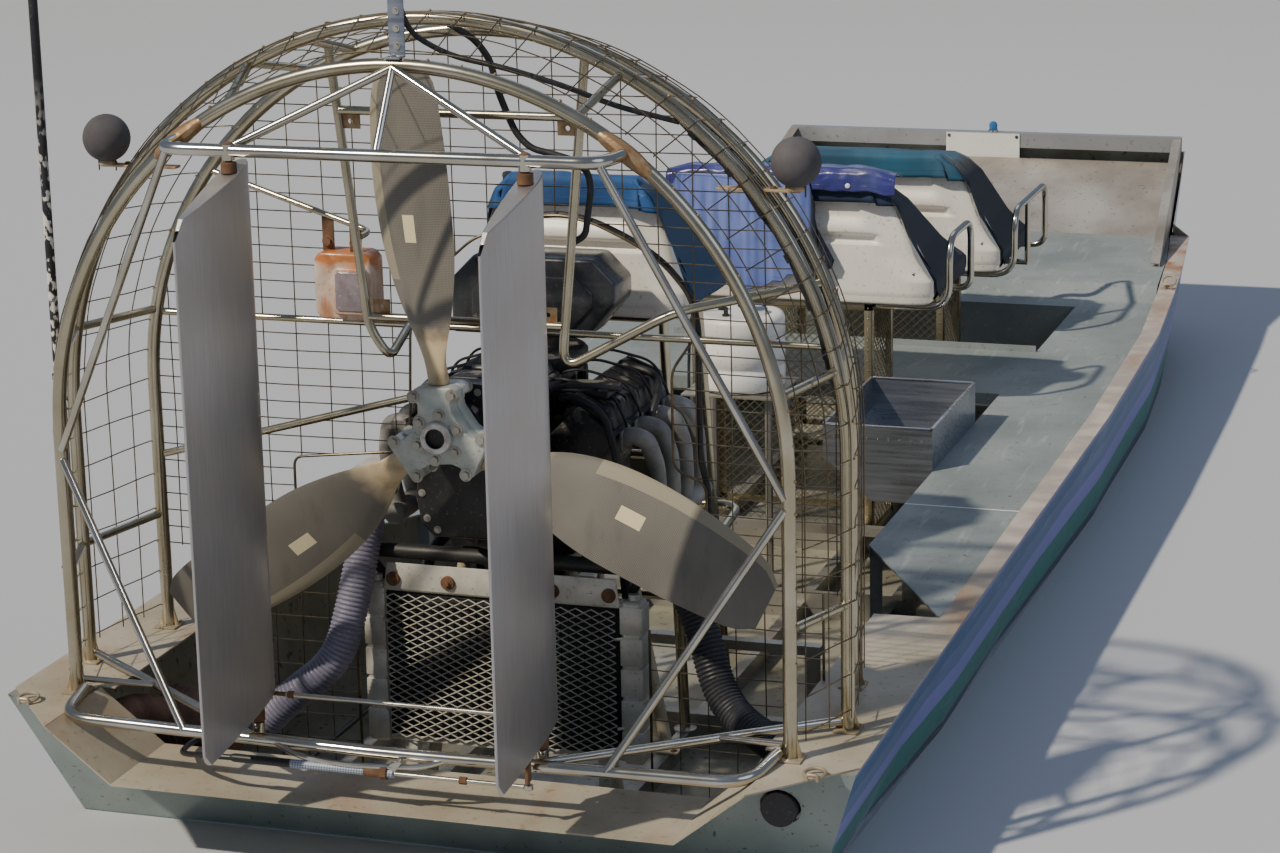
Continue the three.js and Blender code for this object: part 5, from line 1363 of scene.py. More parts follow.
finished("hub_bore_lining", bore, BLACK_CASTING, slot="cast_aluminium", body="propeller")
print("hub ready")

# %% [markdown]
# The engine is a V8 that is open to the air, painted black and dusty. Only what shows is
# modelled: the crankcase, two banks with ribbed valve covers, an air box, a round air
# cleaner with a moulded hood, the pulley, and the drive's housing ahead of the hub. Blocks
# are drawn as their end outlines, pushed along the crankshaft and given bevelled edges.
# %% Engine
CRANK_Z = 1.04
BLOCK_AFT, BLOCK_FRONT, BLOCK_LOW = 0.47, 1.03, 0.83
DRIVE_FACE, DRIVE_MIDDLE = 0.131, 1.19


def mirrored(side, outline):
    return [(side * x, z) for x, z in outline]


def engine_castings():
    whole = bmesh.new()
    case = [(-0.19, BLOCK_LOW), (0.19, BLOCK_LOW), (0.19, 1.0), (0.13, 1.12), (0.09, 1.2), (-0.09, 1.2),
        (-0.13, 1.12), (-0.19, 1.0)]
    slab(whole, case, BLOCK_AFT + 0.01, BLOCK_FRONT - 0.01, "y", 0.008)
    for side in (-1, 1):
        bank = mirrored(side, [(0.13, 1.04), (0.19, 1.0), (0.325, 1.185), (0.21, 1.27), (0.11, 1.17)])
        slab(whole, bank, BLOCK_AFT + 0.015, BLOCK_FRONT - 0.015, "y", 0.006)
        cover = mirrored(side, [(0.315, 1.2), (0.3, 1.265), (0.2, 1.305), (0.165, 1.285), (0.2, 1.262)])
        slab(whole, cover, BLOCK_AFT + 0.03, BLOCK_FRONT - 0.03, "y", 0.012, 3)
        rib = mirrored(side, [(0.31, 1.222), (0.303, 1.268), (0.2, 1.309), (0.21, 1.26)])
        for i in range(9):
            y = BLOCK_AFT + 0.07 + i * 0.053
            slab(whole, rib, y, y + 0.014, "y", 0.003)
        for i in range(5):
            y = BLOCK_AFT + 0.06 + i * 0.11
            bar(whole, (side * 0.19, y, 0.93), (side * 0.204, y, 0.93), 0.021, 14)
    slab(whole, [(-0.13, 0.7005), (0.13, 0.7005), (0.15, BLOCK_LOW + 0.01), (-0.15, BLOCK_LOW + 0.01)],
         BLOCK_AFT + 0.065, BLOCK_FRONT - 0.065, "y", 0.01, 3)
    for i in range(4):
        y = BLOCK_AFT + 0.1 + i * 0.1
        box(whole, (-0.1, 0.1), (y, y + 0.045), (1.19, 1.3), 0.014, 3)
    slab(whole, [(-0.1, 1.28), (0.1, 1.28), (0.088, 1.325), (-0.088, 1.325)], BLOCK_AFT + 0.08,
        BLOCK_FRONT - 0.12, "y", 0.01, 3)
    return whole


def air_cleaner():
    whole = bmesh.new()
    centre = (0, 0.74, 0)
    turned(whole, [(0, 1.318), (0.11, 1.318), (0.145, 1.328), (0.15, 1.338), (0.15, 1.372), (0.143, 1.38),
        (0.135, 1.384), (0.04, 1.389), (0, 1.389)], centre, "z", 48)
    turned(whole, [(0, 1.3885), (0.014, 1.3885), (0.016, 1.3915), (0.006, 1.392), (0, 1.392)], centre, "z",
        12)
    box(whole, (0.08, 0.29), (0.53, 0.66), (1.285, 1.31), 0.01)
    return whole


def air_box():
    """The moulded box over the aft end of the engine, with a stepped lid."""
    whole = bmesh.new()
    slab(whole, [(-0.17, 1.295), (0.13, 1.295), (0.12, 1.345), (-0.16, 1.345)], 0.475, 0.6, "y", 0.008, 3)
    slab(whole, [(-0.15, 1.345), (0.11, 1.345), (0.095, 1.372), (-0.135, 1.372)], 0.485, 0.59, "y", 0.008, 3)
    return whole


def intake_hood():
    """The dark moulded hood that stands on the air cleaner, in front of the driver's back."""
    whole = bmesh.new()
    outline = [(-0.29, 1.392), (0.13, 1.392), (0.222, 1.5), (0.222, 1.56), (0.152, 1.63), (-0.215, 1.63),
        (-0.29, 1.555)]
    slab(whole, outline, 0.8, 0.97, "y", 0.012, 3)
    panel = [(-0.03 + (x + 0.03) * 0.74, 1.49 + (z - 1.5) * 0.66) for x, z in outline]
    slab(whole, panel, 0.792, 0.81, "y", 0.006, 2)
    return whole


def drive_castings():
    whole = bmesh.new()
    outline = [(-0.1, 0.965), (0.1, 0.965), (0.135, 1.0), (0.15, 1.08), (0.105, 1.36), (0.085, 1.395),
        (0.055, 1.411), (-0.055, 1.411), (-0.085, 1.395), (-0.105, 1.36), (-0.15, 1.08), (-0.135, 1.0)]
    slab(whole, outline, DRIVE_FACE, 0.205, "y", 0.008, 3)
    slab(whole, outline, 0.212, 0.299, "y", 0.008, 3)
    slab(whole, [(x * 0.96, DRIVE_MIDDLE + (z - DRIVE_MIDDLE) * 0.97) for x, z in outline], 0.2, 0.22, "y")
    turned(whole, [(0, 0.0955), (0.04, 0.0955), (0.058, 0.1), (0.062, 0.11), (0.062, 0.132), (0, 0.132)],
           (0, 0, CAGE_AXIS), "y", 40)
    turned(whole, [(0, 0.298), (0.12, 0.298), (0.165, 0.33), (0.175, 0.4), (0.175, 0.4695), (0, 0.4695)],
           (0, 0, CRANK_Z), "y", 48)
    for i in range(10):
        angle = math.radians(36 * i)
        x, z = 0.15 * math.cos(angle), 0.15 * math.sin(angle)
        slab(whole, [(x * 0.72, CRANK_Z + z * 0.72), (x, CRANK_Z + z),
            (x * 0.98 - z * 0.06, CRANK_Z + z * 0.98 + x * 0.06),
            (x * 0.7 - z * 0.06, CRANK_Z + z * 0.7 + x * 0.06)], 0.3, 0.36, "y")
    bolts = bmesh.new()
    for x, z in outline:
        at = Vector((x * 0.86, DRIVE_FACE, DRIVE_MIDDLE + (z - DRIVE_MIDDLE) * 0.9))
        stamp(bolts, BOLT, aimed(at, (0, -1, 0), 0.9))
    return whole, bolts


def pulley():
    whole = bmesh.new()
    groove = [(0, 1.03), (0.08, 1.03), (0.085, 1.036), (0.085, 1.042), (0.07, 1.05), (0.085, 1.058),
        (0.085, 1.064), (0.07, 1.07), (0.085, 1.078), (0.085, 1.084), (0.04, 1.0895), (0, 1.0895)]
    turned(whole, groove, (0, 0, CRANK_Z), "y", 40)
    return whole


castings = engine_castings()
join(castings, air_cleaner())
join(castings, air_box())
join(castings, pulley())
finished("engine_castings", castings, BLACK_CASTING, "engine_block", slot="cast_iron", angle=40)
finished("engine_intake_hood", intake_hood(), INTAKE_PLASTIC, slot="cast_iron", angle=40)
drive_casting, drive_bolts = drive_castings()
finished("drive_casting", drive_casting, BLACK_CASTING, "reduction_drive", slot="cast_iron", angle=40)
finished("drive_bolts", drive_bolts, MILL_ALUMINIUM, slot="cast_iron")
print("engine ready")

# %% [markdown]
# Four fat exhaust pipes curve down from each bank and gather in a log. They have been hot
# and are now dusty grey. Hoses and plug leads cross them: each one is a short swept tube
# with its ends inside what it joins, so none of them is a free cord.
# %% Exhaust headers and engine hoses
HEADER_YS = (0.54, 0.67, 0.8, 0.93)
FLANGE_X, LOG_X = 0.331, 0.4


def header_pipes(side):
    whole = bmesh.new()
    for y in HEADER_YS:
        route = [(side * FLANGE_X, y, 1.165), (side * 0.352, y, 1.182), (side * 0.396, y + 0.01, 1.168),
                 (side * 0.416, y + 0.03, 1.09), (side * 0.413, y + 0.055, 0.97),
                 (side * LOG_X, y + 0.065, 0.9)]
        sweep(whole, rounded(route, 0.03, 5), 0.026, 18)
        box(whole, (side * FLANGE_X - 0.004, side * FLANGE_X + 0.004), (y - 0.032, y + 0.032),
            (1.135, 1.197), 0.002)
    sweep(whole, [(side * LOG_X, y, 0.89) for y in (0.56, 0.563, 0.59, 1.03, 1.057, 1.06)],
          [0.028, 0.034, 0.034, 0.034, 0.034, 0.028], 22)
    return whole


for side, header_name in ((-1, "port"), (1, "starboard")):
    finished(f"header_{header_name}_pipes", header_pipes(side), HEADER_STEEL, f"headers_{header_name}",
        slot="exhaust")

ENGINE_HOSES = [
    ([(0.16, 0.5, 1.29), (0.2, 0.46, 1.31), (0.3, 0.45, 1.27), (0.34, 0.47, 1.1), (0.28, 0.48, 0.9)], 0.011),
    ([(0.1, 0.49, 1.3), (0.18, 0.45, 1.34), (0.28, 0.47, 1.34), (0.3, 0.6, 1.3)], 0.008),
    ([(0.12, 1.02, 0.95), (0.22, 0.9, 0.86), (0.3, 0.6, 0.8), (0.36, 0.46, 0.7), (0.38, 0.44, 0.66)], 0.018),
    ([(-0.12, 1.02, 0.95), (-0.22, 0.9, 0.86), (-0.3, 0.6, 0.78), (-0.36, 0.46, 0.42), (-0.38, 0.44, 0.36)],
     0.018),
    ([(-0.15, 0.5, 1.29), (-0.2, 0.45, 1.3), (-0.26, 0.44, 1.1), (-0.2, 0.46, 0.9)], 0.01),
    ([(0.06, 0.48, 1.34), (0.1, 0.36, 1.36), (0.09, 0.3, 1.3), (0.06, 0.3, 1.2)], 0.009),
    ([(0.2, 0.9, 1.3), (0.33, 0.88, 1.28), (0.36, 0.75, 1.22), (0.31, 0.7, 1.1)], 0.012),
    ([(-0.05, 0.5, 0.75), (0.02, 0.4, 0.62), (0.12, 0.44, 0.55), (0.2, 0.5, 0.44)], 0.014),
]
hoses = bmesh.new()
for hose_route, hose_radius in ENGINE_HOSES:
    tube(hoses, hose_route, hose_radius, 0.07, 10, 6)
for side in (-1, 1):
    for i, y in enumerate(HEADER_YS):
        tube(hoses, [(side * 0.06, 0.6 + i * 0.05, 1.31), (side * 0.16, y - 0.03, 1.345),
            (side * 0.29, y + 0.02, 1.3), (side * 0.332, y + 0.03, 1.2), (side * 0.315, y + 0.03, 1.16)],
            0.0042, 0.04, 8, 5)
finished("engine_hoses", hoses, BLACK_RUBBER, slot="cast_iron")
print("headers and hoses ready")

# %% [markdown]
# The engine stands on a frame of cream-painted tube with bolted feet, and a black cross
# tube runs between the frame's heads, over the radiator.
# %% Engine stand
FLOOR_TOP = 0.0666
STAND_AFT, STAND_FRONT = 0.52, 0.98
TIE_BAR_X, TIE_BAR_Z = 0.225, 0.43


def engine_stand():
    whole, fixings = bmesh.new(), bmesh.new()
    for y in (STAND_AFT, STAND_FRONT):
        for foot in (-0.3, 0.3):
            bar(whole, (foot, y, FLOOR_TOP + 0.006), (foot * 0.54, y, 0.79), 0.019, 16)
            box(whole, (foot - 0.045, foot + 0.045), (y - 0.045, y + 0.045), (FLOOR_TOP, FLOOR_TOP + 0.008),
                0.002)
            for dx, dy in ((-0.03, -0.03), (0.03, -0.03), (-0.03, 0.03), (0.03, 0.03)):
                stamp(fixings, BOLT, aimed((foot + dx, y + dy, FLOOR_TOP + 0.008), (0, 0, 1), 0.9))
        bar(whole, (-TIE_BAR_X, y, TIE_BAR_Z), (TIE_BAR_X, y, TIE_BAR_Z), 0.014, 14)
    for side in (-1, 1):
        corner = (side * TIE_BAR_X, STAND_AFT, TIE_BAR_Z)
        bar(whole, corner, (side * TIE_BAR_X, STAND_FRONT, TIE_BAR_Z), 0.014, 14)
        bar(whole, (side * 0.16, BLOCK_AFT, 0.804), (side * 0.16, BLOCK_FRONT, 0.804), 0.017, 14)
        bar(whole, corner, (side * 0.17, 0.8, 0.79), 0.011, 12)
    return whole, fixings


stand, stand_bolts = engine_stand()
finished("engine_stand_tubes", stand, CREAM_TUBE, "engine_stand", slot="cream_paint")
finished("engine_stand_bolts", stand_bolts, RUST, slot="cream_paint")

# %% [markdown]
# The radiator hangs behind the engine: a black finned core between two aluminium tanks
# with ribs, and in front of it a guard of white expanded metal. Expanded metal is sheet
# that was slit and stretched, so its strands zigzag and touch at each knot. One flat
# strand is swept along each zigzag row.
# %% Radiator and its guard
GUARD_Y, GUARD_LOW = 0.362, 0.27
CORE_HALF, FIN_HALF = 0.364, 0.362
PLATE_FACE, PLATE_BOLT_Z = 0.3655, 0.752
CROSS_Y, CROSS_Z = 0.4, 0.83


def guard_strands(whole, wide=0.7, tall=0.44, pitch_across=0.046, pitch_up=0.0116, strand=0.0021,
        thick=0.004):
    """Rows of zigzag strand across the guard's face."""
    rows = int(tall / pitch_up)
    columns = int(wide / (pitch_across / 2))
    for row in range(rows):
        route = []
        for i in range(columns + 1):
            swing = 0.5 if (i + row) % 2 else -0.5
            up = (row + 0.5) * tall / rows + swing * tall / rows * 0.94
            route.append((-wide / 2 + wide * i / columns, GUARD_Y, GUARD_LOW + up))
        sweep(whole, route, strand, 4, thick / strand, (0, 1, 0))


def radiator():
    tanks, core, guard = bmesh.new(), bmesh.new(), bmesh.new()
    for side in (-1, 1):
        x = sorted((side * 0.363, side * 0.425))
        box(tanks, x, (0.375, 0.44), (0.245, 0.735), 0.012, 4)
        for i in range(5):
            z = 0.262 + i * 0.094
            box(tanks, (x[0] - 0.003, x[1] + 0.003), (0.372, 0.443), (z, z + 0.084), 0.004)
        bar(tanks, (side * 0.394, 0.407, 0.735), (side * 0.394, 0.407, 0.752), 0.016, 18)
        box(tanks, sorted((side * 0.28, side * 0.32)), (0.387, 0.428), (FLOOR_TOP, 0.266), 0.004)
    box(core, (-CORE_HALF, CORE_HALF), (0.39, 0.425), (0.265, 0.715), 0.0)
    for i in range(30):
        z = 0.272 + i * 0.0148
        box(core, (-FIN_HALF, FIN_HALF), (0.3865, 0.4285), (z, z + 0.0035))
    for i in range(9):
        x = -0.345 + i * 0.08625
        box(core, (x - 0.002, x + 0.002), (0.3855, 0.4295), (0.267, 0.713))
    for z in (0.712, 0.252):
        box(tanks, (-CORE_HALF, CORE_HALF), (0.383, 0.432), (z, z + 0.016), 0.003)
    guard_strands(guard)
    for side in (-1, 1):
        for z in (0.355, 0.625):
            bar(guard, (side * 0.35, 0.365, z), (side * 0.369, 0.379, z), 0.005, 10)
    return tanks, core, guard


radiator_tanks, radiator_core, radiator_guard = radiator()
finished("radiator_tanks", radiator_tanks, TANK_ALUMINIUM, "radiator", slot="cast_aluminium")
finished("radiator_core", radiator_core, CORE_FINS, slot="cast_aluminium")
finished("radiator_guard", radiator_guard, GUARD_ZINC, slot="cast_aluminium")

cross_tube, top_plate, plate_bolts = bmesh.new(), bmesh.new(), bmesh.new()
bar(cross_tube, (-0.44, CROSS_Y, CROSS_Z), (0.44, CROSS_Y, CROSS_Z), 0.022, 18)
for side in (-1, 1):
    bar(cross_tube, (side * 0.43, CROSS_Y, CROSS_Z), (side * 0.24, STAND_AFT, 0.5), 0.013, 12)
finished("radiator_cross_tube", cross_tube, BLACK_PAINT, slot="cast_aluminium")
slab(top_plate, [(-FIN_HALF, 0.72), (FIN_HALF, 0.72), (0.35, 0.8), (-0.35, 0.8)], 0.374, 0.38, "y", 0.002)
finished("radiator_top_plate", top_plate, TANK_ALUMINIUM, slot="cast_aluminium")
washer = [(0, PLATE_FACE), (0.019, PLATE_FACE), (0.021, 0.3675), (0.021, 0.3745), (0, 0.3745)]
for side in (-1, 1):
    for x in (0.33, 0.16):
        turned(plate_bolts, washer, (side * x, 0, PLATE_BOLT_Z), "y", 24)
        stamp(plate_bolts, BOLT, aimed((side * x, PLATE_FACE, PLATE_BOLT_Z), (0, -1, 0), 1.1))
    stamp(plate_bolts, BOLT, aimed((side * 0.43, 0.383, CROSS_Z), (0, -1, 0), 1.2))
finished("radiator_tab_bolts", plate_bolts, RUST, slot="cast_aluminium")
print("radiator ready")

# %% [markdown]
# The exhaust hoses are corrugated like a vacuum cleaner's: rings of vinyl over a spring.
# A sweep whose radius rises and falls with its length makes the rings as real geometry.
# The port hose is grey-purple and the starboard one black; the port one ends in a dusty
# muffler inside the hull's port side, whose pipe leads aft.
# %% Corrugated hoses and muffler
LOG_END_Z = 1.01
MUFFLER_AXIS = (0, 0.2, 0.33)
HOSE_PORT = [(-0.4, 0.4997, LOG_END_Z), (-0.4, 0.42, LOG_END_Z), (-0.41, 0.3, 0.76), (-0.45, 0.235, 0.54),
    (-0.6, 0.205, 0.42), (-0.69, 0.2, 0.33), (-0.7597, 0.2, 0.33)]
HOSE_STARBOARD = [(0.4, 0.4997, LOG_END_Z), (0.4, 0.42, LOG_END_Z), (0.6, 0.33, 0.76), (0.72, 0.21, 0.5),
    (1.01, 0.02, 0.425), (1.01, -0.285, 0.425)]
HOSE_RADIUS, RING_PITCH = 0.05, 0.013
RING_WAVE = (0.0, -0.0018, -0.0042, -0.0018)


def evenly(route, step):
    """The same route with stations at an even step."""
    made, carried = [route[0]], 0.0
    for start, end in zip(route, route[1:]):
        length = (end - start).length
        at = step - carried
        while at <= length:
            made.append(start.lerp(end, at / length))
            at += step
        carried = (carried + length) % step if length else carried
    made.append(route[-1])
    return made


def corrugated(points):
    route = evenly(rounded(points, 0.11, 14), RING_PITCH / len(RING_WAVE))
    radii = [HOSE_RADIUS + RING_WAVE[i % len(RING_WAVE)] for i in range(len(route))]
    whole = bmesh.new()
    sweep(whole, route, radii, 20)
    return whole


finished("hose_port_corrugated", corrugated(HOSE_PORT), HOSE_GREY, "exhaust_hose_port", slot="hose", angle=60)
finished("hose_starboard_corrugated", corrugated(HOSE_STARBOARD), HOSE_BLACK, "exhaust_hose_starboard",
         slot="black_hose", angle=60)

muffler = bmesh.new()
turned(muffler, [(0, -1.0), (0.07, -1.0), (0.088, -0.992), (0.095, -0.975), (0.095, -0.93), (0.0915, -0.926),
                 (0.0915, -0.834), (0.095, -0.83), (0.095, -0.785), (0.088, -0.768), (0.056, -0.7602),
                 (0, -0.7602)],
       MUFFLER_AXIS, "x", 48)
tube(muffler, [(-0.94, 0.2, 0.33), (-1.01, 0.06, 0.4), (-1.01, -0.06, 0.425), (-1.01, -0.285, 0.425)], 0.046,
    0.06, 24)
for strap_x in (-0.96, -0.8):
    turned(muffler, [(0.094, strap_x - 0.012), (0.0975, strap_x - 0.01), (0.0975, strap_x + 0.01),
                     (0.094, strap_x + 0.012), (0.094, strap_x - 0.012)], MUFFLER_AXIS, "x", 48)
finished("muffler_can", muffler, MUFFLER_STEEL, "muffler", slot="rusty_steel")
hose_clips = bmesh.new()
collar(hose_clips, 0.0495, 0.0525, -0.735, -0.723, MUFFLER_AXIS, "x", 32)
for clipped in (HOSE_PORT, HOSE_STARBOARD):
    collar(hose_clips, 0.0495, 0.0525, 0.485, 0.497, (clipped[0][0], 0, LOG_END_Z), "y", 32)
finished("hose_clips", hose_clips, BRIGHT_STEEL, slot="hose")
print("hoses ready")

# %% [markdown]
# The seats are roto-moulded polyethylene: one hollow skin with soft edges everywhere. The
# side outline of back and pan is drawn once and extruded across the boat, station by
# station. Near each end it is shrunk a little more at every station, which rounds the ends
# over, and then the back is narrowed to its shoulders and its rear face gets the moulded
# ledge, the groove under it and the recess above it.
# %% Seat shells
SHOULDERS = [(0.0, 1.0), (0.19, 1.0), (0.26, 0.95), (0.38, 0.885), (0.53, 0.843), (0.787, 0.765),
    (0.915, 0.69), (0.98, 0.6), (1.1, 0.5)]
ROUND = 0.035
END_STEPS, MIDDLE_STEPS = 6, 46
SHELL_BACK, SHELL_DEEP, SHELL_THICK = 0.47, 0.56, 0.07
REAR_STEP = 0.006


def between(table, value):
    """A table's value at a place between its rows."""
    for (low, first), (high, second) in zip(table, table[1:]):
        if value <= high:
            share = max(0.0, (value - low) / (high - low))
            return first + (second - first) * share
    return table[-1][1]


def step_up(value, low, high):
    """0 below low, 1 above high, and smooth between."""
    share = min(1.0, max(0.0, (value - low) / (high - low)))
    return share * share * (3 - 2 * share)


def seat_outline(back, deep, thick):
    """Points (ahead, up) round back and pan, close together on the rear face."""
    ups = [0.03 + i * REAR_STEP for i in range(int((back - 0.06) / REAR_STEP))]
    rear = [(0.01 * up / back, up) for up in ups]
    top = rounded([(0.01, back - 0.03, 0), (0.012, back - 0.003, 0), (thick - 0.03, back, 0),
                   (thick + 0.028, back - 0.012, 0), (thick + 0.06, 0.085, 0), (deep, 0.095, 0),
                   (deep, 0.02, 0),
                   (0.03, 0.0, 0), (0.0, 0.002, 0), (0.0, 0.03, 0)], 0.03, 5)
    return rear + [(p.x, p.y) for p in top]


def moulded(ahead, across, up, half, back):
    """How far the rear face is pushed in at a place on it."""
    if ahead > 0.03:
        return 0.0
    reach = half * between(SHOULDERS, up / back)
    inside = 1 - step_up(abs(across), reach - 0.075, reach - 0.04)
    scale = back / SHELL_BACK

    def band(rise, full, fall, end):
        return step_up(up, rise * scale, full * scale) * (1 - step_up(up, fall * scale, end * scale))

    recess = band(0.292, 0.335, 0.42, 0.455) * 0.017
    groove = band(0.222, 0.23, 0.254, 0.266) * 0.024
    ledge = band(0.262, 0.275, 0.285, 0.3) * -0.003
    lower = 0.006 * (1 - step_up(up, 0.02, 0.05))
    edge = 0.022 * step_up(abs(across), reach - 0.085, reach)
    return inside * (recess + groove + ledge) + lower + edge


def seat_shell(half, y, z, back=SHELL_BACK, deep=SHELL_DEEP, thick=SHELL_THICK):
    outline = seat_outline(back, deep, thick)
    part = bmesh.new()
    face = part.faces.new([part.verts.new((-half, a, b)) for a, b in outline])
    turns = [math.sin(math.pi / 2 * i / END_STEPS) for i in range(END_STEPS + 1)]
    end = [-half + ROUND * (1 - math.cos(math.asin(t))) for t in turns]
    middle = [-half + ROUND + (2 * half - 2 * ROUND) * i / MIDDLE_STEPS for i in range(1, MIDDLE_STEPS)]
    stations = end + middle + [-x for x in reversed(end)]
    edges = face.edges[:]
    for before, after in zip(stations, stations[1:]):
        grown = bmesh.ops.extrude_edge_only(part, edges=edges)
        bmesh.ops.translate(part, vec=(after - before, 0, 0), verts=only(bmesh.types.BMVert, grown))
        edges = only(bmesh.types.BMEdge, grown)
    bmesh.ops.edgeloop_fill(part, edges=edges)
    bmesh.ops.recalc_face_normals(part, faces=part.faces)
    inward = end_insets(outline)
    for vert in part.verts:
        x, ahead, up = vert.co
        tuck = ROUND - math.sqrt(max(0.0, ROUND ** 2 - max(0.0, abs(x) - (half - ROUND)) ** 2))
        slip = inward[(round(ahead, 5), round(up, 5))] * tuck * 0.8
        ahead, up = ahead + slip.x, up + slip.y
        pushed = moulded(ahead, x, up, half, back)
        vert.co = (x * between(SHOULDERS, up / back), y + ahead + pushed, z + up)
    whole = bmesh.new()
    join(whole, part)
    return whole


def end_insets(outline):
    """The inward direction at each outline point, by its place."""
    made = {}
    for i, (a, b) in enumerate(outline):
        before, after = outline[i - 1], outline[(i + 1) % len(outline)]
        along = Vector((after[0] - before[0], after[1] - before[1]))
        made[(round(a, 5), round(b, 5))] = Vector((along.y, -along.x)).normalized()
    return made


BENCH_HALF = 0.575
ROW_Y = {"row_1": 4.56, "row_2": 3.36}
ROW_Z = {"row_1": 0.835, "row_2": 0.835 + 0.12}
RAIL_FRONT = {"row_1": 0.7, "row_2": 0.43}
DRIVER = {"half": 0.345, "y": 1.075, "z": 1.395, "back": 0.42, "deep": 0.48, "thick": 0.06}

for row, row_y in ROW_Y.items():
    finished(f"bench_{row}_shell", seat_shell(BENCH_HALF, row_y, ROW_Z[row]), SEAT_SHELL, f"bench_seat_{row}",
             slot="shell", angle=50)
    screws = bmesh.new()
    for side in (-1, 1):
        stamp(screws, BOLT, aimed((side * 0.505, row_y + 0.024, ROW_Z[row] + 0.115), (0, -1, 0), 0.8))
    finished(f"bench_{row}_screws", screws, BRIGHT_STEEL, slot="shell")
finished("driver_shell", seat_shell(**DRIVER), SEAT_SHELL, "driver_seat", slot="shell", angle=50)
print("seat shells ready")

# %% [markdown]
# Each bench stands on a box of expanded metal, riveted to corner strips, with a polished
# rail under the seat that ends in a grab loop at each side. One row of strands is made
# and stamped all the way up each side of the box.
# %% Bench boxes and rails


EXPANDED = {"across": 0.036, "up": 0.0165, "strand": 0.0016, "thick": 0.0022}
CORNER, SHEET = 0.03, 0.003
RIVET_STEP = 0.04


def strand_row(wide, pitch, odd):
    count = int(wide / (EXPANDED["across"] / 2))
    route = [(-wide / 2 + wide * i / count, (0.47 if (i + odd) % 2 else -0.47) * pitch, 0)
        for i in range(count + 1)]
    part = bmesh.new()
    sweep(part, route, EXPANDED["strand"], 4, EXPANDED["thick"] / EXPANDED["strand"], (0, 0, 1), closed=False)
    return pattern(part)


def expanded_panel(whole, matrix, wide, tall):
    rows = int(tall / EXPANDED["up"])
    patterns = [strand_row(wide, tall / rows, odd) for odd in (0, 1)]
    for row in range(rows):
        shift = Matrix.Translation((0, (row + 0.5) * tall / rows, 0))
        stamp(whole, patterns[row % 2], matrix @ shift)


def standing(x, y, z, turn):
    """A panel's place: its foot's middle, and its turn about Z. It starts facing -Y."""
    return Matrix.Translation((x, y, z)) @ Matrix.Rotation(turn, 4, "Z") @ Matrix.Rotation(math.pi / 2, 4,
        "X")


def bench_box(y, z):
    mesh, strips, rivets = bmesh.new(), bmesh.new(), bmesh.new()
    near, far, half, tall = y + 0.02, y + 0.35, 0.35, z - FLOOR_TOP - 0.006
    bands = ((FLOOR_TOP, FLOOR_TOP + 0.025), (z - 0.028, z - SHEET))
    for at in (near + SHEET, far - SHEET):
        expanded_panel(mesh, standing(0, at, FLOOR_TOP + SHEET, 0), 2 * half - 0.012, tall - 0.01)
    for x in (-half + SHEET, half - SHEET):
        expanded_panel(mesh, standing(x, (near + far) / 2, FLOOR_TOP + SHEET, math.pi / 2),
            far - near - 0.012, tall - 0.01)
    for side in (-1, 1):
        for at, inward in ((near, 1), (far, -1)):
            x = side * half
            for wide, deep in ((CORNER, SHEET), (SHEET, CORNER)):
                box(strips, sorted((x, x - side * wide)), sorted((at, at + inward * deep)),
                    (FLOOR_TOP, z - SHEET), 0.0006)
            for i in range(int(tall / RIVET_STEP)):
                height = FLOOR_TOP + 0.03 + i * RIVET_STEP
                stamp(rivets, RIVET, aimed((x - side * 0.016, at, height), (0, -inward, 0), 1.0))
                stamp(rivets, RIVET, aimed((x, at + inward * 0.016, height), (side, 0, 0), 1.0))
    for at in (near, far - SHEET):
        for band in bands:
            box(strips, (-half, half), (at, at + SHEET), band, 0.0006)
    for x in (-half, half - SHEET):
        for band in bands:
            box(strips, (x, x + SHEET), (near, far), band, 0.0006)
    box(strips, (-half + 0.002, half - 0.002), (near + 0.002, far - 0.002), (z - 0.0053, z - 0.0003), 0.001)
    return mesh, strips, rivets


def rivet_pattern():
    part = bmesh.new()
    turned(part, [(0.0, 0.0015), (0.002, 0.0013), (0.0035, 0.0004), (0.0036, -0.0003)], (0, 0, 0), "z", 8)
    return pattern(part)


RIVET = rivet_pattern()


def bench_rail(y, z, front, braced):
    """One bent tube: under the seat, up into a grab loop at each side, and back."""
    whole = bmesh.new()
    rail_z, rail_x, tall = z - 0.014, 0.632, 0.265
    for side in (-1, 1):
        tube(whole, [(0, y + 0.06, rail_z), (side * rail_x, y + 0.06, rail_z),
            (side * rail_x, y + 0.06, rail_z + tall), (side * rail_x, y + front, rail_z + tall),
            (side * rail_x, y + front, rail_z), (side * (rail_x - 0.12), y + front, rail_z),
            (0, y + 0.33, rail_z)], 0.013, 0.095, 18, 8)
        if braced:
            bar(whole, (side * rail_x, y + 0.33, rail_z + tall), (side * rail_x, y + 0.33, rail_z), 0.012, 16)
    if braced:
        bar(whole, (-rail_x, y + 0.33, rail_z), (rail_x, y + 0.33, rail_z), 0.012, 16)
    return whole


for row, row_y in ROW_Y.items():
    box_mesh, box_strips, box_rivets = bench_box(row_y, ROW_Z[row])
    bent_rail = bench_rail(row_y, ROW_Z[row], RAIL_FRONT[row], row == "row_1")
    finished(f"bench_{row}_rail", bent_rail, BRIGHT_STEEL, f"bench_frame_{row}", slot="stainless")
    finished(f"bench_{row}_expanded_metal", box_mesh, EXPANDED_STEEL, slot="stainless")
    finished(f"bench_{row}_corner_strips", box_strips, EXPANDED_STEEL, slot="stainless")
    finished(f"bench_{row}_rivets", box_rivets, BRIGHT_STEEL, slot="stainless")
print("bench frames ready")
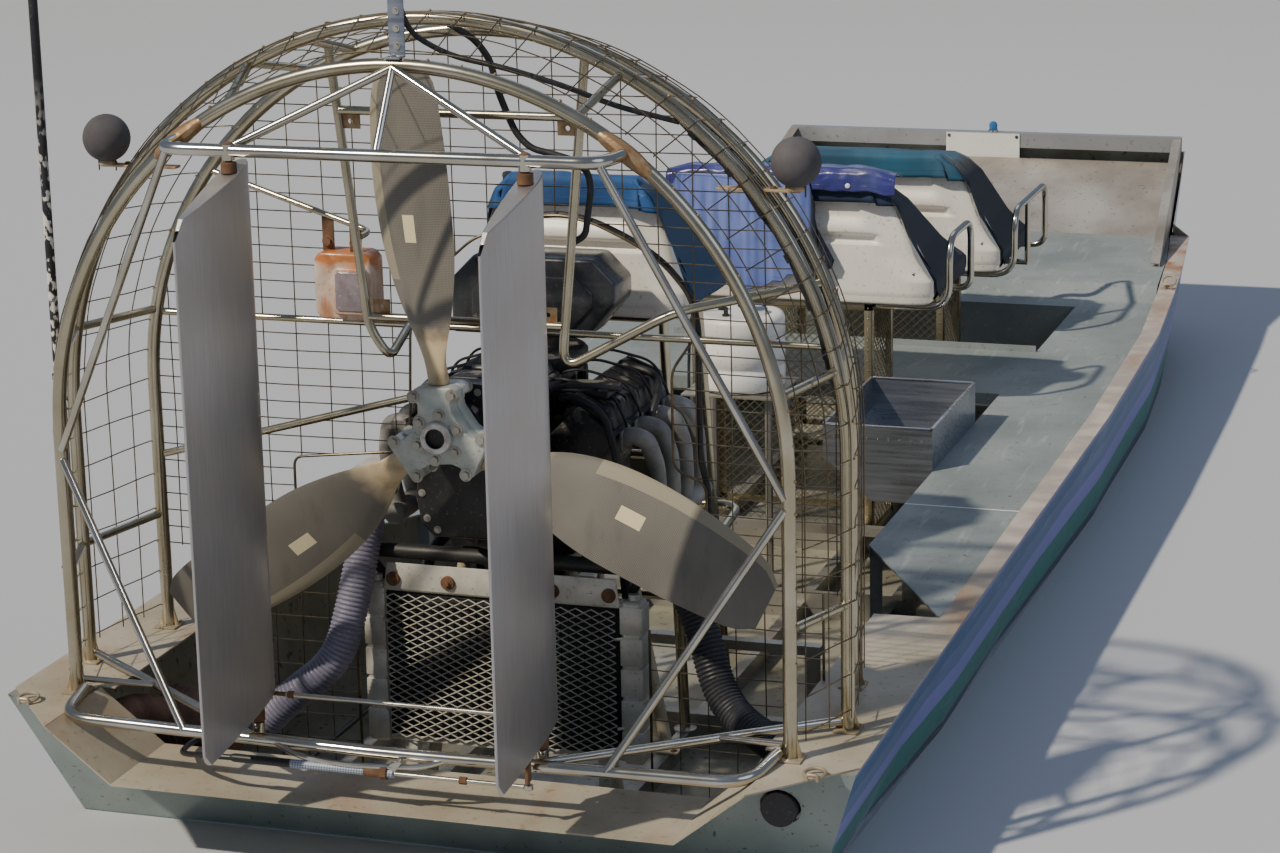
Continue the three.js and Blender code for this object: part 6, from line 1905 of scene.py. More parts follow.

# %% [markdown]
# Each seat is under a canvas cover, and the second row has vinyl over it. The canvas is
# made from the object's own place: a fine weave, faded creases, a painted shade that
# darkens the hanging sides, and a folded hem with its stitches, which a distance kept on
# the mesh puts along the border.
# %% Canvas and vinyl


def canvas(name, light, dark, roughness=0.75, sheen=0.1, coat=0.0, sides=None):
    made = Finish(name, roughness, 0.0, Sheen_Weight=sheen, Sheen_Roughness=0.4, Coat_Weight=coat,
        Coat_Roughness=0.2)
    broad = made.noise(0.3, 0.35, 0.7)
    colour = made.mix(broad, light, dark)
    fade = made.times(made.noise(0.16, 0.5, 0.8, (1.0, 0.4, 1.0), detail=8.0), 0.16)
    colour = made.mix(fade, colour, "#93a9b8")
    # Where a sides colour is given, faces that point to either side get it: this is painted shade, because
    # the hanging sides stand in shade.
    if sides:
        side_shade_mask = made.ramp(made.reckon("ABSOLUTE", made.facing("X")), 0.45, 0.7)
        colour = made.mix(side_shade_mask, colour, sides)
    hem = made.attribute("hem")
    stitch = made.below(made.reckon("ABSOLUTE", made.minus(hem, 0.022)), 0.0022)
    colour = made.mix(made.times(stitch, 0.6), colour, dark)
    made.colour(colour)
    fold = made.ramp(hem, 0.021, 0.025, 1.0, 0.0)
    weave = made.plus(made.noise(0.0016, 0.3, 0.7, (1.0, 0.25, 1.0)),
        made.noise(0.0016, 0.3, 0.7, (0.25, 1.0, 0.4)))
    made.bump(weave, 0.0003, 0.5)
    return made.bump(fold, 0.0012, 0.6)


# The sides colour of each canvas is the painted shade on its hanging sides, not a colour of the fabric.
TEAL_CANVAS = canvas("cover_canvas_teal", "#1d5872", "#113c52", sides="#0b1a29")
NAVY_CANVAS = canvas("cover_canvas_navy", "#152a48", "#0d1a30", sides="#0c1b2e")
BLUE_CANVAS = canvas("cover_canvas_blue", "#1c5590", "#123a6a", sides="#123e5e")
PURPLE_VINYL = canvas("strip_vinyl_purple", "#3a3d82", "#23265c", 0.26, 0.0, 0.5)


def torn_vinyl():
    made = canvas("torn_vinyl_pale_blue", "#7385c6", "#3f5296", 0.28, 0.0, 0.5)
    base = made.base()
    tail = made.ramp(made.axis("X"), 0.12, 0.135)
    return made.colour(made.mix(tail, base, "#121a2c"))


TORN_VINYL = torn_vinyl()

# %% [markdown]
# A cover hangs as a flap behind the back, goes over the ridge, runs taut down to the pan's
# front edge and hangs in a flap at each side, so it is one sheet that is held at its ridge
# and hems and slack between them. A grid is laid in that form, a little too large, and
# Blender's cloth solver lets it sag and buckle.
# %% Cover form
FLAP, HEM_UP, TOP_SHARE = 0.085, 0.035, 0.6
COVER_ROWS, COVER_COLUMNS = 74, 100
PROUD, LINE_STEP = 0.006, 0.004
HEM_GRAIN = 0.009


class Seat:
    """The sizes of one seat, and where the cover's middle line runs over it."""

    def __init__(self, half, y, z, crest, back=SHELL_BACK, deep=SHELL_DEEP, crease=0.004, pleat=0.012):
        self.half, self.y, self.z, self.back, self.front = half, y, z, back, deep + 0.02
        self.crease, self.pleat = crease, pleat
        corners = [(-PROUD, back - FLAP, 0), (-PROUD, back + PROUD, 0), (0.04, back + PROUD, 0),
                   (crest[0], back + PROUD + crest[1], 0), (self.front, 0.122, 0),
                   (self.front + 0.002, HEM_UP, 0)]
        self.line = evenly(rounded(corners, 0.022, 4), LINE_STEP)

    def wide(self, up):
        return self.half * between(SHOULDERS, up / self.back) + PROUD

    def rear(self, up):
        return 0.05 - 0.05 * up / self.back

    def keep_clear(self, start, end):
        """Puts a point of a flap that was drawn in through the shell back outside it."""
        if abs(start.x) > self.wide(start.z - self.z) - 0.004:
            end.x = math.copysign(max(abs(end.x), self.wide(end.z - self.z)), start.x)
        if start.y < self.y + self.rear(start.z - self.z):
            end.y = min(end.y, start.y)
        return end

    def on_line(self, share):
        return self.line[min(len(self.line) - 1, int(share * (len(self.line) - 1) + 0.5))]


def cover_place(seat, along, across):
    """A point of the cover: along runs from 0 at the flap's hem to 1 at the front hem."""
    point = seat.on_line(along)
    ahead, up = point.x, point.y
    side = 1 if across > 0 else -1
    if abs(across) <= TOP_SHARE:
        return Vector((across / TOP_SHARE * seat.wide(up), seat.y + ahead, seat.z + up))
    down = (abs(across) - TOP_SHARE) / (1 - TOP_SHARE)
    low = min(up, seat.back - FLAP + (HEM_UP - seat.back + FLAP) * step_up(ahead, -0.002, 0.05))
    height = up + (low - up) * down
    ahead = seat.rear(height) + ahead * (1 - seat.rear(height) / seat.front)
    return Vector((side * seat.wide(height), seat.y + ahead, seat.z + height))


def cover_grid(seat, seed):
    """The cover before it settles, and how firmly each vertex is held."""
    part = bmesh.new()
    bmesh.ops.create_grid(part, x_segments=COVER_COLUMNS, y_segments=COVER_ROWS, size=1.0)
    ridge = max(i for i, p in enumerate(seat.line) if p.x < 0) / (len(seat.line) - 1)
    fall = min(i for i, p in enumerate(seat.line) if p.x > seat.front - 0.006) / (len(seat.line) - 1)
    loose = [f for f in part.faces if abs(f.calc_center_median().x) > TOP_SHARE + 0.001
             and not ridge < (f.calc_center_median().y + 1) / 2 < fall]
    bmesh.ops.delete(part, geom=loose, context="FACES")
    part.verts.index_update()
    pins = {}
    for vert in part.verts:
        across, along = vert.co.x, (vert.co.y + 1) / 2
        place = cover_place(seat, along, across)
        on_side = abs(across) > TOP_SHARE + 0.001
        pleat = noise.noise(Vector((place.y * 9, place.z * 3, seed))) * seat.pleat if on_side else 0.0
        sag = noise.noise(Vector((place.x * 5, place.y * 7, seed + 5))) * seat.crease
        sag += abs(noise.noise(Vector((place.x * 13, place.y * 9, seed + 8)))) * seat.crease * 0.8
        hem = max(0.0, abs(across) - 0.9) * 10 if on_side else 0.0
        free = hem * (0.6 + 0.4 * math.sin(place.y * 41 + seed))
        vert.co = place + Vector((math.copysign(pleat * (0.3 + free) + 0.004 * free, across), 0,
            sag if not on_side else 0))
        height = place.z - seat.z
        at_ridge = 1.0 if (ridge - 0.01 < along < ridge + 0.07) and not on_side else 0.0
        at_front = 0.5 if along > fall and not on_side else 0.0
        at_corner = 1.0 if height < HEM_UP + 0.004 and along > fall else 0.0
        pins[vert.index] = max(at_ridge, at_front, 0.35 * step_up(hem, 0.8, 1.0), at_corner)
    bmesh.ops.recalc_face_normals(part, faces=part.faces)
    return part, pins


def hem_distance(mesh):
    """Rings of points counted in from the border, kept as a distance on the mesh."""
    part = bmesh.new()
    part.from_mesh(mesh)
    ring = {v: 0 for v in part.verts if v.is_boundary}
    front = list(ring)
    for count in range(1, 5):
        front = [e.other_vert(v) for v in front for e in v.link_edges if e.other_vert(v) not in ring]
        for vert in front:
            ring[vert] = count
    layer = mesh.attributes.new("hem", "FLOAT", "POINT")
    for vert in part.verts:
        layer.data[vert.index].value = ring.get(vert, 5) * HEM_GRAIN
    part.free()


CANVAS_CLOTH = {"quality": 5, "mass": 0.35, "tension_stiffness": 40, "compression_stiffness": 20,
                "shear_stiffness": 12, "bending_stiffness": 1.2, "air_damping": 3}


def settle(piece, pins, keep_clear, frames_run=24, slack=0.025, cap=0.03):
    """Let the cloth solver relax a sheet that is pinned by weight, and keep its result."""
    rest = [v.co.copy() for v in piece.data.vertices]
    group = piece.vertex_groups.new(name="held")
    for index, weight in pins.items():
        if weight > 0:
            group.add([index], weight, "REPLACE")
    cloth = piece.modifiers.new("cloth", "CLOTH")
    for key, value in {**CANVAS_CLOTH, "shrink_min": -slack, "vertex_group_mass": "held"}.items():
        setattr(cloth.settings, key, value)
    cloth.collision_settings.use_collision = False
    cloth.collision_settings.use_self_collision = False
    scene = bpy.context.scene
    cloth.point_cache.frame_start, cloth.point_cache.frame_end = 1, frames_run
    for number in range(1, frames_run + 1):
        scene.frame_set(number)
    settled = piece.evaluated_get(bpy.context.evaluated_depsgraph_get()).to_mesh()
    places = [v.co.copy() for v in settled.vertices]
    piece.modifiers.remove(cloth)
    piece.vertex_groups.clear()
    scene.frame_set(1)
    for vert, start, end in zip(piece.data.vertices, rest, places):
        moved = end - start
        vert.co = keep_clear(start, start + moved * min(1.0, cap / max(moved.length, 1e-9)))


def soft_piece(name, part, finish, pins=None, keep_clear=None, **solver):
    """A sheet of canvas or vinyl: settled, with its hem marked and a thin wall."""
    mesh = bpy.data.meshes.new(name)
    part.to_mesh(mesh)
    part.free()
    mesh.materials.append(finish.material)
    mesh.shade_smooth()
    piece = bpy.data.objects.new(name, mesh)
    bpy.context.scene.collection.objects.link(piece)
    if pins:
        settle(piece, pins, keep_clear, **solver)
    hem_distance(mesh)
    wall = piece.modifiers.new("cloth_thickness", "SOLIDIFY")
    wall.thickness, wall.offset = 0.0014, 0.0
    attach(piece, "boat")
    print(name, "area", round(sum(f.area for f in mesh.polygons), 3))
    return piece


def cover(name, node, seat, finish, seed, area, rests_on):
    part, pins = cover_grid(seat, seed)
    piece = soft_piece(name, part, finish, pins, seat.keep_clear)
    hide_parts(node)
    width = round(2 * seat.wide(0.1) + 0.4, 2)
    length = round(LINE_STEP * len(seat.line), 2)
    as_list(rests_on)
    print(name, "flat", width, length)


front_seat = Seat(BENCH_HALF, ROW_Y["row_1"], ROW_Z["row_1"], (0.22, 0.016), pleat=0.022)
second_seat = Seat(BENCH_HALF, ROW_Y["row_2"], ROW_Z["row_2"], (0.09, 0.0))
high_seat = Seat(DRIVER["half"], DRIVER["y"], DRIVER["z"], (0.09, 0.0), DRIVER["back"], DRIVER["deep"],
    crease=0.011)
cover("bench_row_1_cover", "bench_cover_row_1", front_seat, TEAL_CANVAS, 3, 1.24, ["bench_row_1_shell"])
cover("bench_row_2_cover", "bench_cover_row_2", second_seat, NAVY_CANVAS, 11, 1.16, ["bench_row_2_shell"])
cover("driver_seat_cover", "driver_cover", high_seat, BLUE_CANVAS, 23, 0.69, ["driver_shell"])

# %% [markdown]
# A strip of purple vinyl is folded over the second row's ridge and snapped down behind it.
# A torn sheet of pale blue vinyl hangs from under it at the port side, with a dark tail.
# Both are grids between a top and a bottom line; the hung one is left to the cloth solver
# with only its top edge held, so that its folds fall by themselves.
# %% Vinyl strip and torn sheet
STRIP_X = (-0.43, 0.446)
TORN_Y = 3.331
STRIP_FOLD = [(3.46, 1.452), (3.43, 1.462), (3.39, 1.468), (3.36, 1.463), (3.344, 1.445), (3.338, 1.42),
    (3.335, 1.382)]
SHEET_TOP = [(-0.42, 1.34), (-0.38, 1.43), (0.12, 1.43), (0.14, 1.36), (0.152, 1.25), (0.22, 1.125)]
SHEET_LOW = [(-0.42, 1.27), (-0.3, 1.24), (-0.235, 1.2), (-0.19, 1.09), (-0.143, 1.009), (-0.05, 1.03),
    (0.028, 1.062), (0.1, 1.11), (0.14, 1.09), (0.152, 1.05), (0.185, 1.085), (0.22, 1.11)]


def sheet_grid(columns, rows, place):
    """A grid of points between two lines; the first row is the one that is held."""
    part = bmesh.new()
    bmesh.ops.create_grid(part, x_segments=columns, y_segments=rows, size=1.0)
    pins = {}
    part.verts.index_update()
    for vert in part.verts:
        share, down = (vert.co.x + 1) / 2, (1 - vert.co.y) / 2
        vert.co = place(share, down)
        pins[vert.index] = 1.0 if down < 0.02 else 0.0
    bmesh.ops.recalc_face_normals(part, faces=part.faces)
    return part, pins


def strip_place(share, down):
    x = STRIP_X[0] + (STRIP_X[1] - STRIP_X[0]) * share
    at = down * (len(STRIP_FOLD) - 1)
    low = min(int(at), len(STRIP_FOLD) - 2)
    (y, z), (next_y, next_z) = STRIP_FOLD[low], STRIP_FOLD[low + 1]
    y, z = y + (next_y - y) * (at - low), z + (next_z - z) * (at - low)
    droop = 0.03 * step_up(abs(x), 0.33, 0.45) + 0.012 * step_up(-x, 0.0, 0.4)
    pucker = 0.006 * noise.noise(Vector((x * 16, down * 3, 4.0)))
    return Vector((x, y - abs(pucker) * step_up(down, 0.3, 0.8), z - droop * (1 - 0.6 * down) + pucker))


def sheet_place(share, down):
    x = SHEET_TOP[0][0] + (SHEET_TOP[-1][0] - SHEET_TOP[0][0]) * share
    high, low = between(SHEET_TOP, x), between(SHEET_LOW, x)
    ragged = 0.012 * noise.noise(Vector((x * 40, 0, 9.0))) * down
    fold = 0.004 + 0.03 * down * (0.5 + 0.5 * math.sin(x * 34 + 1.2 * math.sin(x * 9)))
    return Vector((x, TORN_Y - fold, high + (low - high) * down + ragged))


def behind_seat(start, end):
    end.y = min(end.y, TORN_Y - 0.002)
    return end


strip, _ = sheet_grid(120, 30, strip_place)
strip_piece = soft_piece("bench_row_2_vinyl_strip", strip, PURPLE_VINYL)
torn, torn_pins = sheet_grid(90, 60, sheet_place)
torn_piece = soft_piece("bench_row_2_torn_sheet", torn, TORN_VINYL, torn_pins, behind_seat, slack=0.04,
    cap=0.035)

snap = bmesh.new()
turned(snap, [(0, -0.004), (0.006, -0.004), (0.0095, -0.001), (0.0095, 0.002), (0, 0.002)],
    (0.27, 3.333, 1.402), "y", 24)
finished("bench_row_2_snap", snap, SIGN_WHITE, slot="white_plastic")
print("vinyl ready")

# %% [markdown]
# The driver sits high on a stand of bent tube with a footrest, and steers with a tall stick
# at the left hand. The stick turns on its pivot, so it rides on its own body.
# %% Driver's stand and stick


STICK_X, STICK_Y, STICK_PIVOT, SHEATH_CLIP = -0.385, 1.563, 0.76, 0.4


STEP_X = 0.281


def driver_stand():
    whole, plates = bmesh.new(), bmesh.new()
    y, top, deep = DRIVER["y"], DRIVER["z"] - 0.015, DRIVER["deep"]
    aft = y + 0.09
    for side in (-1, 1):
        bar(whole, (side * 0.3, aft, FLOOR_TOP + 0.004), (side * 0.25, aft, top), 0.017, 18)
        bar(whole, (side * 0.3, y + deep + 0.06, FLOOR_TOP + 0.004), (side * 0.25, y + deep - 0.04, top),
            0.017, 18)
        bar(whole, (side * 0.285, aft, 0.5), (side * 0.292, y + deep + 0.04, 0.5), 0.014, 14)
        for at in (aft, y + deep + 0.06):
            turned(plates, [(0, FLOOR_TOP), (0.036, FLOOR_TOP), (0.036, FLOOR_TOP + 0.006),
                (0.02, FLOOR_TOP + 0.01), (0, FLOOR_TOP + 0.01)], (side * 0.3, at, 0), "z", 24)
    tube(whole, [(0, aft, top), (0.25, aft, top), (0.25, y + deep - 0.04, top), (-0.25, y + deep - 0.04, top),
                 (-0.25, aft, top), (-0.001, aft, top)], 0.0145, 0.03, 16)
    tube(whole, [(-STEP_X, y + deep + 0.02, 0.56), (-STEP_X, y + deep + 0.3, 0.6),
        (STEP_X, y + deep + 0.3, 0.6), (STEP_X, y + deep + 0.02, 0.56)], 0.015, 0.06, 16)
    for height in (0.5, 0.95):
        bar(whole, (-0.28, aft, height), (0.28, aft, height), 0.014, 14)
    bar(whole, (-0.3587, STICK_Y, STICK_PIVOT), (-0.27, STICK_Y, STICK_PIVOT), 0.014, 18)
    bar(whole, (-0.399, STICK_Y, SHEATH_CLIP), (-0.28, 1.59, SHEATH_CLIP), 0.014, 14)
    collar(plates, 0.0085, 0.019, -0.012, 0.012, (STICK_X, STICK_Y, SHEATH_CLIP), "y")
    return whole, plates


stand_tubes, stand_plates = driver_stand()
finished("driver_stand_tubes", stand_tubes, STAINLESS, "driver_stand", slot="stainless")
finished("driver_stand_feet", stand_plates, MILL_ALUMINIUM, slot="stainless")

stick, grip = bmesh.new(), bmesh.new()
bar(stick, (STICK_X, STICK_Y, 0.545), (STICK_X, STICK_Y, 1.66), 0.012, 18)
turned(stick, [(0, -0.013), (0.017, -0.013), (0.018, -0.011), (0.018, 0.011), (0.017, 0.013), (0, 0.013)],
       (-0.372, STICK_Y, STICK_PIVOT), "x", 28)
ridges = [(0.0175 + (0.002 if i % 2 else 0.0), 1.651 + i * 0.0085) for i in range(9)]
turned(grip, [(0, 1.649), (0.014, 1.649), *ridges, (0.0195, 1.728), (0.0175, 1.737), (0.01, 1.7399),
    (0, 1.7399)], (STICK_X, STICK_Y, 0), "z", 28)
finished("stick_bar", stick, MILL_ALUMINIUM, "steering_stick", slot="bare_aluminium", body="steering_stick")
finished("stick_grip", grip, BLACK_RUBBER, slot="black_plastic", body="steering_stick", angle=50)
print("driver's stand ready")

# %% [markdown]
# The fuel tank is a round moulded drum with a soft rolled edge, two shallow grooves, a
# chrome cap and a few fittings with a hose. It stands on a small angle-iron table.
# %% Fuel tank
TANK_X, TANK_Y, TANK_LOW, TANK_HIGH, TANK_R = 0.04, 2.7, 0.79, 1.06, 0.16


def fuel_tank():
    drum, cap, fittings = bmesh.new(), bmesh.new(), bmesh.new()
    low, high, r = TANK_LOW, TANK_HIGH, TANK_R
    turned(drum, [(0, low), (r - 0.02, low), (r - 0.006, low + 0.006), (r, low + 0.02), (r, low + 0.075),
                  (r - 0.004, low + 0.08), (r - 0.004, low + 0.092), (r, low + 0.097), (r, high - 0.1),
                  (r - 0.004, high - 0.095), (r - 0.004, high - 0.083), (r, high - 0.078), (r, high - 0.022),
                  (r - 0.007, high - 0.006), (r - 0.022, high), (r - 0.04, high - 0.004), (0, high - 0.006)],
           (TANK_X, TANK_Y, 0), "z", 72)
    turned(cap, [(0, high - 0.004), (0.042, high - 0.004), (0.042, high + 0.012), (0.038, high + 0.014),
                 (0.034, high + 0.022), (0.02, high + 0.027),
                 (0, high + 0.028)], (TANK_X + 0.06, TANK_Y, 0), "z", 40)
    for x, y, size, sides in ((-0.07, 0.03, 0.018, 20), (-0.03, -0.07, 0.014, 6), (-0.02, 0.09, 0.014, 6)):
        turned(fittings, [(0, high - 0.006), (size, high - 0.006), (size, high + 0.002),
            (size * 0.6, high + 0.004), (size * 0.6, high + 0.016), (size * 0.4, high + 0.018),
            (0, high + 0.018)], (TANK_X + x, TANK_Y + y, 0), "z", sides)
    tube(fittings, [(TANK_X - 0.07, TANK_Y + 0.03, high + 0.016),
        (TANK_X - 0.07, TANK_Y + 0.03, high + 0.026), (TANK_X - 0.12, TANK_Y - 0.02, high + 0.025),
        (TANK_X - 0.168, TANK_Y - 0.05, high - 0.02), (TANK_X - 0.172, TANK_Y - 0.06, low + 0.08),
        (TANK_X - 0.17, TANK_Y - 0.07, low - 0.004)], 0.0055, 0.03, 10)
    return drum, cap, fittings


tank_drum, tank_cap, tank_fittings = fuel_tank()
finished("tank_drum", tank_drum, WHITE_PLASTIC, "fuel_tank", slot="white_plastic", angle=45)
finished("tank_cap", tank_cap, CHROME, slot="stainless", angle=45)
finished("tank_fittings", tank_fittings, BLACK_RUBBER, slot="black_plastic")
print("tank ready")

# %% [markdown]
# A ball of pitted grey foam stands on a flat bracket at each side of the cage. A small
# hole is bored in its top, and two bent wires hold its neck.
# %% Foam balls on their brackets
BALL_X, BALL_Y, BALL_Z, BALL_R = 0.985, 0.03, 2.085, 0.073
BALL_SEEN, BALL_STEPS = 0.066, 22
BALL_FOOT = BALL_Z - BALL_R


def foam_ball(side):
    ball, bracket, bolts = bmesh.new(), bmesh.new(), bmesh.new()
    turns = [math.pi * i / BALL_STEPS for i in range(BALL_STEPS)]
    arc = [(BALL_SEEN * math.sin(turn), BALL_SEEN * (1 - math.cos(turn)) - BALL_R) for turn in turns]
    top = 2 * BALL_SEEN - BALL_R
    hole = [(0.0055, top - 0.0003), (0.0045, top - 0.012), (0, top - 0.012)]
    turned(ball, arc + hole, (side * BALL_X, BALL_Y, BALL_Z), "z", 40)
    near, far = side * (BALL_X + 0.015), side * 0.7725
    slab(bracket, [(near, BALL_Y - 0.018), (near, BALL_Y + 0.018), (far, BALL_Y + 0.018),
        (far, BALL_Y - 0.018)], BALL_FOOT - 0.012, BALL_FOOT - 0.005, "z", 0.0015)
    turned(bracket, [(0, -0.0809), (0.024, -0.0809), (0.026, -0.076), (0.02, -0.064), (0, -0.064)],
           (side * BALL_X, BALL_Y, BALL_Z), "z", 24)
    for dx in (-0.026, 0.026):
        x = side * BALL_X + dx
        tube(bolts, [(x, BALL_Y - 0.004, BALL_FOOT - 0.024), (x, BALL_Y - 0.004, BALL_FOOT + 0.018),
                     (side * BALL_X + dx * 0.6, BALL_Y - 0.008, BALL_FOOT + 0.022)], 0.0022, 0.01, 8)
    for dx in (0.06, 0.15):
        stamp(bolts, BOLT, aimed((side * (BALL_X - dx), BALL_Y, BALL_FOOT - 0.005), (0, 0, 1), 0.9))
    return ball, bracket, bolts


for side, ball_name in ((-1, "port"), (1, "starboard")):
    ball, bracket, ball_bolts = foam_ball(side)
    finished(f"ball_{ball_name}_foam", ball, FOAM, f"ball_housing_{ball_name}", slot="grey_plastic", angle=60)
    finished(f"ball_{ball_name}_bracket", bracket, BRACKET_RUST, slot="stainless")
    finished(f"ball_{ball_name}_bolts", ball_bolts, RUST, slot="stainless")
print("balls ready")

# %% [markdown]
# The stern light is a clear dome on a dark base, on a bent aluminium strap that is bolted
# to the top of the rear hoop. The bow light is a small blue lens on the bow rail.
# %% Stern and bow lights
STRAP_FOOT = 2.3599
BOW_LIGHT = (0.05, 6.975, 0)


def dome_arc(radius, low, steps):
    """The profile of a round top, from its rim up to its pole."""
    turns = [math.pi / 2 * i / steps for i in range(steps)]
    return [(radius * math.cos(turn), low + radius * math.sin(turn)) for turn in turns] + [(0, low + radius)]


def stern_light():
    strap, base, dome, bolts = bmesh.new(), bmesh.new(), bmesh.new(), bmesh.new()
    bent = [(-0.022, 0), (0.022, 0), (0.022, 0.15), (0.06, 0.156), (0.06, 0.161), (0.017, 0.156),
        (0.017, 0.005), (-0.022, 0.005)]
    slab(strap, [(REAR_Y + y, STRAP_FOOT + z) for y, z in bent], -0.022, 0.022, "x", 0.0012)
    for up in (0.03, 0.075, 0.12):
        stamp(bolts, BOLT, aimed((0, REAR_Y + 0.017, STRAP_FOOT + up), (0, -1, 0), 0.8))
    stamp(bolts, BOLT, aimed((0, REAR_Y - 0.008, STRAP_FOOT + 0.005), (0, 0, 1), 0.9))
    centre = (0, REAR_Y + 0.038, 0)
    socket = [(0, 0.1585), (0.026, 0.1585), (0.027, 0.175), (0.024, 0.18), (0.024, 0.215), (0.026, 0.22),
        (0, 0.22)]
    turned(base, [(r, STRAP_FOOT + z) for r, z in socket], centre, "z", 36)
    turned(dome, [(0, STRAP_FOOT + 0.2205), (0.026, STRAP_FOOT + 0.2205),
        *dome_arc(0.026, STRAP_FOOT + 0.24, 8)], centre, "z", 36)
    return strap, base, dome, bolts


light_strap, light_base, light_dome, light_bolts = stern_light()
finished("stern_light_dome", light_dome, CLEAR_LENS, "stern_light", slot="white_plastic", angle=60)
finished("stern_light_base", light_base, BLACK_RUBBER, slot="black_plastic")
finished("stern_light_strap", light_strap, BOX_ALUMINIUM, slot="bare_aluminium")
finished("stern_light_bolts", light_bolts, BRIGHT_STEEL, slot="stainless")

bow_foot, bow_lens = bmesh.new(), bmesh.new()
turned(bow_foot, [(0, 1.0103), (0.024, 1.0103), (0.024, 1.017), (0.02, 1.021), (0, 1.021)], BOW_LIGHT, "z",
    32)
turned(bow_lens, [(0, 1.0212), (0.0195, 1.0212), *dome_arc(0.02, 1.04, 7)], BOW_LIGHT, "z", 32)
finished("bow_light_lens", bow_lens, BLUE_LENS, "bow_light", slot="blue_plastic", angle=60)
finished("bow_light_foot", bow_foot, CHROME, slot="stainless")
print("lights ready")

# %% [markdown]
# The work lamp is a box of amber resin with a framed lens and rusty hangers from the
# cage's inner frame. The mast is a pole whose black paint has worn off to the white below.
# %% Work lamp and mast
LAMP_X, LAMP_Y, LAMP_Z = (-0.475, -0.3), (0.215, 0.33), (1.545, 1.74)
LENS_X, LENS_Z = -0.36, 1.632
MAST_AXIS = (-1.168, 0, 0)


def work_lamp():
    body, metal, front = bmesh.new(), bmesh.new(), bmesh.new()
    (low_x, high_x), (low_y, high_y), (low_z, high_z) = LAMP_X, LAMP_Y, LAMP_Z
    outline = [(low_x, low_z + 0.02), (low_x + 0.02, low_z), (high_x - 0.02, low_z), (high_x, low_z + 0.02),
               (high_x, high_z - 0.02), (high_x - 0.02, high_z), (low_x + 0.02, high_z),
               (low_x, high_z - 0.02)]
    slab(body, outline, low_y + 0.02, high_y, "y", 0.012, 4)
    frame_line = [(-0.405, 1.565), (-0.315, 1.565), (-0.308, 1.575), (-0.308, 1.688), (-0.318, 1.7),
        (-0.4, 1.7), (-0.413, 1.688), (-0.413, 1.575)]
    slab(body, frame_line, low_y + 0.004, low_y + 0.04, "y", 0.006, 3)
    lens = [(LENS_X + (x - LENS_X) * 0.82, LENS_Z + (z - LENS_Z) * 0.84) for x, z in frame_line]
    slab(front, lens, low_y, low_y + 0.02, "y", 0.004, 3)
    for x, y, top in ((-0.44, 0.272, 1.838), (-0.35, 0.2545, 1.816)):
        slab(metal, [(x - 0.018, high_z - 0.004), (x + 0.018, high_z - 0.004), (x + 0.018, top),
            (x - 0.018, top)], y - 0.002, y + 0.002, "y", 0.0015)
        stamp(metal, BOLT, aimed((x, y - 0.002, high_z + 0.024), (0, -1, 0), 1.5))
    return body, front, metal


lamp_body, lamp_front, lamp_metal = work_lamp()
finished("work_lamp_housing", lamp_body, AMBER, "work_lamp", slot="lamp_housing", angle=45)
finished("work_lamp_front", lamp_front, AMBER_LENS, slot="lamp_housing", angle=45)
finished("work_lamp_hangers", lamp_metal, RUST, slot="rusty_steel")

mast = bmesh.new()
turned(mast, [(0, 1.32), (0.013, 1.32), (0.013, 3.05), (0.017, 3.052), (0.017, 3.066), (0.012, 3.0699),
    (0, 3.0699)], MAST_AXIS, "z", 20)
for clamp_z in (1.33, 1.39):
    collar(mast, 0.0125, 0.018, clamp_z, clamp_z + 0.016, MAST_AXIS)
    box(mast, (-1.156, -1.1417), (-0.009, 0.009), (clamp_z, clamp_z + 0.016), 0.002)
finished("mast_pole", mast, MAST_PAINT, "flag_mast", slot="white_plastic")
print("lamp and mast ready")

# %% [markdown]
# The lights' cables run along the cage. One leaves the stern light, crosses to the middle
# hoop and is taped to it on its way down, one lies inside the front hoop, one wanders down
# from the cross tube, and one follows the arch that is cut out of the front mesh.
# %% Cables and tape on the cage
(MIDDLE_Y, MIDDLE_R), (HOOP_FRONT_Y, HOOP_FRONT_R) = HOOPS["middle"], HOOPS["front"]
CABLE_THIN, CABLE_THICK = 0.0075, 0.0095
WANDERING = [(0.05, 0.02, 2.413), (0.08, 0.12, 2.36), (0.098, 0.18, 2.296), (0.107, 0.19, 2.228),
    (0.133, 0.191, 2.16), (0.16, 0.191, 2.1), (0.202, 0.191, 2.06), (0.258, 0.192, 2.049),
    (0.33, 0.193, 2.03), (0.362, 0.194, 2.0), (0.369, 0.194, 1.955), (0.357, 0.194, 1.878),
    (0.35, 0.194, 1.828), (0.315, 0.194, 1.807)]
ARCH_Y = 0.3845
ARCH = [(0.13, 1.838), (0.224, 1.847), (0.314, 1.828), (0.426, 1.778), (0.514, 1.719), (0.587, 1.632),
    (0.606, 1.54), (0.603, 1.343), (0.606, 1.17), (0.628, 1.08), (0.628, 0.83)]


def on_hoop(y, radius, degrees):
    x, z = around(radius, degrees)
    return Vector((x, y, z))


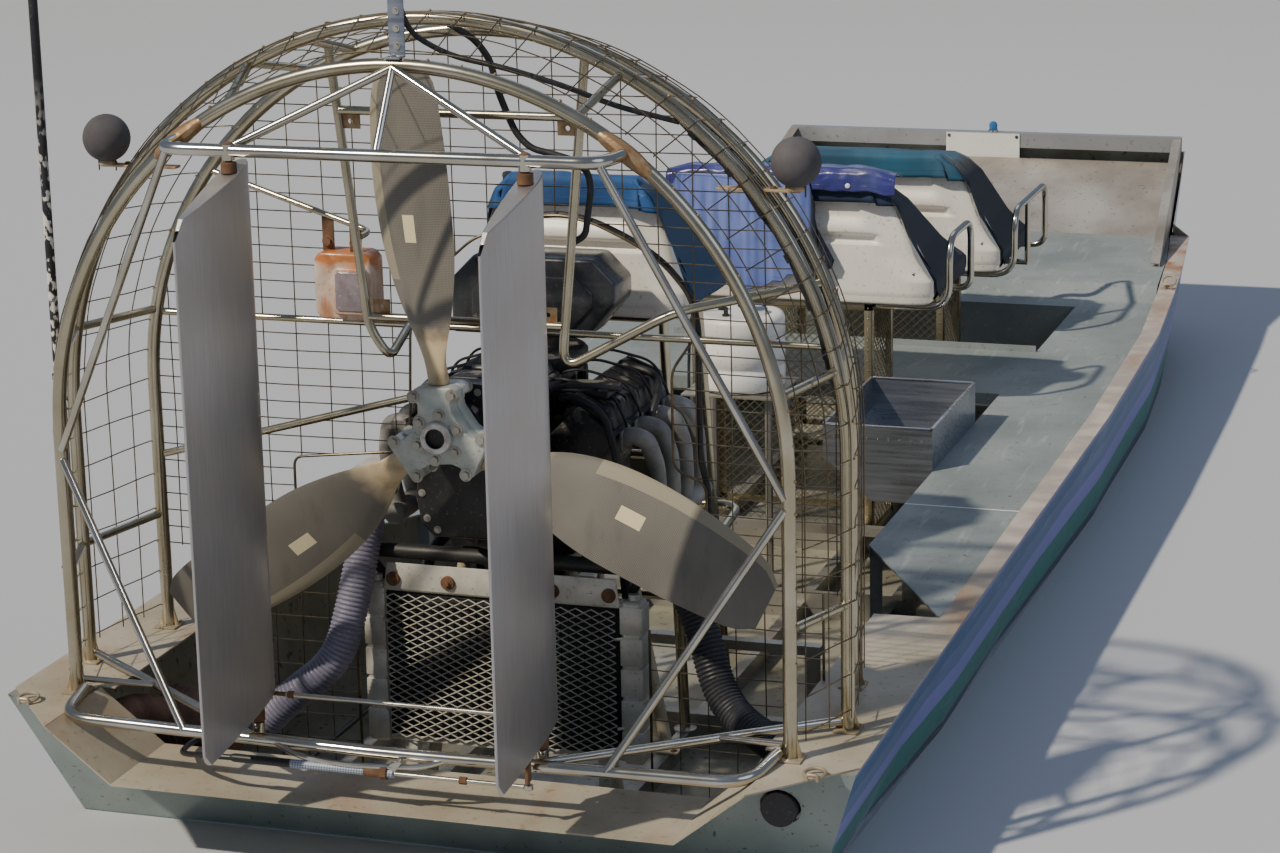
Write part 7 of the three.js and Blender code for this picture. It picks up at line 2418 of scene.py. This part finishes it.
def cage_cables():
    cable, tape = bmesh.new(), bmesh.new()
    route = [Vector((0.0, REAR_Y + 0.03, STRAP_FOOT + 0.16)),
        Vector((0.02, REAR_Y + 0.05, STRAP_FOOT + 0.06))]
    route += [on_hoop(REAR_Y + 0.075 + 0.17 * (90 - a) / 40, MIDDLE_R - 0.06 - 0.02
        * math.cos(math.radians(a * 5)), a) for a in (84, 76, 68, 60)]
    route.append(on_hoop(MIDDLE_Y + 0.014, MIDDLE_R - 0.024, 52))
    tube(cable, route, CABLE_THIN, 0.05, 10, 4)
    hoop = [on_hoop(MIDDLE_Y + 0.014, MIDDLE_R - 0.024 + 0.004 * math.sin(a), a) for a in range(52, 4, -4)]
    sweep(cable, hoop, CABLE_THIN, 10)
    front = [on_hoop(HOOP_FRONT_Y - 0.012, HOOP_FRONT_R - 0.022, a) for a in range(66, 8, -4)]
    sweep(cable, front, 0.006, 10)
    for a in range(50, 8, -7):
        sweep(tape, [on_hoop(MIDDLE_Y + 0.008, MIDDLE_R - 0.012, at) for at in (a, a - 1.2)], 0.0235, 14,
            flat=0.9)
    tube(cable, WANDERING, CABLE_THICK, 0.05, 12)
    tube(cable, [(x, ARCH_Y, z) for x, z in ARCH], CABLE_THICK, 0.05, 12)
    return cable, tape


cage_cable, cage_tape = cage_cables()
finished("cage_cable", cage_cable, BLACK_RUBBER, slot="black_plastic")
finished("cage_cable_tape", cage_tape, BLACK_RUBBER, slot="black_plastic")

# %% [markdown]
# The last pass is the small hardware: mooring rings at the stern corners and the bow,
# bolts and rivets, and the folded rim of the side box. Each touches what carries it.
# %% Rings, bolts and folded rims


def mooring_ring(whole, at, size, lean):
    """A ring that lies in its welded staple, tipped up by its lean."""
    x, y, z = at
    turns = [2 * math.pi * i / 20 for i in range(21)]
    loop = [(x + size * math.cos(turn), y + size * math.sin(turn) * math.cos(lean),
             z + 0.008 + (size + size * math.sin(turn)) * math.sin(lean)) for turn in turns]
    sweep(whole, loop, 0.005, 10, closed=False)
    tube(whole, [(x - 0.014, y - size, z), (x - 0.014, y - size, z + 0.016), (x + 0.014, y - size, z + 0.016),
                 (x + 0.014, y - size, z)], 0.005, 0.01, 10)


SHELF_TOP = 0.555
rings = bmesh.new()
for side in (-1, 1):
    mooring_ring(rings, (side * 1.13, -0.36, SHELF_TOP), 0.028, 0.12)
mooring_ring(rings, (1.12, 5.535, 0.604), 0.028, 0.7)
finished("mooring_rings", rings, FOOT_PLATE, slot="rusty_steel")

rims, rim_bolts = bmesh.new(), bmesh.new()
BOX_X, BOX_Y, BOX_TOP = (0.37, 0.7597), (2.59, 3.29), 0.7
OVER, RIM = 0.003, 0.012
rim_z = (BOX_TOP - OVER, BOX_TOP + OVER)
for x in (BOX_X[0] - OVER, BOX_X[1] + OVER - RIM):
    box(rims, (x, x + RIM), (BOX_Y[0] - OVER, BOX_Y[1] + OVER), rim_z, 0.002)
for y in (BOX_Y[0] - OVER, BOX_Y[1] + OVER - RIM):
    box(rims, (BOX_X[0] - OVER, BOX_X[1] + OVER), (y, y + RIM), rim_z, 0.002)
for i in range(9):
    stamp(rim_bolts, RIVET, aimed((BOX_X[0] + 0.04 + i * 0.039, BOX_Y[0], BOX_TOP - 0.045), (0, -1, 0), 1.2))
finished("side_box_rim", rims, BOX_ALUMINIUM, slot="bare_aluminium")
for x in (-0.158, 0.169):
    stamp(rim_bolts, BOLT, aimed((x, 6.944, 0.992), (0, -1, 0), 0.7))
for side in (-1, 1):
    for i in range(7):
        stamp(rim_bolts, RIVET, aimed((side * 1.08, 0.25 + i * 0.7, SHELF_TOP - 0.004), (0, 0, 1), 1.3))
finished("small_fasteners", rim_bolts, BRIGHT_STEEL, slot="stainless")
print("fittings ready")
